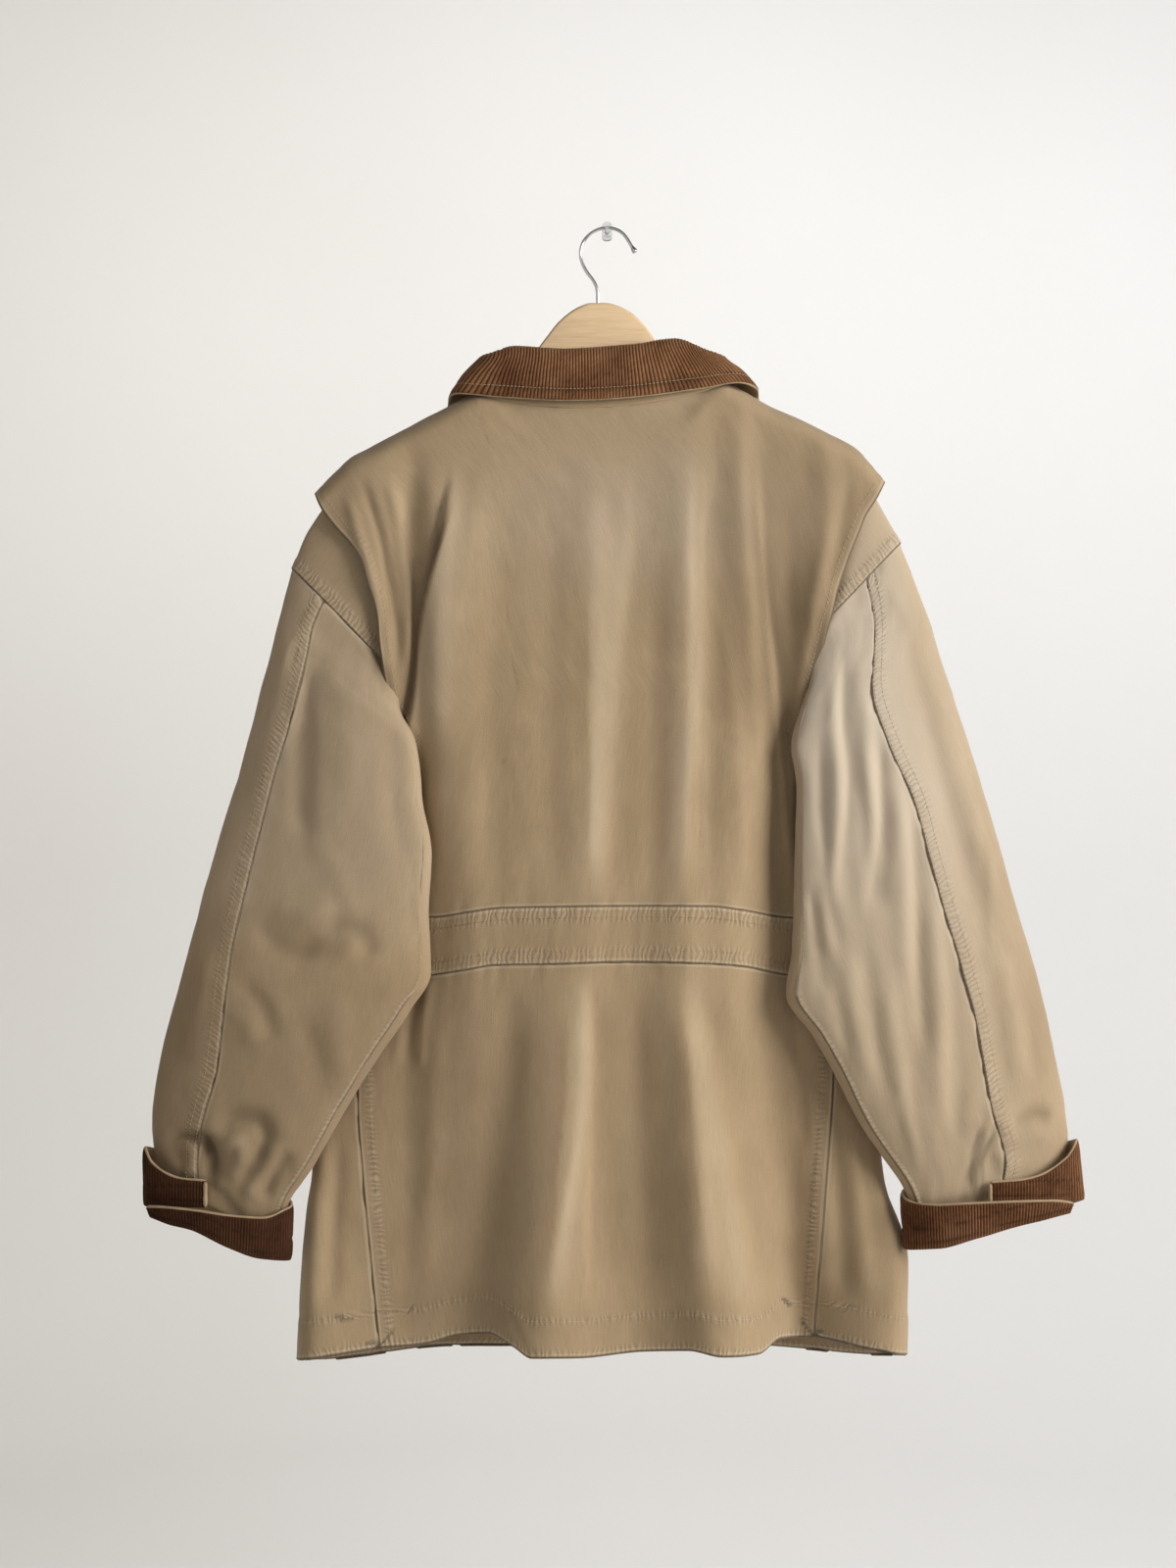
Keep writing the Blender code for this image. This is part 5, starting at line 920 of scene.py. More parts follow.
def line_lift(lines, x, z, seed):
    """How far a table's crests, valleys and steps lift the cloth at x, z, in mm."""
    lift = np.zeros(np.broadcast(x, z).shape)
    for number, row in enumerate(lines):
        step = row[0] == "step"
        height, left, right, *points = row[1:] if step else row
        line = np.asarray(points, float).reshape(-1, 2)
        line = np.stack([(line[:, 0] - PIXEL_X) * PIXEL_MM, (PIXEL_Z - line[:, 1]) * PIXEL_MM], axis=1)
        steps = np.linalg.norm(np.diff(line, axis=0), axis=1)
        count = max(int(steps.sum() / 4.0), 6)
        line = along(line, np.linspace(0.0, 1.0, count))
        ahead = np.diff(line, axis=0)
        size = np.linalg.norm(ahead, axis=1)
        ahead = ahead / size[:, None]
        reach = 3.2 * max(left, right) + 6.0
        low = line.min(axis=0) - reach
        high = line.max(axis=0) + reach
        near = (x > low[0]) & (x < high[0]) & (z > low[1]) & (z < high[1])
        if not near.any():
            continue
        spot = np.stack([x[near], z[near]], axis=1)
        away = spot[:, None] - line[None, :-1]
        share = np.clip((away * ahead[None]).sum(axis=-1) / size[None], 0.0, 1.0)
        gap = away - share[..., None] * (ahead * size[:, None])[None]
        far = np.linalg.norm(gap, axis=-1)
        best = far.argmin(axis=1)
        pick = np.arange(len(spot))
        side = np.sign(away[pick, best, 0] * -ahead[best, 1] + away[pick, best, 1] * ahead[best, 0])
        place = (best + share[pick, best]) / (count - 1)
        off = side * far[pick, best]
        wander = 0.16 * min(left, 9.0) * lattice_noise(place * steps.sum() / 48.0, number * 2.3, seed)
        off = off + np.where(np.abs(off) < 3.0 * left, wander, 0.0)
        wide = np.where(off < 0.0, left, right)
        if step:
            shape = 0.5 * np.tanh(off / 1.8) * np.exp(-np.abs(off) / wide)
        else:
            shape = np.exp(-((off / wide) ** 2))
        fade = smoothstep(0.0, 0.22, place) * (1.0 - smoothstep(0.78, 1.0, place))
        uneven = 1.0 + 0.25 * lattice_noise(place * steps.sum() / 60.0, number * 4.1 + 3.0, seed + 1)
        beyond = np.exp(-((np.abs(off) / (3.0 * wide)) ** 4))
        lift[near] += height * fade * uneven * shape * beyond
    return lift


def edge_distances(grid):
    """How far each grid point is from the grid's four edges, along the cloth, in mm."""
    across = np.linalg.norm(np.diff(grid, axis=1), axis=-1)
    down = np.linalg.norm(np.diff(grid, axis=0), axis=-1)
    from_left = np.concatenate([np.zeros((grid.shape[0], 1)), np.cumsum(across, axis=1)], axis=1)
    from_top = np.concatenate([np.zeros((1, grid.shape[1])), np.cumsum(down, axis=0)], axis=0)
    return {
        "left": from_left,
        "right": from_left[:, -1:] - from_left,
        "top": from_top,
        "foot": from_top[-1:] - from_top,
    }


def grid_normals(grid, sign):
    """The unit normal at each point of a grid."""
    across = np.gradient(grid, axis=1)
    down = np.gradient(grid, axis=0)
    return sign * unit(np.cross(down, across))


def strip(distance, low, high, soft):
    """1 between two distances from an edge, with soft sides."""
    past_high = smoothstep(high - soft, high + soft, distance)
    return smoothstep(low - soft, low + soft, distance) * (1.0 - past_high)


def line_dip(distance, place, width):
    """1 on a line at a distance from an edge, fading over its width."""
    return np.exp(-(((distance - place) / width) ** 2))


def puckers(distance, run, place, reach, spacing, seed, slant=0.0):
    """Uneven short wrinkles across a stitched line, strongest on it."""
    fine = lattice_noise((run + slant * (distance - place)) / spacing, 0.3 + distance / 60.0, seed)
    broad = 0.6 + 0.4 * lattice_noise(run / (spacing * 5.0), 4.2, seed + 7)
    return fine * broad * np.exp(-(((distance - place) / reach) ** 2))


class Panel:
    """A cloth panel: its middle surface as a grid in true millimetres, and its relief."""

    def __init__(self, name, grid, sign, thick, slot, node, seed, placed=False):
        self.name = name
        self.flat = np.array(grid, float)
        self.x = self.flat[..., 0]
        self.z = self.flat[..., 2]
        self.grid = self.flat if placed else true_place(self.flat)
        self.sign = sign
        self.thick = thick
        self.slot = slot
        self.node = node
        self.seed = seed
        self.away = edge_distances(self.grid)
        self.bend = np.zeros(self.x.shape)
        self.relief = np.zeros(self.x.shape)
        self.tone = np.zeros(self.x.shape)
        self.seam_gap = np.full(self.x.shape, 1000.0)
        self.row_gap = np.full(self.x.shape, 1000.0)
        self.seam_run = np.zeros(self.x.shape)
        self.fade_and_painted_light = np.zeros(self.x.shape)
        self.outer = None
        self.normal = None

    def run(self, edge):
        """Distance along the given edge."""
        return self.away["left"] if edge in ("top", "foot") else self.away["top"]

    def crumple(self, amount, size):
        """Small soft unevenness all over."""
        u = self.away["left"] / size
        v = self.away["top"] / (size * 1.7)
        self.bend += amount * lattice_noise(u, v, self.seed)
        self.bend += 0.45 * amount * lattice_noise(u * 2.3 + 5.0, v * 2.1, self.seed + 1)

    def seam(self, edge, rows, width, height, limit=None, weight=1.0):
        """A turned seam along an edge: a raised strip, and for the material its closed line and stitch rows,
        painted dark as shade.
        """
        distance = self.away[edge]
        gate = np.ones(distance.shape) if limit is None else limit
        self.relief += gate * height * strip(distance, -5.0, width, 0.9)
        closed = CLOSED_GAP * (1.0 - gate)
        nearer = distance + closed < self.seam_gap
        self.seam_run = np.where(nearer, self.run(edge) + RUN_APART * self.seed, self.seam_run)
        self.seam_gap = np.minimum(self.seam_gap, distance + closed)
        for place in rows:
            gap = np.abs(distance - place) + closed + (1.0 - weight) * ROW_FADE
            self.row_gap = np.minimum(self.row_gap, gap)

    def fold(self, lines, seed, share):
        """The folds of a table, with their crests worn a little paler and their valleys a little darker as
        painted shade.
        """
        lift = line_lift(lines, self.x, self.z, seed) * share
        self.bend += lift
        self.tone += np.clip(0.035 * lift, -0.3, 0.16)

    def shade(self, shades, seed, share=1.0):
        """Painted shade and highlight from a table: below 0 darker, above 0 paler."""
        self.tone += line_lift(shades, self.x, self.z, seed) * share

    def gathers(self, edge, reach, height, spacing, limit=None, seed=60):
        """Soft wrinkles that start at an edge and run into the cloth."""
        distance = self.away[edge]
        run = self.run(edge)
        gate = 1.0 if limit is None else limit
        wave = lattice_noise(run / spacing, distance / (reach * 2.2), self.seed + seed)
        length = reach * (0.7 + 0.5 * lattice_noise(run / (spacing * 2.0), 1.7, self.seed + seed + 1))
        self.bend += gate * height * wave * np.exp(-distance / np.maximum(length, 2.0))

    def shape(self):
        """Work out the outer and inner surfaces."""
        first = grid_normals(self.grid, self.sign)
        middle = self.grid + first * self.bend[..., None]
        self.normal = grid_normals(middle, self.sign)
        self.outer = middle + self.normal * (0.5 * self.thick + self.relief)[..., None]
        self.inner = middle - self.normal * (0.5 * self.thick)
        self.middle = middle

    def make(self):
        """The closed mesh of the panel."""
        self.shape()
        cloth = np.stack([self.away["left"], self.away["top"]], axis=-1) * MM
        fields = {
            "tone": self.tone,
            "seam_near": np.clip(1.0 - self.seam_gap / SEAM_REACH, 0.0, 1.0),
            "row_near": np.clip(1.0 - self.row_gap / ROW_REACH, 0.0, 1.0),
            "seam_run": self.seam_run,
            "fade_and_painted_light": self.fade_and_painted_light,
        }
        made = closed_shell(self.name, self.outer, self.inner, cloth, fields, self.sign)
        finish_piece(made, self.slot, self.node)
        PANELS[self.name] = self
        return made

    def edge_path(self, edge, distance, start=0.0, end=1.0, flip=False):
        """Points and normals on the outer surface along a line at a distance from an edge."""
        away = self.away[edge]
        if edge in ("top", "foot"):
            away, outer, normal = away.T, self.outer.swapaxes(0, 1), self.normal.swapaxes(0, 1)
        else:
            outer, normal = self.outer, self.normal
        count = len(away)
        lines = range(int(start * (count - 1)), int(end * (count - 1)) + 1)
        points, ways = [], []
        for line in lines:
            run = away[line]
            if edge in ("right", "foot"):
                run, spots, tilts = run[::-1], outer[line][::-1], normal[line][::-1]
            else:
                spots, tilts = outer[line], normal[line]
            if distance > run[-1]:
                continue
            points.append([np.interp(distance, run, spots[:, k]) for k in range(3)])
            ways.append([np.interp(distance, run, tilts[:, k]) for k in range(3)])
        return np.array(points), unit(np.array(ways))


def closed_shell(name, outer, inner, cloth, fields, sign):
    """A closed mesh from an outer and an inner grid of points, with a rounded edge between them."""
    rows, columns = outer.shape[:2]
    count = rows * columns
    index = np.arange(count).reshape(rows, columns)
    loop = np.concatenate([index[0, :-1], index[:-1, -1], index[-1, :0:-1], index[:0:-1, 0]])
    quads = np.stack([index[:-1, :-1], index[:-1, 1:], index[1:, 1:], index[1:, :-1]], axis=-1).reshape(-1, 4)
    flat_outer = outer.reshape(-1, 3)
    flat_inner = inner.reshape(-1, 3)
    middle = 0.5 * (outer + inner)
    out_row = np.zeros_like(middle)
    out_row[0] += unit(middle[0] - middle[1])
    out_row[-1] += unit(middle[-1] - middle[-2])
    out_row[:, 0] += unit(middle[:, 0] - middle[:, 1])
    out_row[:, -1] += unit(middle[:, -1] - middle[:, -2])
    way = unit(out_row.reshape(-1, 3)[loop])
    top = flat_outer[loop]
    low = flat_inner[loop]
    centre = 0.5 * (top + low)
    arm = 0.5 * (top - low)
    reach = np.linalg.norm(arm, axis=-1, keepdims=True)
    points = [flat_outer, flat_inner]
    cloths = [cloth.reshape(-1, 2), cloth.reshape(-1, 2)]
    held = {key: [value.ravel(), value.ravel()] for key, value in fields.items()}
    previous = loop
    faces = [quads[:, ::-1] if sign > 0 else quads, quads + count if sign > 0 else (quads + count)[:, ::-1]]
    around = len(loop)
    for step in range(1, EDGE_STEPS + 1):
        angle = math.pi * step / (EDGE_STEPS + 1)
        points.append(centre + arm * math.cos(angle) + way * reach * math.sin(angle))
        cloths.append(cloth.reshape(-1, 2)[loop])
        for key, value in fields.items():
            held[key].append(value.ravel()[loop])
        now = 2 * count + (step - 1) * around + np.arange(around)
        ring = np.stack([previous, np.roll(previous, -1), np.roll(now, -1), now], axis=-1)
        faces.append(ring if sign > 0 else ring[:, ::-1])
        previous = now
    last = loop + count
    ring = np.stack([previous, np.roll(previous, -1), np.roll(last, -1), last], axis=-1)
    faces.append(ring if sign > 0 else ring[:, ::-1])
    held = {key: np.concatenate(value) for key, value in held.items()}
    return mesh_piece(name, np.concatenate(points), np.concatenate(faces), np.concatenate(cloths), held)


def mesh_piece(name, points, faces, cloth=None, fields=None):
    """A smooth mesh object from millimetre points in their true place."""
    mesh = bpy.data.meshes.new(name)
    faces = faces.tolist() if isinstance(faces, np.ndarray) else faces
    mesh.from_pydata((np.asarray(points) * MM).tolist(), [], faces)
    mesh.polygons.foreach_set("use_smooth", np.ones(len(mesh.polygons), bool))
    if cloth is not None:
        corners = np.empty(len(mesh.loops), int)
        mesh.loops.foreach_get("vertex_index", corners)
        layer = mesh.uv_layers.new(name="cloth")
        layer.data.foreach_set("uv", cloth[corners].ravel())
    for key, value in (fields or {}).items():
        layer = mesh.attributes.new(key, "FLOAT", "POINT")
        layer.data.foreach_set("value", np.ascontiguousarray(value, dtype=np.float32))
    made = bpy.data.objects.new(name, mesh)
    bpy.context.scene.collection.objects.link(made)
    return made


def finish_piece(made, slot, *nodes):
    """Give a piece its material, body and the nodes that it stands for."""
    made.data.materials.append(MATERIALS[slot])
    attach(made, "root")
    nodes = [n for n in nodes if n]
    if nodes:
        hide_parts(*nodes)
    return made


def tube_rings(path, radii, sides, up):
    """Rings of points round a path."""
    path = np.asarray(path, float)
    ahead = unit(np.gradient(path, axis=0))
    side = unit(np.cross(ahead, up))
    lift = np.cross(side, ahead)
    angles = np.linspace(0.0, 2.0 * math.pi, sides, endpoint=False)
    turn = side[:, None] * np.cos(angles)[None, :, None] + lift[:, None] * np.sin(angles)[None, :, None]
    return path[:, None] + turn * np.asarray(radii)[:, None, None]


def ring_faces(count, sides, base=0):
    """Faces of a closed tube of rings."""
    faces = []
    for r in range(count - 1):
        for s in range(sides):
            t = (s + 1) % sides
            a = base + r * sides
            faces.append([a + s, a + t, a + sides + t, a + sides + s])
    return faces


def capped_faces(count, sides, base=0):
    """Faces of a tube of rings that is closed at both ends."""
    start = [base + k for k in range(sides)]
    return ring_faces(count, sides, base) + [start[::-1], [k + (count - 1) * sides for k in start]]


def solid_piece(name, points, faces, slot, *nodes):
    """A closed hard piece whose faces are turned outward."""
    made = mesh_piece(name, points, faces)
    shape = bmesh.new()
    shape.from_mesh(made.data)
    bmesh.ops.recalc_face_normals(shape, faces=shape.faces)
    shape.to_mesh(made.data)
    shape.free()
    return finish_piece(made, slot, *nodes)


def stitch_row(points, normals, pitch=STITCH_PITCH, length=STITCH_LENGTH, radius=STITCH_RADIUS):
    """Capsules along a path on the cloth, each dipping into it at both ends."""
    place = travelled(points)
    starts = np.arange(0.5 * (pitch - length), place[-1] - length, pitch)
    if len(starts) == 0:
        return np.zeros((0, 3)), []
    shares = np.array([0.0, 0.18, 0.5, 0.82, 1.0])
    rise = np.array([-STITCH_SINK, STITCH_LIFT * 0.6, STITCH_LIFT, STITCH_LIFT * 0.6, -STITCH_SINK])
    girth = np.array([0.45, 0.9, 1.0, 0.9, 0.45]) * radius
    where = starts[:, None] + shares[None] * length
    spot = np.stack([np.interp(where, place, points[:, k]) for k in range(3)], axis=-1)
    up = unit(np.stack([np.interp(where, place, normals[:, k]) for k in range(3)], axis=-1))
    spot = spot + up * rise[None, :, None]
    ahead = unit(np.gradient(spot, axis=1))
    side = unit(np.cross(ahead, up))
    lift = np.cross(side, ahead)
    angles = np.linspace(0.0, 2.0 * math.pi, STITCH_SIDES, endpoint=False)
    turn = side[:, :, None] * np.cos(angles)[:, None] + lift[:, :, None] * np.sin(angles)[:, None]
    rings = spot[:, :, None] + turn * girth[:, None, None]
    count = len(starts)
    body = np.arange(5 * STITCH_SIDES).reshape(5, STITCH_SIDES)
    turned = np.roll(body, -1, axis=1)
    quads = np.stack([body[:-1], turned[:-1], turned[1:], body[1:]], axis=-1).reshape(-1, 4)
    start_cap = np.array([[0, k + 1, k] for k in range(1, STITCH_SIDES - 1)])
    caps = np.concatenate([start_cap, start_cap[:, ::-1] + 4 * STITCH_SIDES])
    first = (np.arange(count) * 5 * STITCH_SIDES)[:, None, None]
    faces = (quads[None] + first).reshape(-1, 4).tolist() + (caps[None] + first).reshape(-1, 3).tolist()
    return rings.reshape(-1, 3), faces


class Thread:
    """Stitches gathered into one piece."""

    def __init__(self, name, slot):
        self.name = name
        self.slot = slot
        self.points = []
        self.faces = []
        self.base = 0

    def sew(self, path, **sizes):
        """Add a row of stitches along a path of points and normals."""
        points, normals = path
        if len(points) < 4:
            return
        rings, faces = stitch_row(points, normals, **sizes)
        self.points.append(rings)
        self.faces.extend([[k + self.base for k in face] for face in faces])
        self.base += len(rings)

    def make(self):
        """The one mesh of all the stitches."""
        made = mesh_piece(self.name, np.concatenate(self.points), self.faces)
        return finish_piece(made, self.slot)


def dense(count):
    """Even shares from 0 to 1."""
    return np.linspace(0.0, 1.0, count)


def steps_for(length, step):
    """How many points a length takes at a step."""
    return max(int(round(length / step)) + 1, 3)


def polyline_length(points):
    """The length of a table's line."""
    points = np.asarray(points, float)
    return float(np.linalg.norm(np.diff(points, axis=0), axis=1).sum())


def back_top():
    """The back's upper edge: left shoulder, neck, right shoulder, as a dense line."""
    neck = neck_points(NECK_LEFT_ROW, NECK_RIGHT_ROW, 81)
    left = shoulder_points(LEFT_SHOULDER, neck[0], dense(81)[:-1])
    right = shoulder_points(RIGHT_SHOULDER, neck[-1], dense(81)[:-1])[::-1]
    line = np.concatenate([left, neck, right])
    count = steps_for(polyline_length(line), WEAVE_STEP)
    return resample(line, dense(count))


def level_rows(line, shares):
    """Points of a falling x, z line at shares of its height."""
    z = line[0, 1] + (line[-1, 1] - line[0, 1]) * shares
    return np.stack([through(-line[:, 1], line[:, 0], -z), z], axis=1)


def make_back():
    """The upper back with its caps, the waistband and the lower back."""
    top = back_top()
    shares = (top[:, 0] - top[0, 0]) / (top[-1, 0] - top[0, 0])
    left = seam_points(LEFT_SIDE, 0)
    right = seam_points(RIGHT_SIDE, 0)
    waist_top = level_line(shares, left[WAIST_TOP_ROW], right[WAIST_TOP_ROW], WAIST_EDGES, 1)
    waist_foot = level_line(shares, left[WAIST_FOOT_ROW], right[WAIST_FOOT_ROW], WAIST_EDGES, 2)
    hem = level_line(shares, left[-1], right[-1], BACK_HEM, 1)

    arm_share = BACK_ROWS[-1]
    arm_count = steps_for(polyline_length(LEFT_CAP_EDGE), WEAVE_STEP)
    low_count = steps_for(left[0, 1] - left[WAIST_TOP_ROW, 1], WEAVE_STEP)
    arm = dense(arm_count)
    low = dense(low_count)[1:]
    left_low = level_rows(left[: WAIST_TOP_ROW + 1], low)
    right_low = level_rows(right[: WAIST_TOP_ROW + 1], low)
    left_edge = np.concatenate([along(LEFT_CAP_EDGE, arm), left_low])
    right_edge = np.concatenate([along(RIGHT_CAP_EDGE, arm), right_low])
    rows = np.concatenate([arm * arm_share, arm_share + (1.0 - arm_share) * low])
    flat = coons(top[:, [0, 2]], waist_top[:, [0, 2]], left_edge, right_edge, rows, shares)
    x, z = flat[..., 0], flat[..., 1]
    y = rolled(back_y(x, z), flat, top, top[:, 1] - back_y(top[:, 0], top[:, 2]))
    grid = np.stack([x, y, z], axis=-1)
    upper = Panel("back_upper_cloth", grid, 1.0, CLOTH, "twill", "back_upper", 11)
    edge_hold = smoothstep(0.0, 10.0, upper.away["foot"]) * smoothstep(0.0, 14.0, upper.away["top"])
    side_hold = smoothstep(0.0, 9.0, upper.away["left"]) * smoothstep(0.0, 9.0, upper.away["right"])
    hold = edge_hold * side_hold
    upper.bend += 0.4 * crease_heights(BACK_CREASES, x, z, 101) * hold
    softer = 1.0 - 0.45 * smoothstep(-150.0, -110.0, x) * smoothstep(-560.0, -440.0, z)
    near_sides = smoothstep(0.0, 2.5, upper.away["left"]) * smoothstep(0.0, 6.0, upper.away["right"])
    upper.fold(BACK_LINES, 103, edge_hold * near_sides * softer)
    upper.shade(BACK_SHADES, 107)
    # A paler patch across the upper back, below the collar.
    upper.fade_and_painted_light += 0.3 * np.exp(-(((x - 20.0) / 130.0) ** 2) - ((z + 235.0) / 60.0) ** 2)
    upper.crumple(CRUMPLE, 17.0)
    arm_line = len(arm) - 1
    row_number = np.arange(len(rows))[:, None]
    at_cap = 1.0 - smoothstep(arm_line - 4, arm_line, row_number) + 0.0 * x
    at_side = smoothstep(arm_line - 4, arm_line + 1, row_number) + 0.0 * x
    for edge in ("left", "right"):
        upper.seam(edge, (7.8,), 9.2, 0.35, limit=at_cap, weight=0.6)
        upper.seam(edge, (9.5,), 11.0, 0.4, limit=at_side)
    on_neck = 1.0 - smoothstep(84.0, 100.0, np.abs(x))
    upper.gathers("top", 22.0, 0.5, 9.0, limit=on_neck)
    upper.seam("foot", (), 2.6, 0.0)
    upper.gathers("foot", 16.0, 0.5, 6.5)
    upper.make()

    mid_rows = dense(steps_for(48.0, WEAVE_STEP * 0.8))
    waist_span = (waist_foot - waist_top)[:, [0, 2]]
    band_flat = waist_top[None][:, :, [0, 2]] + waist_span[None] * mid_rows[:, None, None]
    x, z = band_flat[..., 0], band_flat[..., 1]
    grid = np.stack([x, back_y(x, z), z], axis=-1)
    band = Panel("back_waistband_cloth", grid, 1.0, CLOTH, "twill", "back_waistband", 21)
    band_side = smoothstep(0.0, 8.0, band.away["left"]) * smoothstep(0.0, 8.0, band.away["right"])
    band.bend += 0.4 * crease_heights(BACK_CREASES, x, z, 101) * band_side
    band.fold(BACK_LINES, 103, 0.8 * band_side)
    band.shade(BACK_SHADES, 107, 0.7)
    pleat = 1.0 - smoothstep(60.0, 80.0, band.away["left"])
    ripple = lattice_noise(band.away["left"] / 13.0, band.away["top"] / 60.0, 77)
    band.bend += pleat * 1.5 * ripple * band_side
    band.crumple(0.25, 12.0)
    for edge in ("top", "foot"):
        band.seam(edge, (3.6, 10.2), 11.6, 0.3)
    band.gathers("top", 26.0, 0.5, 7.0)
    band.gathers("foot", 26.0, 0.5, 7.0)
    band.relief += 0.55 * strip(band.away["top"], 0.6, 46.6, 0.7)
    band.make()

    low_z = dense(steps_for(left[WAIST_FOOT_ROW, 1] - left[-1, 1], WEAVE_STEP))
    left_low = level_rows(left[WAIST_FOOT_ROW:], low_z)
    right_low = level_rows(right[WAIST_FOOT_ROW:], low_z)
    flat = coons(waist_foot[:, [0, 2]], hem[:, [0, 2]], left_low, right_low, low_z, shares)
    x, z = flat[..., 0], flat[..., 1]
    grid = np.stack([x, back_y(x, z), z], axis=-1)
    skirt = Panel("back_lower_cloth", grid, 1.0, CLOTH, "twill", "back_lower", 31)
    hold = smoothstep(0.0, 9.0, skirt.away["left"]) * smoothstep(0.0, 9.0, skirt.away["right"])
    hold = hold * smoothstep(0.0, 8.0, skirt.away["top"])
    skirt.bend += 0.45 * crease_heights(BACK_CREASES, x, z, 101) * hold
    skirt.fold(BACK_LINES, 103, hold)
    skirt.shade(BACK_SHADES, 107)
    skirt.crumple(CRUMPLE, 18.0)
    skirt.seam("top", (), 2.6, 0.0)
    skirt.gathers("top", 19.0, 0.55, 6.5)
    for edge in ("left", "right"):
        skirt.seam(edge, (9.5,), 11.0, 0.4)
    skirt.relief += 0.7 * strip(skirt.away["foot"], -5.0, HEM_DEPTH, 0.8)
    skirt.seam("foot", (3.0, HEM_DEPTH - 2.0), HEM_DEPTH, 0.0, weight=0.9)
    ropes = puckers(skirt.away["foot"], skirt.run("foot"), 13.0, 15.0, 11.0, 47, slant=0.8)
    skirt.bend += 0.8 * ropes
    skirt.make()


def make_front(name, node, shoulder, cap_edge, side, neck_rows, centre_x, under, seed):
    """One front, from the shoulder seam to the hem, wrapped round the side to the back seam."""
    way = math.copysign(1.0, side[0][0])
    sign = way
    side = np.asarray(side)
    arm_count = steps_for(polyline_length(cap_edge), FRONT_STEP)
    rows = dense(arm_count)
    neck = neck_points(neck_rows[0], neck_rows[1], 60)
    over = np.array([[centre_x, neck[-1][1], neck[-1][2] - NECK_CORNER_DROP]])
    line = np.concatenate([shoulder_points(shoulder, neck[0], dense(60)[:-1]), neck, over])
    columns = dense(FRONT_COUNT)
    top = resample(line, columns)
    top[:, 1] -= under_shift(top[:, 0], under)
    foot_z = ARMHOLE_FOOT_Z - FOOT_DROP
    foot = side_row(side[0, 0:2], side[0, 2:4], centre_x, foot_z, FOOT_TURN, under)
    level = foot.copy()
    level[:, 0] = side[0, 0] + (centre_x - side[0, 0]) * columns
    level[:, 2] = ARMHOLE_FOOT_Z - 0.5 * FOOT_DROP
    cap = along(cap_edge, rows)
    centre = np.stack([np.full(len(rows), centre_x), top[-1, 2] + (level[-1, 2] - top[-1, 2]) * rows], axis=1)
    flat = coons(top[:, [0, 2]], level[:, [0, 2]], cap, centre, rows, columns)
    x, z = flat[..., 0], flat[..., 1]
    field = front_y(x, z) - under_shift(x, under)
    y = rolled(field, flat, top, top[:, 1] - field[0])
    upper = np.stack([x, y, z], axis=-1)
    near_foot = (smoothstep(FOOT_BLEND, 1.0, rows) ** 2)[:, None, None]
    upper = upper + (foot - upper) * near_foot
    levels = np.arange(side[0, 1], side[-1, 1] - 0.5 * FRONT_STEP, -FRONT_STEP)[1:]
    levels = np.append(levels, side[-1, 1])
    at = through(-side[:, 1], side, -levels)
    lower = []
    for row in at:
        share = (row[1] - side[0, 1]) / (side[-1, 1] - side[0, 1])
        turn = FOOT_TURN + (SIDE_TURN - FOOT_TURN) * smoothstep(0.0, 0.04, share)
        front_z = foot_z + (FRONT_HEM_Z - foot_z) * share
        lower.append(side_row(row[0:2], row[2:4], centre_x, front_z, float(turn), under))
    grid = np.concatenate([upper, np.stack(lower)])
    tuck_z = np.concatenate([np.zeros(len(rows) - 1), [0.0], side[0, 1] - levels])
    tuck = np.interp(tuck_z, (0.0, 18.5, 58.5, 110.0), FOOT_TUCK + (0.0,))
    tuck = tuck * (np.arange(len(grid)) >= len(rows) - 3)
    near_seam = 1.0 - smoothstep(2.0, 9.0, np.abs(grid[..., 0] - grid[:, :1, 0]))
    grid[..., 1] += tuck[:, None] * near_seam
    piece = Panel(name, grid, sign, CLOTH, "twill", node, seed)
    x, z = piece.x, piece.z
    hold = smoothstep(0.0, 14.0, piece.away["top"]) * smoothstep(0.0, 9.0, piece.away["left"])
    wall_side = smoothstep(-24.0, -14.0, piece.flat[..., 1])
    piece.bend += (0.8 * crease_heights(FRONT_CREASES, x, z, 151)) * hold * wall_side
    flank = crease_heights(BACK_CREASES, x, z, 101) * (1.0 - wall_side)
    piece.bend += 0.45 * flank * hold
    piece.fold(BACK_LINES, 103, (1.0 - wall_side) * hold)
    piece.shade(BACK_SHADES, 107, 1.0 - wall_side)
    piece.fold(FRONT_LINES, 109, wall_side * hold)
    piece.crumple(0.4, 19.0)
    arm_line = len(rows) - 1
    row_number = np.arange(len(grid))[:, None]
    at_cap = 1.0 - smoothstep(arm_line - 4, arm_line, row_number) + 0.0 * x
    piece.seam("left", (7.8,), 9.2, 0.35, limit=at_cap, weight=0.6)
    piece.seam("left", (), 2.0, 0.0, limit=1.0 - at_cap)
    piece.gathers("left", 13.0, 0.45, 7.0, limit=1.0 - at_cap)
    piece.seam("right", (3.0, 26.0), 27.0, 0.35, weight=0.7)
    piece.relief += 0.7 * strip(piece.away["foot"], -5.0, HEM_DEPTH, 0.8)
    piece.seam("foot", (3.0, HEM_DEPTH - 2.0), HEM_DEPTH, 0.0, weight=0.9)
    piece.bend += 0.6 * puckers(piece.away["foot"], piece.run("foot"), 13.0, 15.0, 11.0, seed + 3, slant=0.8)
    return piece.make()


def sleeve_angles(start, end, count):
    """Angles spread evenly in cloth length between two, closer round the ring's two edges."""
    fine = np.linspace(start, end, ANGLE_STEPS)
    weight = 1.0 + EDGE_CROWDING * np.cos(fine) ** 6
    travel = np.concatenate([[0.0], np.cumsum(0.5 * (weight[1:] + weight[:-1]))])
    return np.interp(np.linspace(0.0, travel[-1], count), travel, fine)


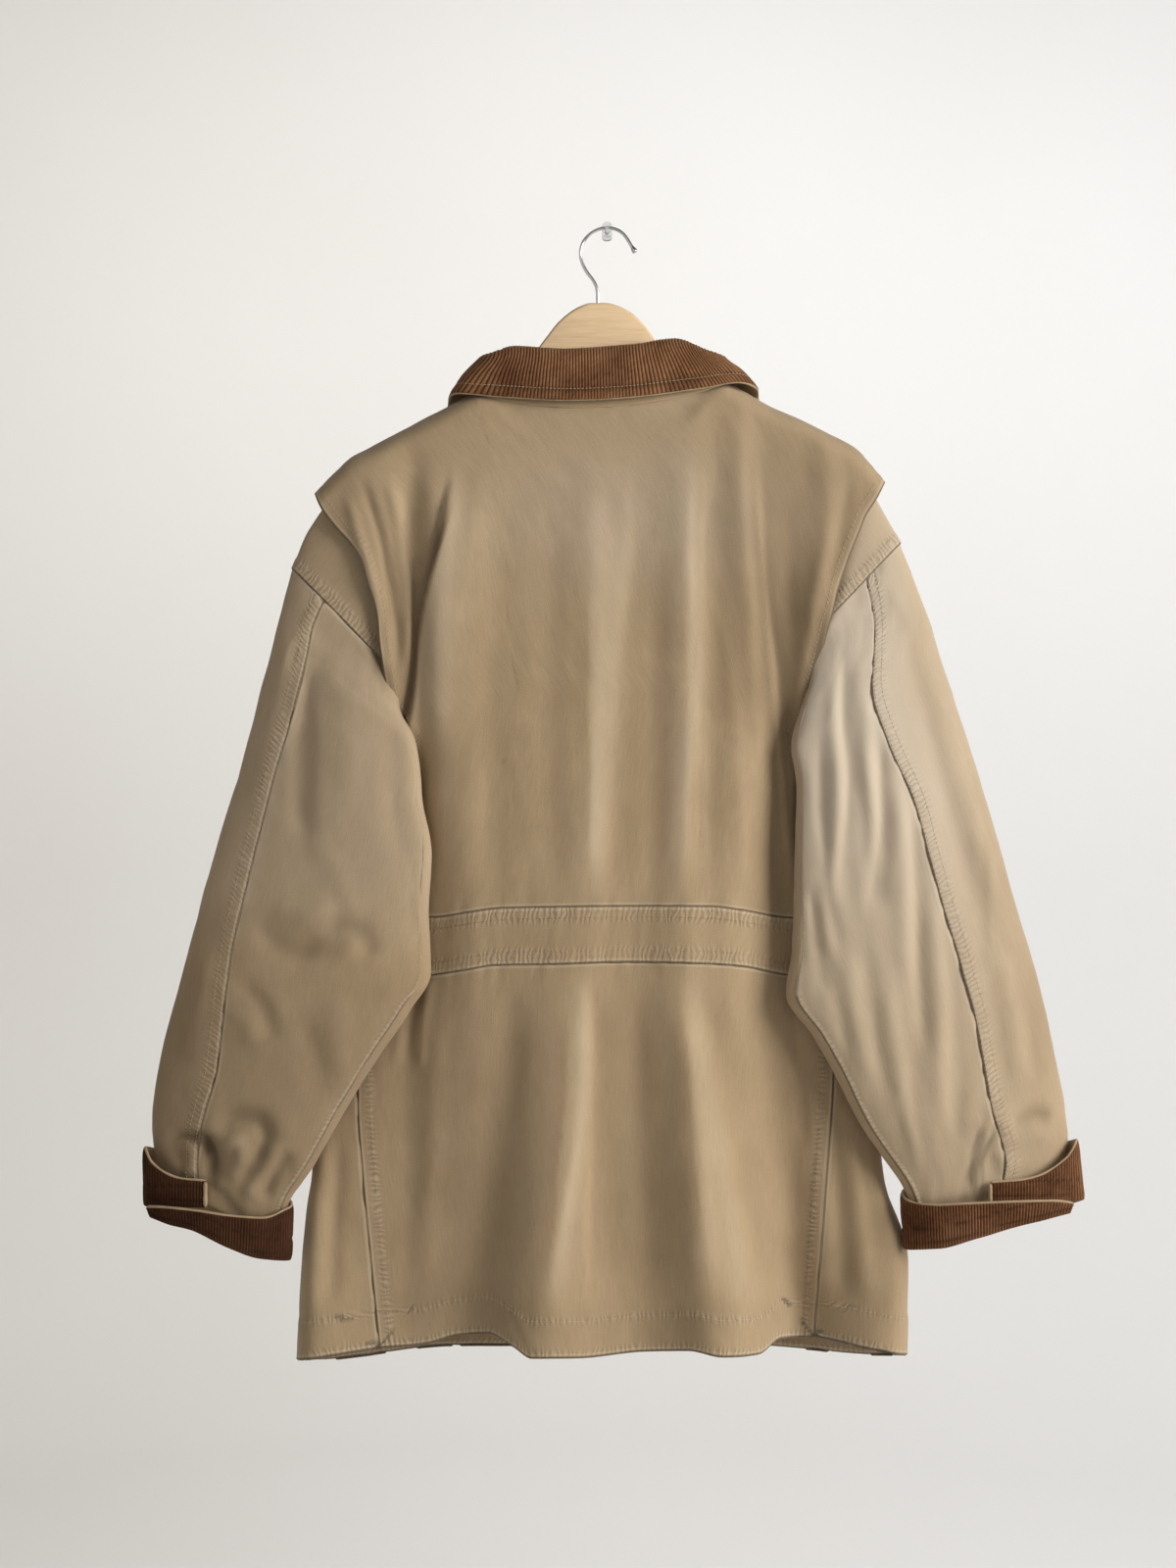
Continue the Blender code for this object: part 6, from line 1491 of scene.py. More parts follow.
def table_places(table, step):
    """Places of a sleeve table, evenly spaced along the sleeve."""
    rows = np.asarray(table)
    middle = 0.5 * (rows[:, 0:2] + rows[:, 2:4])
    lengths = travelled(middle)
    count = steps_for(lengths[-1], step)
    return np.interp(np.linspace(0.0, lengths[-1], count), lengths, np.arange(len(rows)))


def make_sleeve(side_name, band, sleeve, creases, lines, shades, seed):
    """A sleeve's band, its wide upper panel and its narrower under panel."""
    way = -1.0 if side_name == "left" else 1.0
    under_end = share_angle(UNDERARM_SHARE)
    full = 2.0 * math.pi

    def under_angles(seam):
        return sleeve_angles(share_angle(seam), under_end, UNDER_COUNT)

    def upper_angles(seam):
        return sleeve_angles(share_angle(seam), under_end - full, UPPER_COUNT)

    def band_angles(_):
        return sleeve_angles(under_end, under_end - full, BAND_COUNT)

    places = table_places(sleeve, WEAVE_STEP)
    for part, angles, sign in (("under", under_angles, -way), ("upper", upper_angles, way)):
        grid = sleeve_grid(sleeve, places, angles)
        node = f"sleeve_{part}_{side_name}"
        number = seed if part == "under" else seed + 5
        piece = Panel(f"{node}_cloth", grid, sign, CLOTH, "twill", node, number)
        x, z, y = piece.x, piece.z, piece.flat[..., 1]
        viewer = 1.0 - smoothstep(-46.0, -34.0, y)
        hold = smoothstep(0.0, 9.0, piece.away["right"]) * smoothstep(0.0, 12.0, piece.away["top"])
        near_seam = smoothstep(0.0, 8.0, piece.away["left"])
        piece.bend += 0.5 * crease_heights(creases, x, z, seed + 40) * viewer * hold * near_seam
        piece.fold(lines, seed + 44, viewer * hold * near_seam)
        piece.shade(shades, seed + 46, 1.0 - smoothstep(-28.0, -20.0, y))
        # Painted light on the right sleeve, most round the upper arm and less away from its back seam; the left
        # sleeve a little paler at the top, with painted shade darkening its lower part.
        if side_name == "right":
            outer = smoothstep(0.0, 60.0, piece.away["left"]) if part == "upper" else 0.0
            piece.fade_and_painted_light += (0.22 + 0.68 * np.exp(-(((z + 370.0) / 220.0) ** 2))) * (1.0 - 0.6 * outer)
        else:
            piece.fade_and_painted_light += 0.2 - 0.45 * smoothstep(-520.0, -700.0, z)
        wall = crease_heights(SLEEVE_FRONT_CREASES, np.abs(x), z, seed + 41)
        piece.bend += wall * (1.0 - viewer) * hold
        piece.fold(FRONT_LINES, 109, (1.0 - viewer) * hold)
        fade_under_cap = smoothstep(0.0, 70.0, piece.away["top"])
        piece.bend *= 0.35 + 0.65 * fade_under_cap
        piece.crumple(0.42, 15.0)
        piece.gathers("foot", 30.0, 1.1, 9.0)
        if part == "upper":
            piece.seam("left", (2.2, 9.4), 10.8, 0.45)
            piece.gathers("left", 15.0, 0.5, 6.5)
        else:
            piece.gathers("left", 10.0, 0.4, 6.5)
            piece.seam("left", (), 2.0, 0.0)
            low = 1.0 - smoothstep(-640.0, -600.0, z)
            piece.seam("right", (1.8,), 3.2, 0.5, limit=low, weight=0.7)
        piece.seam("top", (), 2.0, 0.0)
        piece.make()

    band_places = table_places(band, WEAVE_STEP * 0.75)
    grid = sleeve_grid(band, band_places, band_angles)
    node = f"sleeve_band_{side_name}"
    piece = Panel(f"{node}_cloth", grid, way, CLOTH, "twill", node, seed + 9)
    piece.crumple(0.35, 14.0)
    piece.seam("foot", (2.2, 8.2), 9.8, 0.75)
    # Painted light on the sleeve's band, stronger on the right.
    piece.fade_and_painted_light += 0.4 if side_name == "right" else 0.1
    piece.shade(shades, seed + 46, 1.0 - smoothstep(-46.0, -34.0, piece.flat[..., 1]))
    piece.make()


def smooth_rows(values, window):
    """Rows of a table averaged over a window."""
    half = window // 2
    ends = (np.repeat(values[:1], half, axis=0), np.repeat(values[-1:], half, axis=0))
    padded = np.concatenate([ends[0], values, ends[1]])
    total = np.concatenate([np.zeros((1, values.shape[1])), np.cumsum(padded, axis=0)])
    return (total[window:] - total[:-window]) / window


def offset_fine(grid, distance):
    """A fine grid moved along its own normals."""
    return grid + grid_normals(grid, 1.0) * distance


def corduroy_panel(name, grid, sign, node, seed, stitches, slot="corduroy"):
    """A corduroy panel whose ribs run along the grid's columns; five rows of points make one rib."""
    piece = Panel(name, grid, sign, CORDUROY - WALE_HEIGHT, slot, node, seed, placed=True)
    profile = np.array([0.0, 0.66, 1.0, 1.0, 0.66])[np.arange(len(grid)) % WALE_POINTS]
    rib_number = (np.arange(len(grid)) // WALE_POINTS)[:, None]
    run = piece.away["top"]
    down = piece.away["left"]
    uneven = 1.0 + 0.22 * lattice_noise(down / 9.0, rib_number * 1.37, seed) + 0.0 * run
    worn = 0.5 + 0.5 * lattice_noise(run / 24.0, down / 14.0, seed + 2)
    edges = smoothstep(-0.6, 1.6, piece.away["left"]) * smoothstep(-0.6, 1.6, piece.away["right"])
    height = WALE_HEIGHT * profile[:, None] * uneven * (0.75 + 0.25 * worn) * edges
    sewn = np.zeros(run.shape)
    for edge, place in stitches:
        sewn = np.maximum(sewn, line_dip(piece.away[edge], place, 0.75))
    piece.relief += height * (1.0 - 0.75 * sewn) - 0.25 * sewn
    piece.relief += 0.5 * (CORDUROY - WALE_HEIGHT) - 0.5 * WALE_HEIGHT
    piece.bend += 0.35 * lattice_noise(run / 16.0, down / 12.0, seed + 5)
    # The rib profile as tone, lower on the stitch lines: the material paints the grooves and stitch lines dark
    # as shade.
    piece.tone += profile[:, None] * (1.0 - 0.6 * sewn) + 0.0 * run
    return piece.make()


def bead(name, points, radius, seed, slot="twill"):
    """A rolled cloth edge: an uneven round bead along a line."""
    points = np.asarray(points, float)
    steps = np.linalg.norm(np.diff(points, axis=0), axis=1)
    length = steps.sum()
    count = steps_for(length, BEAD_STEP)
    line = resample(points, dense(count))
    place = np.linspace(0.0, length, count)
    uneven = 0.16 * lattice_noise(place / 4.5, 0.5, seed) + 0.1 * lattice_noise(place / 14.0, 3.5, seed)
    thick = radius * (1.0 + uneven)
    thick[:2] *= (0.35, 0.8)
    thick[-2:] *= (0.8, 0.35)
    rings = tube_rings(line, thick, BEAD_SIDES, np.array([0.0, 0.31, 0.95]))
    around = np.linspace(0.0, 2.0 * math.pi * radius, BEAD_SIDES, endpoint=False)
    cloth = np.stack([np.repeat(place, BEAD_SIDES), np.tile(around, count)], axis=-1) * MM
    tone = np.repeat(0.15 * lattice_noise(place / 5.0, 1.0, seed + 3), BEAD_SIDES)
    made = mesh_piece(name, rings.reshape(-1, 3), capped_faces(count, BEAD_SIDES), cloth, {"tone": tone})
    return finish_piece(made, slot)


def make_cuff(side_name, table, oval, seed):
    """A turned-back cuff: its corduroy face with ribs outside and its twill shell inside."""
    rows = np.asarray(table)
    centre_x, centre_y, half_x, half_y = oval
    way = math.copysign(1.0, centre_x)

    def cuff_points(turns, heights):
        at = through(rows[:, 0], rows, turns)
        grid = []
        for turn, top_z, foot_z, top_out, foot_out, shift in at:
            angle = math.radians(turn)
            out = top_out + (foot_out - top_out) * heights
            x = centre_x + way * (half_x + out) * math.cos(angle)
            full = math.copysign(abs(math.sin(angle)) ** EDGE_FULLNESS, math.sin(angle))
            y = centre_y + (half_y + out) * full + shift
            grid.append(np.stack([x, y, top_z + (foot_z - top_z) * heights], axis=1))
        return np.array(grid)

    coarse_turns = np.linspace(rows[0, 0], rows[-1, 0], 400)
    coarse = cuff_points(coarse_turns, np.array([0.5]))[:, 0]
    lengths = travelled(coarse)
    wales = int(round(lengths[-1] / WALE))
    count = wales * WALE_POINTS + 1
    turns = np.interp(np.linspace(0.0, lengths[-1], count), lengths, coarse_turns)
    grid = cuff_points(turns, dense(CUFF_ROWS))
    face = true_place(offset_fine(grid, -way * (0.5 * CORDUROY + LAYER_HALF_GAP)))
    shell = true_place(offset_fine(grid, way * (0.5 * UNDER_CLOTH + LAYER_HALF_GAP)))
    node = f"cuff_face_{side_name}"
    corduroy_panel(f"{node}_cloth", face, -way, node, seed, CUFF_STITCHES, f"corduroy_{side_name}")
    node = f"cuff_shell_{side_name}"
    piece = Panel(f"{node}_cloth", shell[::3], -way, UNDER_CLOTH, "twill", node, seed + 3, placed=True)
    piece.crumple(0.15, 8.0)
    piece.make()
    rim = 0.5 * (face[:, 0] + shell[:, 0]) + np.array([0.0, 0.0, RIM_RISE])
    bead(f"cuff_rim_{side_name}", rim, RIM_RADIUS, seed + 8)


def cuff_end(side_name, end_x, radius, seed):
    """The rolled twill end of a cuff's flap, down its short edge that faces the viewer."""
    grid = PANELS[f"cuff_face_{side_name}_cloth"].outer
    ends = (grid[0], grid[-1])
    nearest = min(ends, key=lambda edge: abs(edge[:, 0].mean() - end_x) + edge[:, 1].mean())
    bead(f"cuff_end_{side_name}", nearest, radius, seed)


def make_collar():
    """The collar: a ribbed corduroy strip folded over a twill one, round the neck."""
    rows = np.asarray(COLLAR_SECTIONS)
    fine = np.linspace(0.0, len(rows) - 1.0, 2001)
    sections = through(np.arange(len(rows)), rows, fine)
    crest_line = true_place(sections[:, 3:6])
    lengths = travelled(crest_line)
    wales = int(round(lengths[-1] / WALE))
    count = wales * WALE_POINTS + 1
    places = np.interp(np.linspace(0.0, lengths[-1], count), lengths, fine)
    sections = through(np.arange(len(rows)), rows, places)
    smooth_window = WALE_POINTS * 4 + 1
    seam_way = unit(smooth_rows(np.gradient(sections[:, 0:3], axis=0), smooth_window))
    crest_way = unit(smooth_rows(np.gradient(sections[:, 3:6], axis=0), smooth_window))
    grid = []
    for place, row, along_seam, along_crest in zip(places, sections, seam_way, crest_way):
        corner = min(abs(place - CORNER_ROWS[0]), abs(place - CORNER_ROWS[1]))
        stand_gap = STAND_GAP + CORNER_GAP * float(1.0 - smoothstep(0.5, 1.5, corner))
        neck, crest, edge = row[0:3], row[3:6], row[6:9]
        rise = unit(crest - neck)
        out = unit(np.cross(along_crest, rise))
        start = neck + unit(rise - along_seam * np.dot(rise, along_seam)) * stand_gap
        roll = [crest + out * CREST_HALF * (1.0 + a) - rise * CREST_HALF * b for a, b in CREST_BEND]
        low_mid = 0.5 * (roll[-1] + edge) + out * FALL_SPRING
        line = np.array([start, 0.5 * (start + roll[0])] + roll + [low_mid, edge])
        grid.append(along(line, COLLAR_SHARES))
    grid = np.array(grid)
    cord = true_place(offset_fine(grid, -(0.5 * CORDUROY + LAYER_HALF_GAP)))
    twill = true_place(offset_fine(grid, 0.5 * UNDER_CLOTH + LAYER_HALF_GAP))
    corduroy_panel("collar_top_cloth", cord, -1.0, "collar_top", 301, COLLAR_STITCHES)
    grid = twill[::3]
    piece = Panel("collar_under_cloth", grid, -1.0, UNDER_CLOTH, "twill", "collar_under", 307, placed=True)
    piece.crumple(0.15, 8.0)
    piece.make()
    fall = unit(twill[:, -1] - twill[:, -4])
    bead("collar_rim", 0.35 * cord[:, -1] + 0.65 * twill[:, -1] + 0.8 * fall, 0.85, 311)


def make_hanger():
    """The wooden hanger: a rounded bar along the table's outline."""
    table = np.asarray(HANGER_EDGES)
    span = np.linspace(0.0, len(table) - 1.0, 260)
    rows = through(np.arange(len(table)), table, span)
    rings = []
    sides = 28
    for x, top, foot in rows:
        middle = 0.5 * (top + foot)
        tall = 0.5 * (top - foot)
        corner = min(3.4, 0.9 * tall)
        ring = []
        for k in range(sides):
            angle = 2.0 * math.pi * (k + 0.5) / sides
            across = math.cos(angle)
            up = math.sin(angle)
            y = RIDGE_Y + math.copysign(HANGER_HALF - corner, across) + corner * across
            z = middle + math.copysign(tall - corner, up) + corner * up
            ring.append((x, y, z))
        rings.append(ring)
    rings = true_place(np.array(rings))
    for end in (0, -1):
        centre = rings[end].mean(axis=0)
        rings[end] = centre + (rings[end] - centre) * 0.86
    faces = capped_faces(len(rings), sides)
    solid_piece("hanger_bar", rings.reshape(-1, 3), faces, "hanger_wood", "hanger_board")


def make_wire():
    """The wire hook with a small rounded ball at its free end."""
    table = np.asarray(WIRE_PATH)
    lengths = travelled(table[:, :2])
    places = np.linspace(0.0, lengths[-1], 220)
    x = smooth_line(through(lengths, table[:, 0], places), 15)
    z = smooth_line(through(lengths, table[:, 1], places), 15)
    radius = smooth_line(through(lengths, table[:, 2], places), 5)
    path = true_place(np.stack([x, np.full(len(x), RIDGE_Y), z], axis=1))
    left = lengths[-1] - places
    radius = radius * np.sqrt(np.clip(1.0 - np.clip(1.0 - left / 1.8, 0.0, 1.0) ** 2, 0.03, 1.0))
    rings = tube_rings(path, radius, HOOK_SIDES, np.array([0.0, 1.0, 0.0]))
    faces = capped_faces(len(rings), HOOK_SIDES)
    solid_piece("hook_wire", rings.reshape(-1, 3), faces, "hook_metal", "hanger_hook")


def smooth_line(values, window):
    """A line of values averaged over a window, its ends kept."""
    half = window // 2
    padded = np.concatenate([np.full(half, values[0]), values, np.full(half, values[-1])])
    return np.convolve(padded, np.full(window, 1.0 / window), mode="valid")


def rounded_outline(wide, high, corner, sides):
    """Points of a rounded rectangle about 0, 0."""
    points = []
    for k in range(sides):
        angle = 2.0 * math.pi * (k + 0.5) / sides
        x = math.copysign(0.5 * wide - corner, math.cos(angle)) + corner * math.cos(angle)
        z = math.copysign(0.5 * high - corner, math.sin(angle)) + corner * math.sin(angle)
        points.append((x, z))
    return np.array(points)


def make_wall_hook():
    """The clear wall hook: a pillowed plate and a prong that turns up at its end, as one closed form."""
    x0, z0, wide, high, thick = WALL_PLATE
    outline = rounded_outline(wide, high, WALL_PLATE_CORNER, PLATE_SIDES)
    rings = []
    for y, size in ((0.0, 0.93), (-0.3, 0.99), (-0.8, 1.0), (-1.4, 0.99), (-1.9, 0.93), (-thick, 0.8)):
        rings.append([(x0 + x * size, y, z0 + z * size) for x, z in outline])
    plate = np.array(rings)
    faces = capped_faces(len(plate), PLATE_SIDES)
    points = [true_place(plate.reshape(-1, 3))]
    table = np.asarray(PRONG)
    lengths = travelled(table[:, :2])
    places = np.linspace(0.0, lengths[-1], PRONG_ROWS)
    y, foot, top, half = (smooth_line(through(lengths, table[:, k], places), 5) for k in range(4))
    y[0] = -0.5 * thick
    prong = []
    for row in range(PRONG_ROWS):
        tall = top[row] - foot[row]
        shape = rounded_outline(2.0 * half[row], tall, min(0.9 * half[row], 0.45 * tall), HOOK_SIDES)
        middle = 0.5 * (top[row] + foot[row])
        size = 0.75 if row == PRONG_ROWS - 1 else 1.0
        prong.append([(PRONG_X + a * size, y[row], middle + b * size) for a, b in shape])
    faces.extend(capped_faces(PRONG_ROWS, HOOK_SIDES, len(plate) * PLATE_SIDES))
    points.append(true_place(np.array(prong).reshape(-1, 3)))
    solid_piece("clear_wall_hook", np.concatenate(points), faces, "wall_hook", "wall_hook")


def lathe(profile, centre, sides):
    """Rings turned about an axis along Y: each row of the profile is a depth and a radius."""
    angles = np.linspace(0.0, 2.0 * math.pi, sides, endpoint=False)
    rings = []
    for y, radius in profile:
        x, z = centre[0] + radius * np.cos(angles), centre[1] + radius * np.sin(angles)
        rings.append(np.stack([x, np.full(sides, y), z], axis=1))
    return np.array(rings)


def make_buttons():
    """Round buttons with a raised rim and crossed threads, on the wall side."""
    profile = (
        (0.0, 0.15), (0.0, 0.8), (0.12, 0.9), (0.35, 0.97), (0.5, 1.0), (0.68, 0.97), (0.84, 0.92),
        (0.97, 0.86), (1.0, 0.8), (0.97, 0.74), (0.86, 0.68), (0.78, 0.6), (0.76, 0.45), (0.76, 0.15),
    )
    for number, z in enumerate(BUTTON_Z, start=1):
        near = float(front_y(CENTRE_X, z)) + 0.5 * CLOTH + BUTTON_CLEAR
        shape = [(near + BUTTON_THICK * share, BUTTON_RADIUS * radius) for share, radius in profile]
        rings = lathe(shape, (CENTRE_X, z), BUTTON_SIDES)
        spots = true_place(rings.reshape(-1, 3))
        faces = capped_faces(len(rings), BUTTON_SIDES)
        solid_piece(f"coat_button_{number}", spots, faces, "button", f"button_{number}")
    points, faces = [], []
    for z in BUTTON_Z:
        near = float(front_y(CENTRE_X, z)) + 0.5 * CLOTH + BUTTON_CLEAR
        y = near + 0.8 * BUTTON_THICK
        for x0, z0, x1, z1 in ((-1.7, -1.7, 1.7, 1.7), (-1.7, 1.7, 1.7, -1.7)):
            share = dense(BUTTON_THREAD_ROWS)
            bow = y - 0.9 + 1.4 * np.sin(math.pi * share) ** 0.5
            path = np.stack([CENTRE_X + x0 + (x1 - x0) * share, bow, z + z0 + (z1 - z0) * share], axis=1)
            thick = np.full(BUTTON_THREAD_ROWS, BUTTON_THREAD_RADIUS)
            rings = tube_rings(true_place(path), thick, BEAD_SIDES, np.array([0.0, 1.0, 0.1]))
            base = len(points) * BUTTON_THREAD_ROWS * BEAD_SIDES
            faces.extend(capped_faces(BUTTON_THREAD_ROWS, BEAD_SIDES, base))
            points.append(rings.reshape(-1, 3))
    solid_piece("button_threads", np.concatenate(points), faces, "thread")


class Nodes:
    """A node material that is built up from values, colours and sockets."""

    def __init__(self, name):
        self.made = bpy.data.materials.new(name)
        self.made.use_nodes = True
        self.tree = self.made.node_tree
        self.place = self.add("ShaderNodeTexCoord").outputs["Object"]

    def add(self, kind, **settings):
        """A node with its settings."""
        node = self.tree.nodes.new(kind)
        for key, value in settings.items():
            setattr(node, key, value)
        return node

    def put(self, item, socket):
        """Set a socket to a number or a colour, or link it."""
        if isinstance(item, bpy.types.NodeSocket):
            self.tree.links.new(item, socket)
        elif isinstance(item, tuple) and len(socket.default_value) == 4:
            socket.default_value = (*item, 1.0)
        else:
            socket.default_value = item

    def work(self, operation, *values):
        """The output of a math node."""
        node = self.add("ShaderNodeMath", operation=operation)
        for item, socket in zip(values, node.inputs):
            self.put(item, socket)
        return node.outputs[0]

    def times(self, first, second, more=None):
        """The product of two values, and more added to it."""
        if more is None:
            return self.work("MULTIPLY", first, second)
        return self.work("MULTIPLY_ADD", first, second, more)

    def above(self, value, way=1.0):
        """A value where it is above 0, or below 0 where the way is -1."""
        return self.work("MAXIMUM", value if way > 0.0 else self.times(value, way), 0.0)

    def bell(self, value, width, middle=0.0):
        """1 where the value is at the middle, fading over its width."""
        share = self.work("DIVIDE", self.work("SUBTRACT", value, middle), width)
        return self.work("EXPONENT", self.times(self.times(share, share), -1.0))

    def noise(self, source, scale, detail=2.0, rough=0.5, stretch=(1.0, 1.0, 1.0), distortion=0.0):
        """A noise value from stretched coordinates."""
        mapping = self.add("ShaderNodeMapping")
        self.put(stretch, mapping.inputs["Scale"])
        self.put(source, mapping.inputs["Vector"])
        node = self.add("ShaderNodeTexNoise")
        sizes = {"Scale": scale, "Detail": detail, "Roughness": rough, "Distortion": distortion}
        for key, item in {**sizes, "Vector": mapping.outputs[0]}.items():
            self.put(item, node.inputs[key])
        return node.outputs["Fac"]

    def ramp(self, source, stops):
        """A colour ramp's output."""
        node = self.add("ShaderNodeValToRGB")
        ramp = node.color_ramp
        while len(ramp.elements) < len(stops):
            ramp.elements.new(0.5)
        for element, (place, colour) in zip(ramp.elements, stops):
            element.position = place
            element.color = (*colour, 1.0)
        self.put(source, node.inputs["Fac"])
        return node.outputs["Color"]

    def mix(self, factor, first, second):
        """A mix of two colours."""
        node = self.add("ShaderNodeMix", data_type="RGBA", blend_type="MIX")
        for socket, item in ((0, factor), (6, first), (7, second)):
            self.put(item, node.inputs[socket])
        return node.outputs[2]

    def bump(self, height, strength, distance):
        """A bump node's normal."""
        node = self.add("ShaderNodeBump")
        for key, item in {"Strength": strength, "Distance": distance, "Height": height}.items():
            self.put(item, node.inputs[key])
        return node.outputs["Normal"]

    def attribute(self, name):
        """A point attribute's value."""
        return self.add("ShaderNodeAttribute", attribute_name=name).outputs["Fac"]

    def cloth(self):
        """The cloth's own coordinates, in metres along it."""
        return self.add("ShaderNodeUVMap", uv_map="cloth").outputs["UV"]

    def clamp(self, value):
        """A value held between 0 and 1."""
        node = self.add("ShaderNodeClamp")
        self.put(value, node.inputs["Value"])
        return node.outputs[0]

    def finish(self, colour, rough, normal=None, **fixed):
        """Link the shader's colour, roughness and normal, and set its fixed values."""
        shader = self.tree.nodes["Principled BSDF"]
        self.put(colour, shader.inputs["Base Color"])
        self.put(rough, shader.inputs["Roughness"])
        if normal is not None:
            self.put(normal, shader.inputs["Normal"])
        for key, item in fixed.items():
            self.put(item, shader.inputs[key.replace("_", " ")])
        return self.made


def twill_material():
    """Faded cotton twill: mottling and yarn streaks, painted light and shade from the panels, and at its seams
    dark lines and stitch dips painted as shade and puckers painted with shade and highlight.
    """
    nodes = Nodes("tan_twill")
    times = nodes.times
    cloth = nodes.cloth()
    broad = nodes.noise(nodes.place, 16.0, 2.0, 0.5)
    slub = nodes.noise(cloth, 640.0, 2.0, 0.6, stretch=(1.0, 0.085, 1.0))
    speck = nodes.noise(cloth, 1300.0, 1.0, 0.5)
    total = nodes.work("ADD", times(speck, 0.36, times(slub, 0.26, times(broad, 0.26))), 0.06)
    colour = nodes.ramp(total, ((0.28, TWILL_DARK), (0.5, TWILL_MIDDLE), (0.72, TWILL_LIGHT)))
    # Painted light and fade: paler where this is above 0, and darker as painted shade where it is below 0.
    fade_and_painted_light = nodes.attribute("fade_and_painted_light")
    colour = nodes.mix(nodes.above(fade_and_painted_light), colour, TWILL_FADED_AND_LIT)
    colour = nodes.mix(nodes.above(fade_and_painted_light, -1.0), colour, tuple(c * 0.3 for c in TWILL_DARK))

    gap = times(nodes.work("SUBTRACT", 1.0, nodes.attribute("seam_near")), SEAM_REACH)
    row = times(nodes.work("SUBTRACT", 1.0, nodes.attribute("row_near")), ROW_REACH)
    run = nodes.attribute("seam_run")
    along_seam = nodes.add("ShaderNodeCombineXYZ")
    nodes.put(nodes.work("DIVIDE", run, PUCKER_STEP * 2.0), along_seam.inputs[0])
    nodes.put(nodes.work("DIVIDE", gap, PUCKER_STEP * 3.0), along_seam.inputs[1])
    wrinkle = nodes.noise(along_seam.outputs[0], 1.0, 1.0, 0.4)
    phase = times(nodes.work("DIVIDE", run, PUCKER_STEP), 2.0 * math.pi)
    swing = times(nodes.work("SINE", times(wrinkle, 13.0, phase)), times(broad, 1.3, -0.1))
    swing = times(swing, nodes.bell(row, PUCKER_REACH))
    sewn = nodes.bell(row, 0.55)
    closed = nodes.bell(gap, 0.6)
    folded = nodes.bell(gap, 0.8, 2.1)

    tone = nodes.attribute("tone")
    # Painted shade: the seam's closed line, stitch dips, the dark sides of puckers and tone below 0.
    low = times(closed, 0.75, times(sewn, 0.3, times(nodes.above(swing, -1.0), 0.42)))
    low = times(nodes.above(tone, -1.0), 0.8, low)
    # Painted highlight and wear: tone above 0, the seam's folded edge and the pale sides of puckers.
    high = times(nodes.above(tone), 0.6, times(folded, 0.34, times(nodes.above(swing), 0.42)))
    colour = nodes.mix(nodes.work("MINIMUM", high, 0.7), colour, TWILL_PALE)
    colour = nodes.mix(nodes.work("MINIMUM", low, 0.85), colour, tuple(c * 0.36 for c in TWILL_DARK))
    height = times(swing, 0.3, times(slub, 0.12, times(speck, 0.14)))
    height = times(closed, -0.6, times(sewn, -0.3, height))
    return nodes.finish(
        colour, times(speck, 0.14, 0.8), nodes.bump(height, 1.0, 0.001), Specular_IOR_Level=0.2,
        Sheen_Weight=0.2, Sheen_Roughness=0.45, Sheen_Tint=(0.95, 0.95, 1.0),
    )


def corduroy_material(name, share):
    """Brown corduroy: grooves painted dark as shade, worn rib tops, and uneven wear; a share below 1 makes a
    darker, warmer copy as painted shade.
    """
    nodes = Nodes(name)
    times = nodes.times
    cloth = nodes.cloth()
    broad = nodes.noise(nodes.place, 28.0, 3.0, 0.6)
    pile = nodes.noise(cloth, 900.0, 2.0, 0.7)
    streak = nodes.noise(cloth, 260.0, 3.0, 0.6)
    worn = nodes.work("SUBTRACT", times(broad, 0.9, times(streak, 0.45)), 0.42)
    cool = share * (0.78 + 0.22 * share)
    warm = (share, cool, cool)
    shades = [tuple(c * w for c, w in zip(shade, warm)) for shade in (CORD_DARK, CORD_MIDDLE, CORD_PALE)]
    top = nodes.ramp(worn, tuple(zip((0.05, 0.3, 0.62), shades)))
    # Grooves take the painted shade colour, rib tops the worn colour.
    lift = times(pile, 0.35, nodes.work("SUBTRACT", nodes.attribute("tone"), 0.17))
    colour = nodes.mix(nodes.clamp(lift), CORD_GROOVE_SHADE, top)
    return nodes.finish(
        colour, times(pile, 0.12, 0.86), nodes.bump(pile, 0.5, 0.0005),
        Specular_IOR_Level=0.1, Sheen_Weight=0.3 * share, Sheen_Roughness=0.4, Sheen_Tint=(1.0, 0.72, 0.5),
    )


def wood_material():
    """Pale varnished wood with a straight grain along the hanger."""
    nodes = Nodes("pale_wood")
    grain = nodes.noise(nodes.place, 60.0, 5.0, 0.6, stretch=(0.12, 1.0, 1.0), distortion=0.6)
    fine = nodes.noise(nodes.place, 620.0, 3.0, 0.65, stretch=(0.05, 1.0, 1.0))
    broad = nodes.noise(nodes.place, 14.0, 2.0, 0.5, stretch=(0.4, 1.0, 1.0))
    total = nodes.times(broad, 0.2, nodes.times(fine, 0.3, nodes.times(grain, 0.5)))
    colour = nodes.ramp(total, ((0.3, (0.7, 0.45, 0.25)), (0.5, (0.9, 0.66, 0.4)), (0.7, (0.96, 0.78, 0.53))))
    bump = nodes.bump(total, 0.15, 0.0006)
    return nodes.finish(colour, nodes.times(fine, 0.2, 0.3), bump, Coat_Weight=0.35, Coat_Roughness=0.22)


def metal_material():
    """Bright plated wire with fine draw marks."""
    nodes = Nodes("plated_wire")
    marks = nodes.noise(nodes.place, 800.0, 2.0, 0.5)
    dull = nodes.noise(nodes.place, 90.0, 2.0, 0.5)
    colour = nodes.ramp(dull, ((0.3, (0.62, 0.62, 0.63)), (0.7, (0.86, 0.86, 0.88))))
    return nodes.finish(colour, nodes.times(marks, 0.12, 0.12), nodes.bump(marks, 0.08, 0.0002), Metallic=1.0)


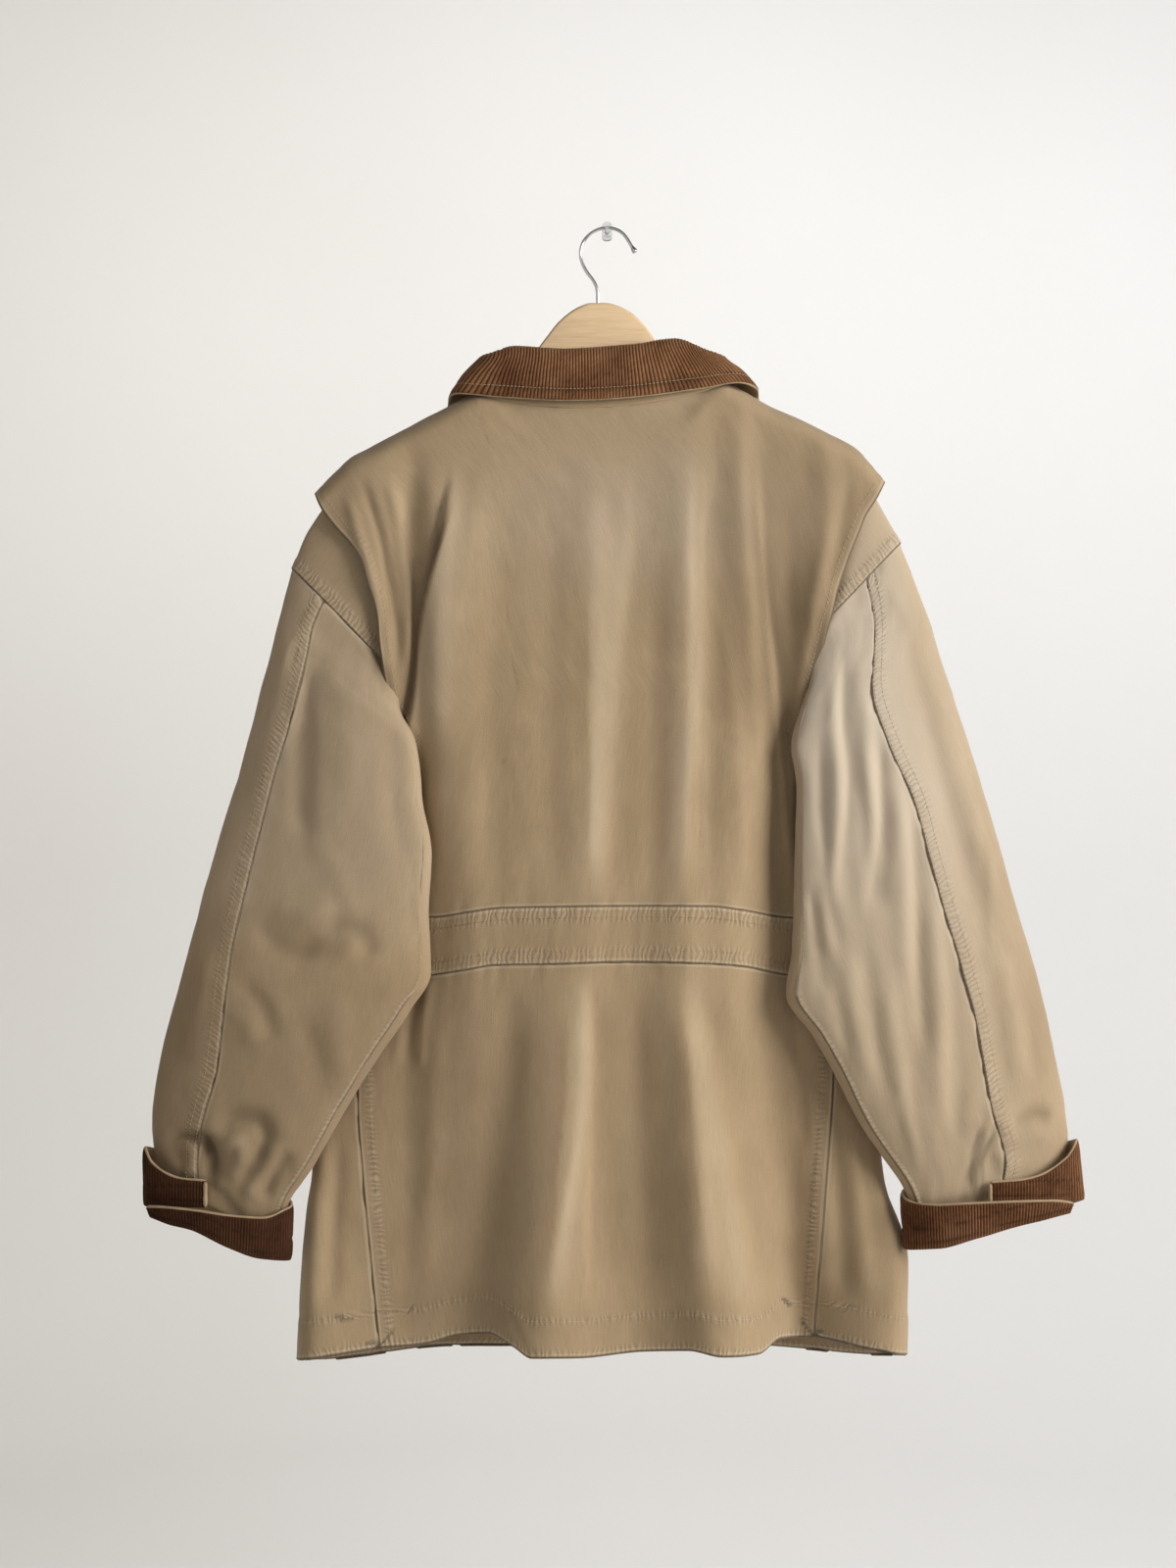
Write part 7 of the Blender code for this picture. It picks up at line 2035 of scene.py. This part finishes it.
def clear_material():
    """Clear moulded plastic."""
    nodes = Nodes("clear_plastic")
    haze = nodes.noise(nodes.place, 260.0, 2.0, 0.5)
    colour = nodes.ramp(haze, ((0.3, (0.86, 0.88, 0.88)), (0.7, (0.95, 0.96, 0.96))))
    bump = nodes.bump(haze, 0.06, 0.0004)
    return nodes.finish(colour, nodes.times(haze, 0.1, 0.05), bump, Transmission_Weight=0.82, IOR=1.46)


def button_material():
    """Mottled brown moulded plastic."""
    nodes = Nodes("brown_button")
    swirl = nodes.noise(nodes.place, 130.0, 4.0, 0.6, distortion=1.6)
    fine = nodes.noise(nodes.place, 1400.0, 2.0, 0.5)
    browns = ((0.3, (0.05, 0.027, 0.015)), (0.55, (0.12, 0.066, 0.035)), (0.75, (0.24, 0.15, 0.085)))
    colour = nodes.ramp(swirl, browns)
    return nodes.finish(colour, nodes.times(fine, 0.2, 0.26), nodes.bump(fine, 0.08, 0.0002))


def thread_material():
    """Tan sewing thread."""
    nodes = Nodes("tan_thread")
    fine = nodes.noise(nodes.place, 2600.0, 2.0, 0.6)
    broad = nodes.noise(nodes.place, 60.0, 2.0, 0.5)
    total = nodes.times(fine, 0.5, nodes.times(broad, 0.5))
    colour = nodes.ramp(total, ((0.3, THREAD_DARK), (0.7, THREAD_PALE)))
    return nodes.finish(colour, nodes.times(fine, 0.2, 0.6), nodes.bump(fine, 0.4, 0.0002), Sheen_Weight=0.2)


def paper_material():
    """A matt studio backdrop with painted light: a little paler on the right, where the key light stands."""
    nodes = Nodes("backdrop_paper")
    broad = nodes.noise(nodes.place, 0.8, 2.0, 0.5)
    split = nodes.add("ShaderNodeSeparateXYZ")
    nodes.put(nodes.place, split.inputs[0])
    share = nodes.times(split.outputs[0], 0.3, nodes.times(broad, 0.3))
    share = nodes.clamp(nodes.work("ADD", share, 0.35))
    return nodes.finish(nodes.mix(share, WALL_SHADED_SIDE, WALL_LIT_SIDE), 0.92, Specular_IOR_Level=0.1)


def area_light(name, place, target, size, power, colour):
    """A soft square light aimed at a point."""
    data = bpy.data.lights.new(name, "AREA")
    data.shape = "SQUARE"
    data.size = size
    data.energy = power
    data.color = colour
    made = bpy.data.objects.new(name, data)
    made.location = place
    way = mathutils.Vector(target) - mathutils.Vector(place)
    made.rotation_euler = way.to_track_quat("-Z", "Y").to_euler()
    bpy.context.scene.collection.objects.link(made)
    return made


def make_studio():
    """A pale round backdrop with a wide cove, soft lights and the camera."""
    profile = []
    for k in range(25):
        angle = 0.5 * math.pi * k / 24
        reach = STAGE_RADIUS - STAGE_COVE * (1.0 - math.sin(angle))
        profile.append((reach, STAGE_FLOOR + STAGE_COVE * (1.0 - math.cos(angle))))
    profile.append((STAGE_RADIUS, STAGE_TOP))
    sides = 96
    points = [(0.0, 0.0, STAGE_FLOOR)]
    faces = []
    for reach, z in profile:
        for s in range(sides):
            turn = 2.0 * math.pi * s / sides
            points.append((reach * math.cos(turn), reach * math.sin(turn), z))
    for s in range(sides):
        faces.append([0, 1 + s, 1 + (s + 1) % sides])
    for r in range(len(profile) - 1):
        for s in range(sides):
            t = (s + 1) % sides
            a = 1 + r * sides
            faces.append([a + s, a + sides + s, a + sides + t, a + t])
    mesh = bpy.data.meshes.new("backdrop")
    mesh.from_pydata(points, [], faces)
    mesh.polygons.foreach_set("use_smooth", np.ones(len(mesh.polygons), bool))
    stage = bpy.data.objects.new("backdrop", mesh)
    mesh.materials.append(paper_material())
    bpy.context.scene.collection.objects.link(stage)
    area_light("key", KEY_PLACE, (0.0, 0.0, -0.45), 1.5, KEY_POWER, (1.0, 0.985, 0.96))
    area_light("fill", FILL_PLACE, (0.0, 0.0, -0.5), 2.2, FILL_POWER, (0.93, 0.96, 1.0))
    area_light("back_wash", (0.0, 1.2, 1.4), (0.0, 3.6, -0.3), 2.0, WASH_POWER, (1.0, 1.0, 1.0))
    world = bpy.data.worlds.new("studio_air")
    world.use_nodes = True
    shade = world.node_tree.nodes["Background"]
    shade.inputs["Color"].default_value = (0.95, 0.97, 1.0, 1.0)
    shade.inputs["Strength"].default_value = WORLD_POWER
    bpy.context.scene.world = world
    data = bpy.data.cameras.new("photo_view")
    data.lens = CAMERA_LENS
    data.sensor_width = CAMERA_SENSOR
    data.sensor_fit = "VERTICAL"
    data.sensor_height = CAMERA_SENSOR
    data.clip_end = 50.0
    camera = bpy.data.objects.new("photo_view", data)
    camera.location = CAMERA_PLACE
    camera.rotation_euler = (math.radians(90.0), 0.0, 0.0)
    bpy.context.scene.collection.objects.link(camera)
    bpy.context.scene.camera = camera
    view = bpy.context.scene.view_settings
    view.view_transform = "Standard"
    view.look = "None"


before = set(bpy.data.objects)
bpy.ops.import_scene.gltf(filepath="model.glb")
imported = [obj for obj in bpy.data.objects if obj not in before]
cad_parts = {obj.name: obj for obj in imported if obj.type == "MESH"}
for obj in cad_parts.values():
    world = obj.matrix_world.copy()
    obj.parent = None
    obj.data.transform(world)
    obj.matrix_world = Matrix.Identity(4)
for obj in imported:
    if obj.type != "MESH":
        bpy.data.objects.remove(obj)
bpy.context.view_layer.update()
PANELS = {}
MATERIALS = {
    "twill": twill_material(),
    "corduroy": corduroy_material("brown_corduroy", 1.0),
    # Copies of the one corduroy for the cuffs, darkened as painted shade, most on the left.
    "corduroy_left": corduroy_material("corduroy_painted_deep_shade", 0.26),
    "corduroy_right": corduroy_material("corduroy_painted_shade", 0.68),
    "hanger_wood": wood_material(),
    "hook_metal": metal_material(),
    "wall_hook": clear_material(),
    "button": button_material(),
    "thread": thread_material(),
}

make_studio()
make_back()
left_lines = (LEFT_SHOULDER, LEFT_CAP_EDGE, LEFT_SIDE)
right_lines = (RIGHT_SHOULDER, RIGHT_CAP_EDGE, RIGHT_SIDE)
make_front("front_left_cloth", "front_left", *left_lines, (NECK_LEFT_ROW, 0), CENTRE_X + OVERLAP, 0.0, 201)
right_neck = (NECK_RIGHT_ROW, COLLAR_LAST_ROW)
make_front("front_right_cloth", "front_right", *right_lines, right_neck, CENTRE_X - OVERLAP, UNDERLAP, 221)
left_forms = (LEFT_SLEEVE_CREASES, LEFT_SLEEVE_LINES, LEFT_SLEEVE_SHADES)
right_forms = (RIGHT_SLEEVE_CREASES, RIGHT_SLEEVE_LINES, RIGHT_SLEEVE_SHADES)
make_sleeve("left", LEFT_BAND, LEFT_SLEEVE, *left_forms, 241)
make_sleeve("right", RIGHT_BAND, RIGHT_SLEEVE, *right_forms, 261)
make_cuff("left", LEFT_CUFF, CUFF_OVAL[0], 281)
make_cuff("right", RIGHT_CUFF, CUFF_OVAL[1], 291)
cuff_end("left", -326.0, 1.9, 331)
cuff_end("right", 322.0, 1.7, 337)
make_collar()
make_hanger()
make_wire()
make_wall_hook()
make_buttons()

threads = []
for name, rows in THREAD_ROWS:
    thread = Thread(name, "thread")
    for panel, edge, distance, start, end in rows:
        thread.sew(PANELS[panel].edge_path(edge, distance, start, end))
    threads.append(thread.make())
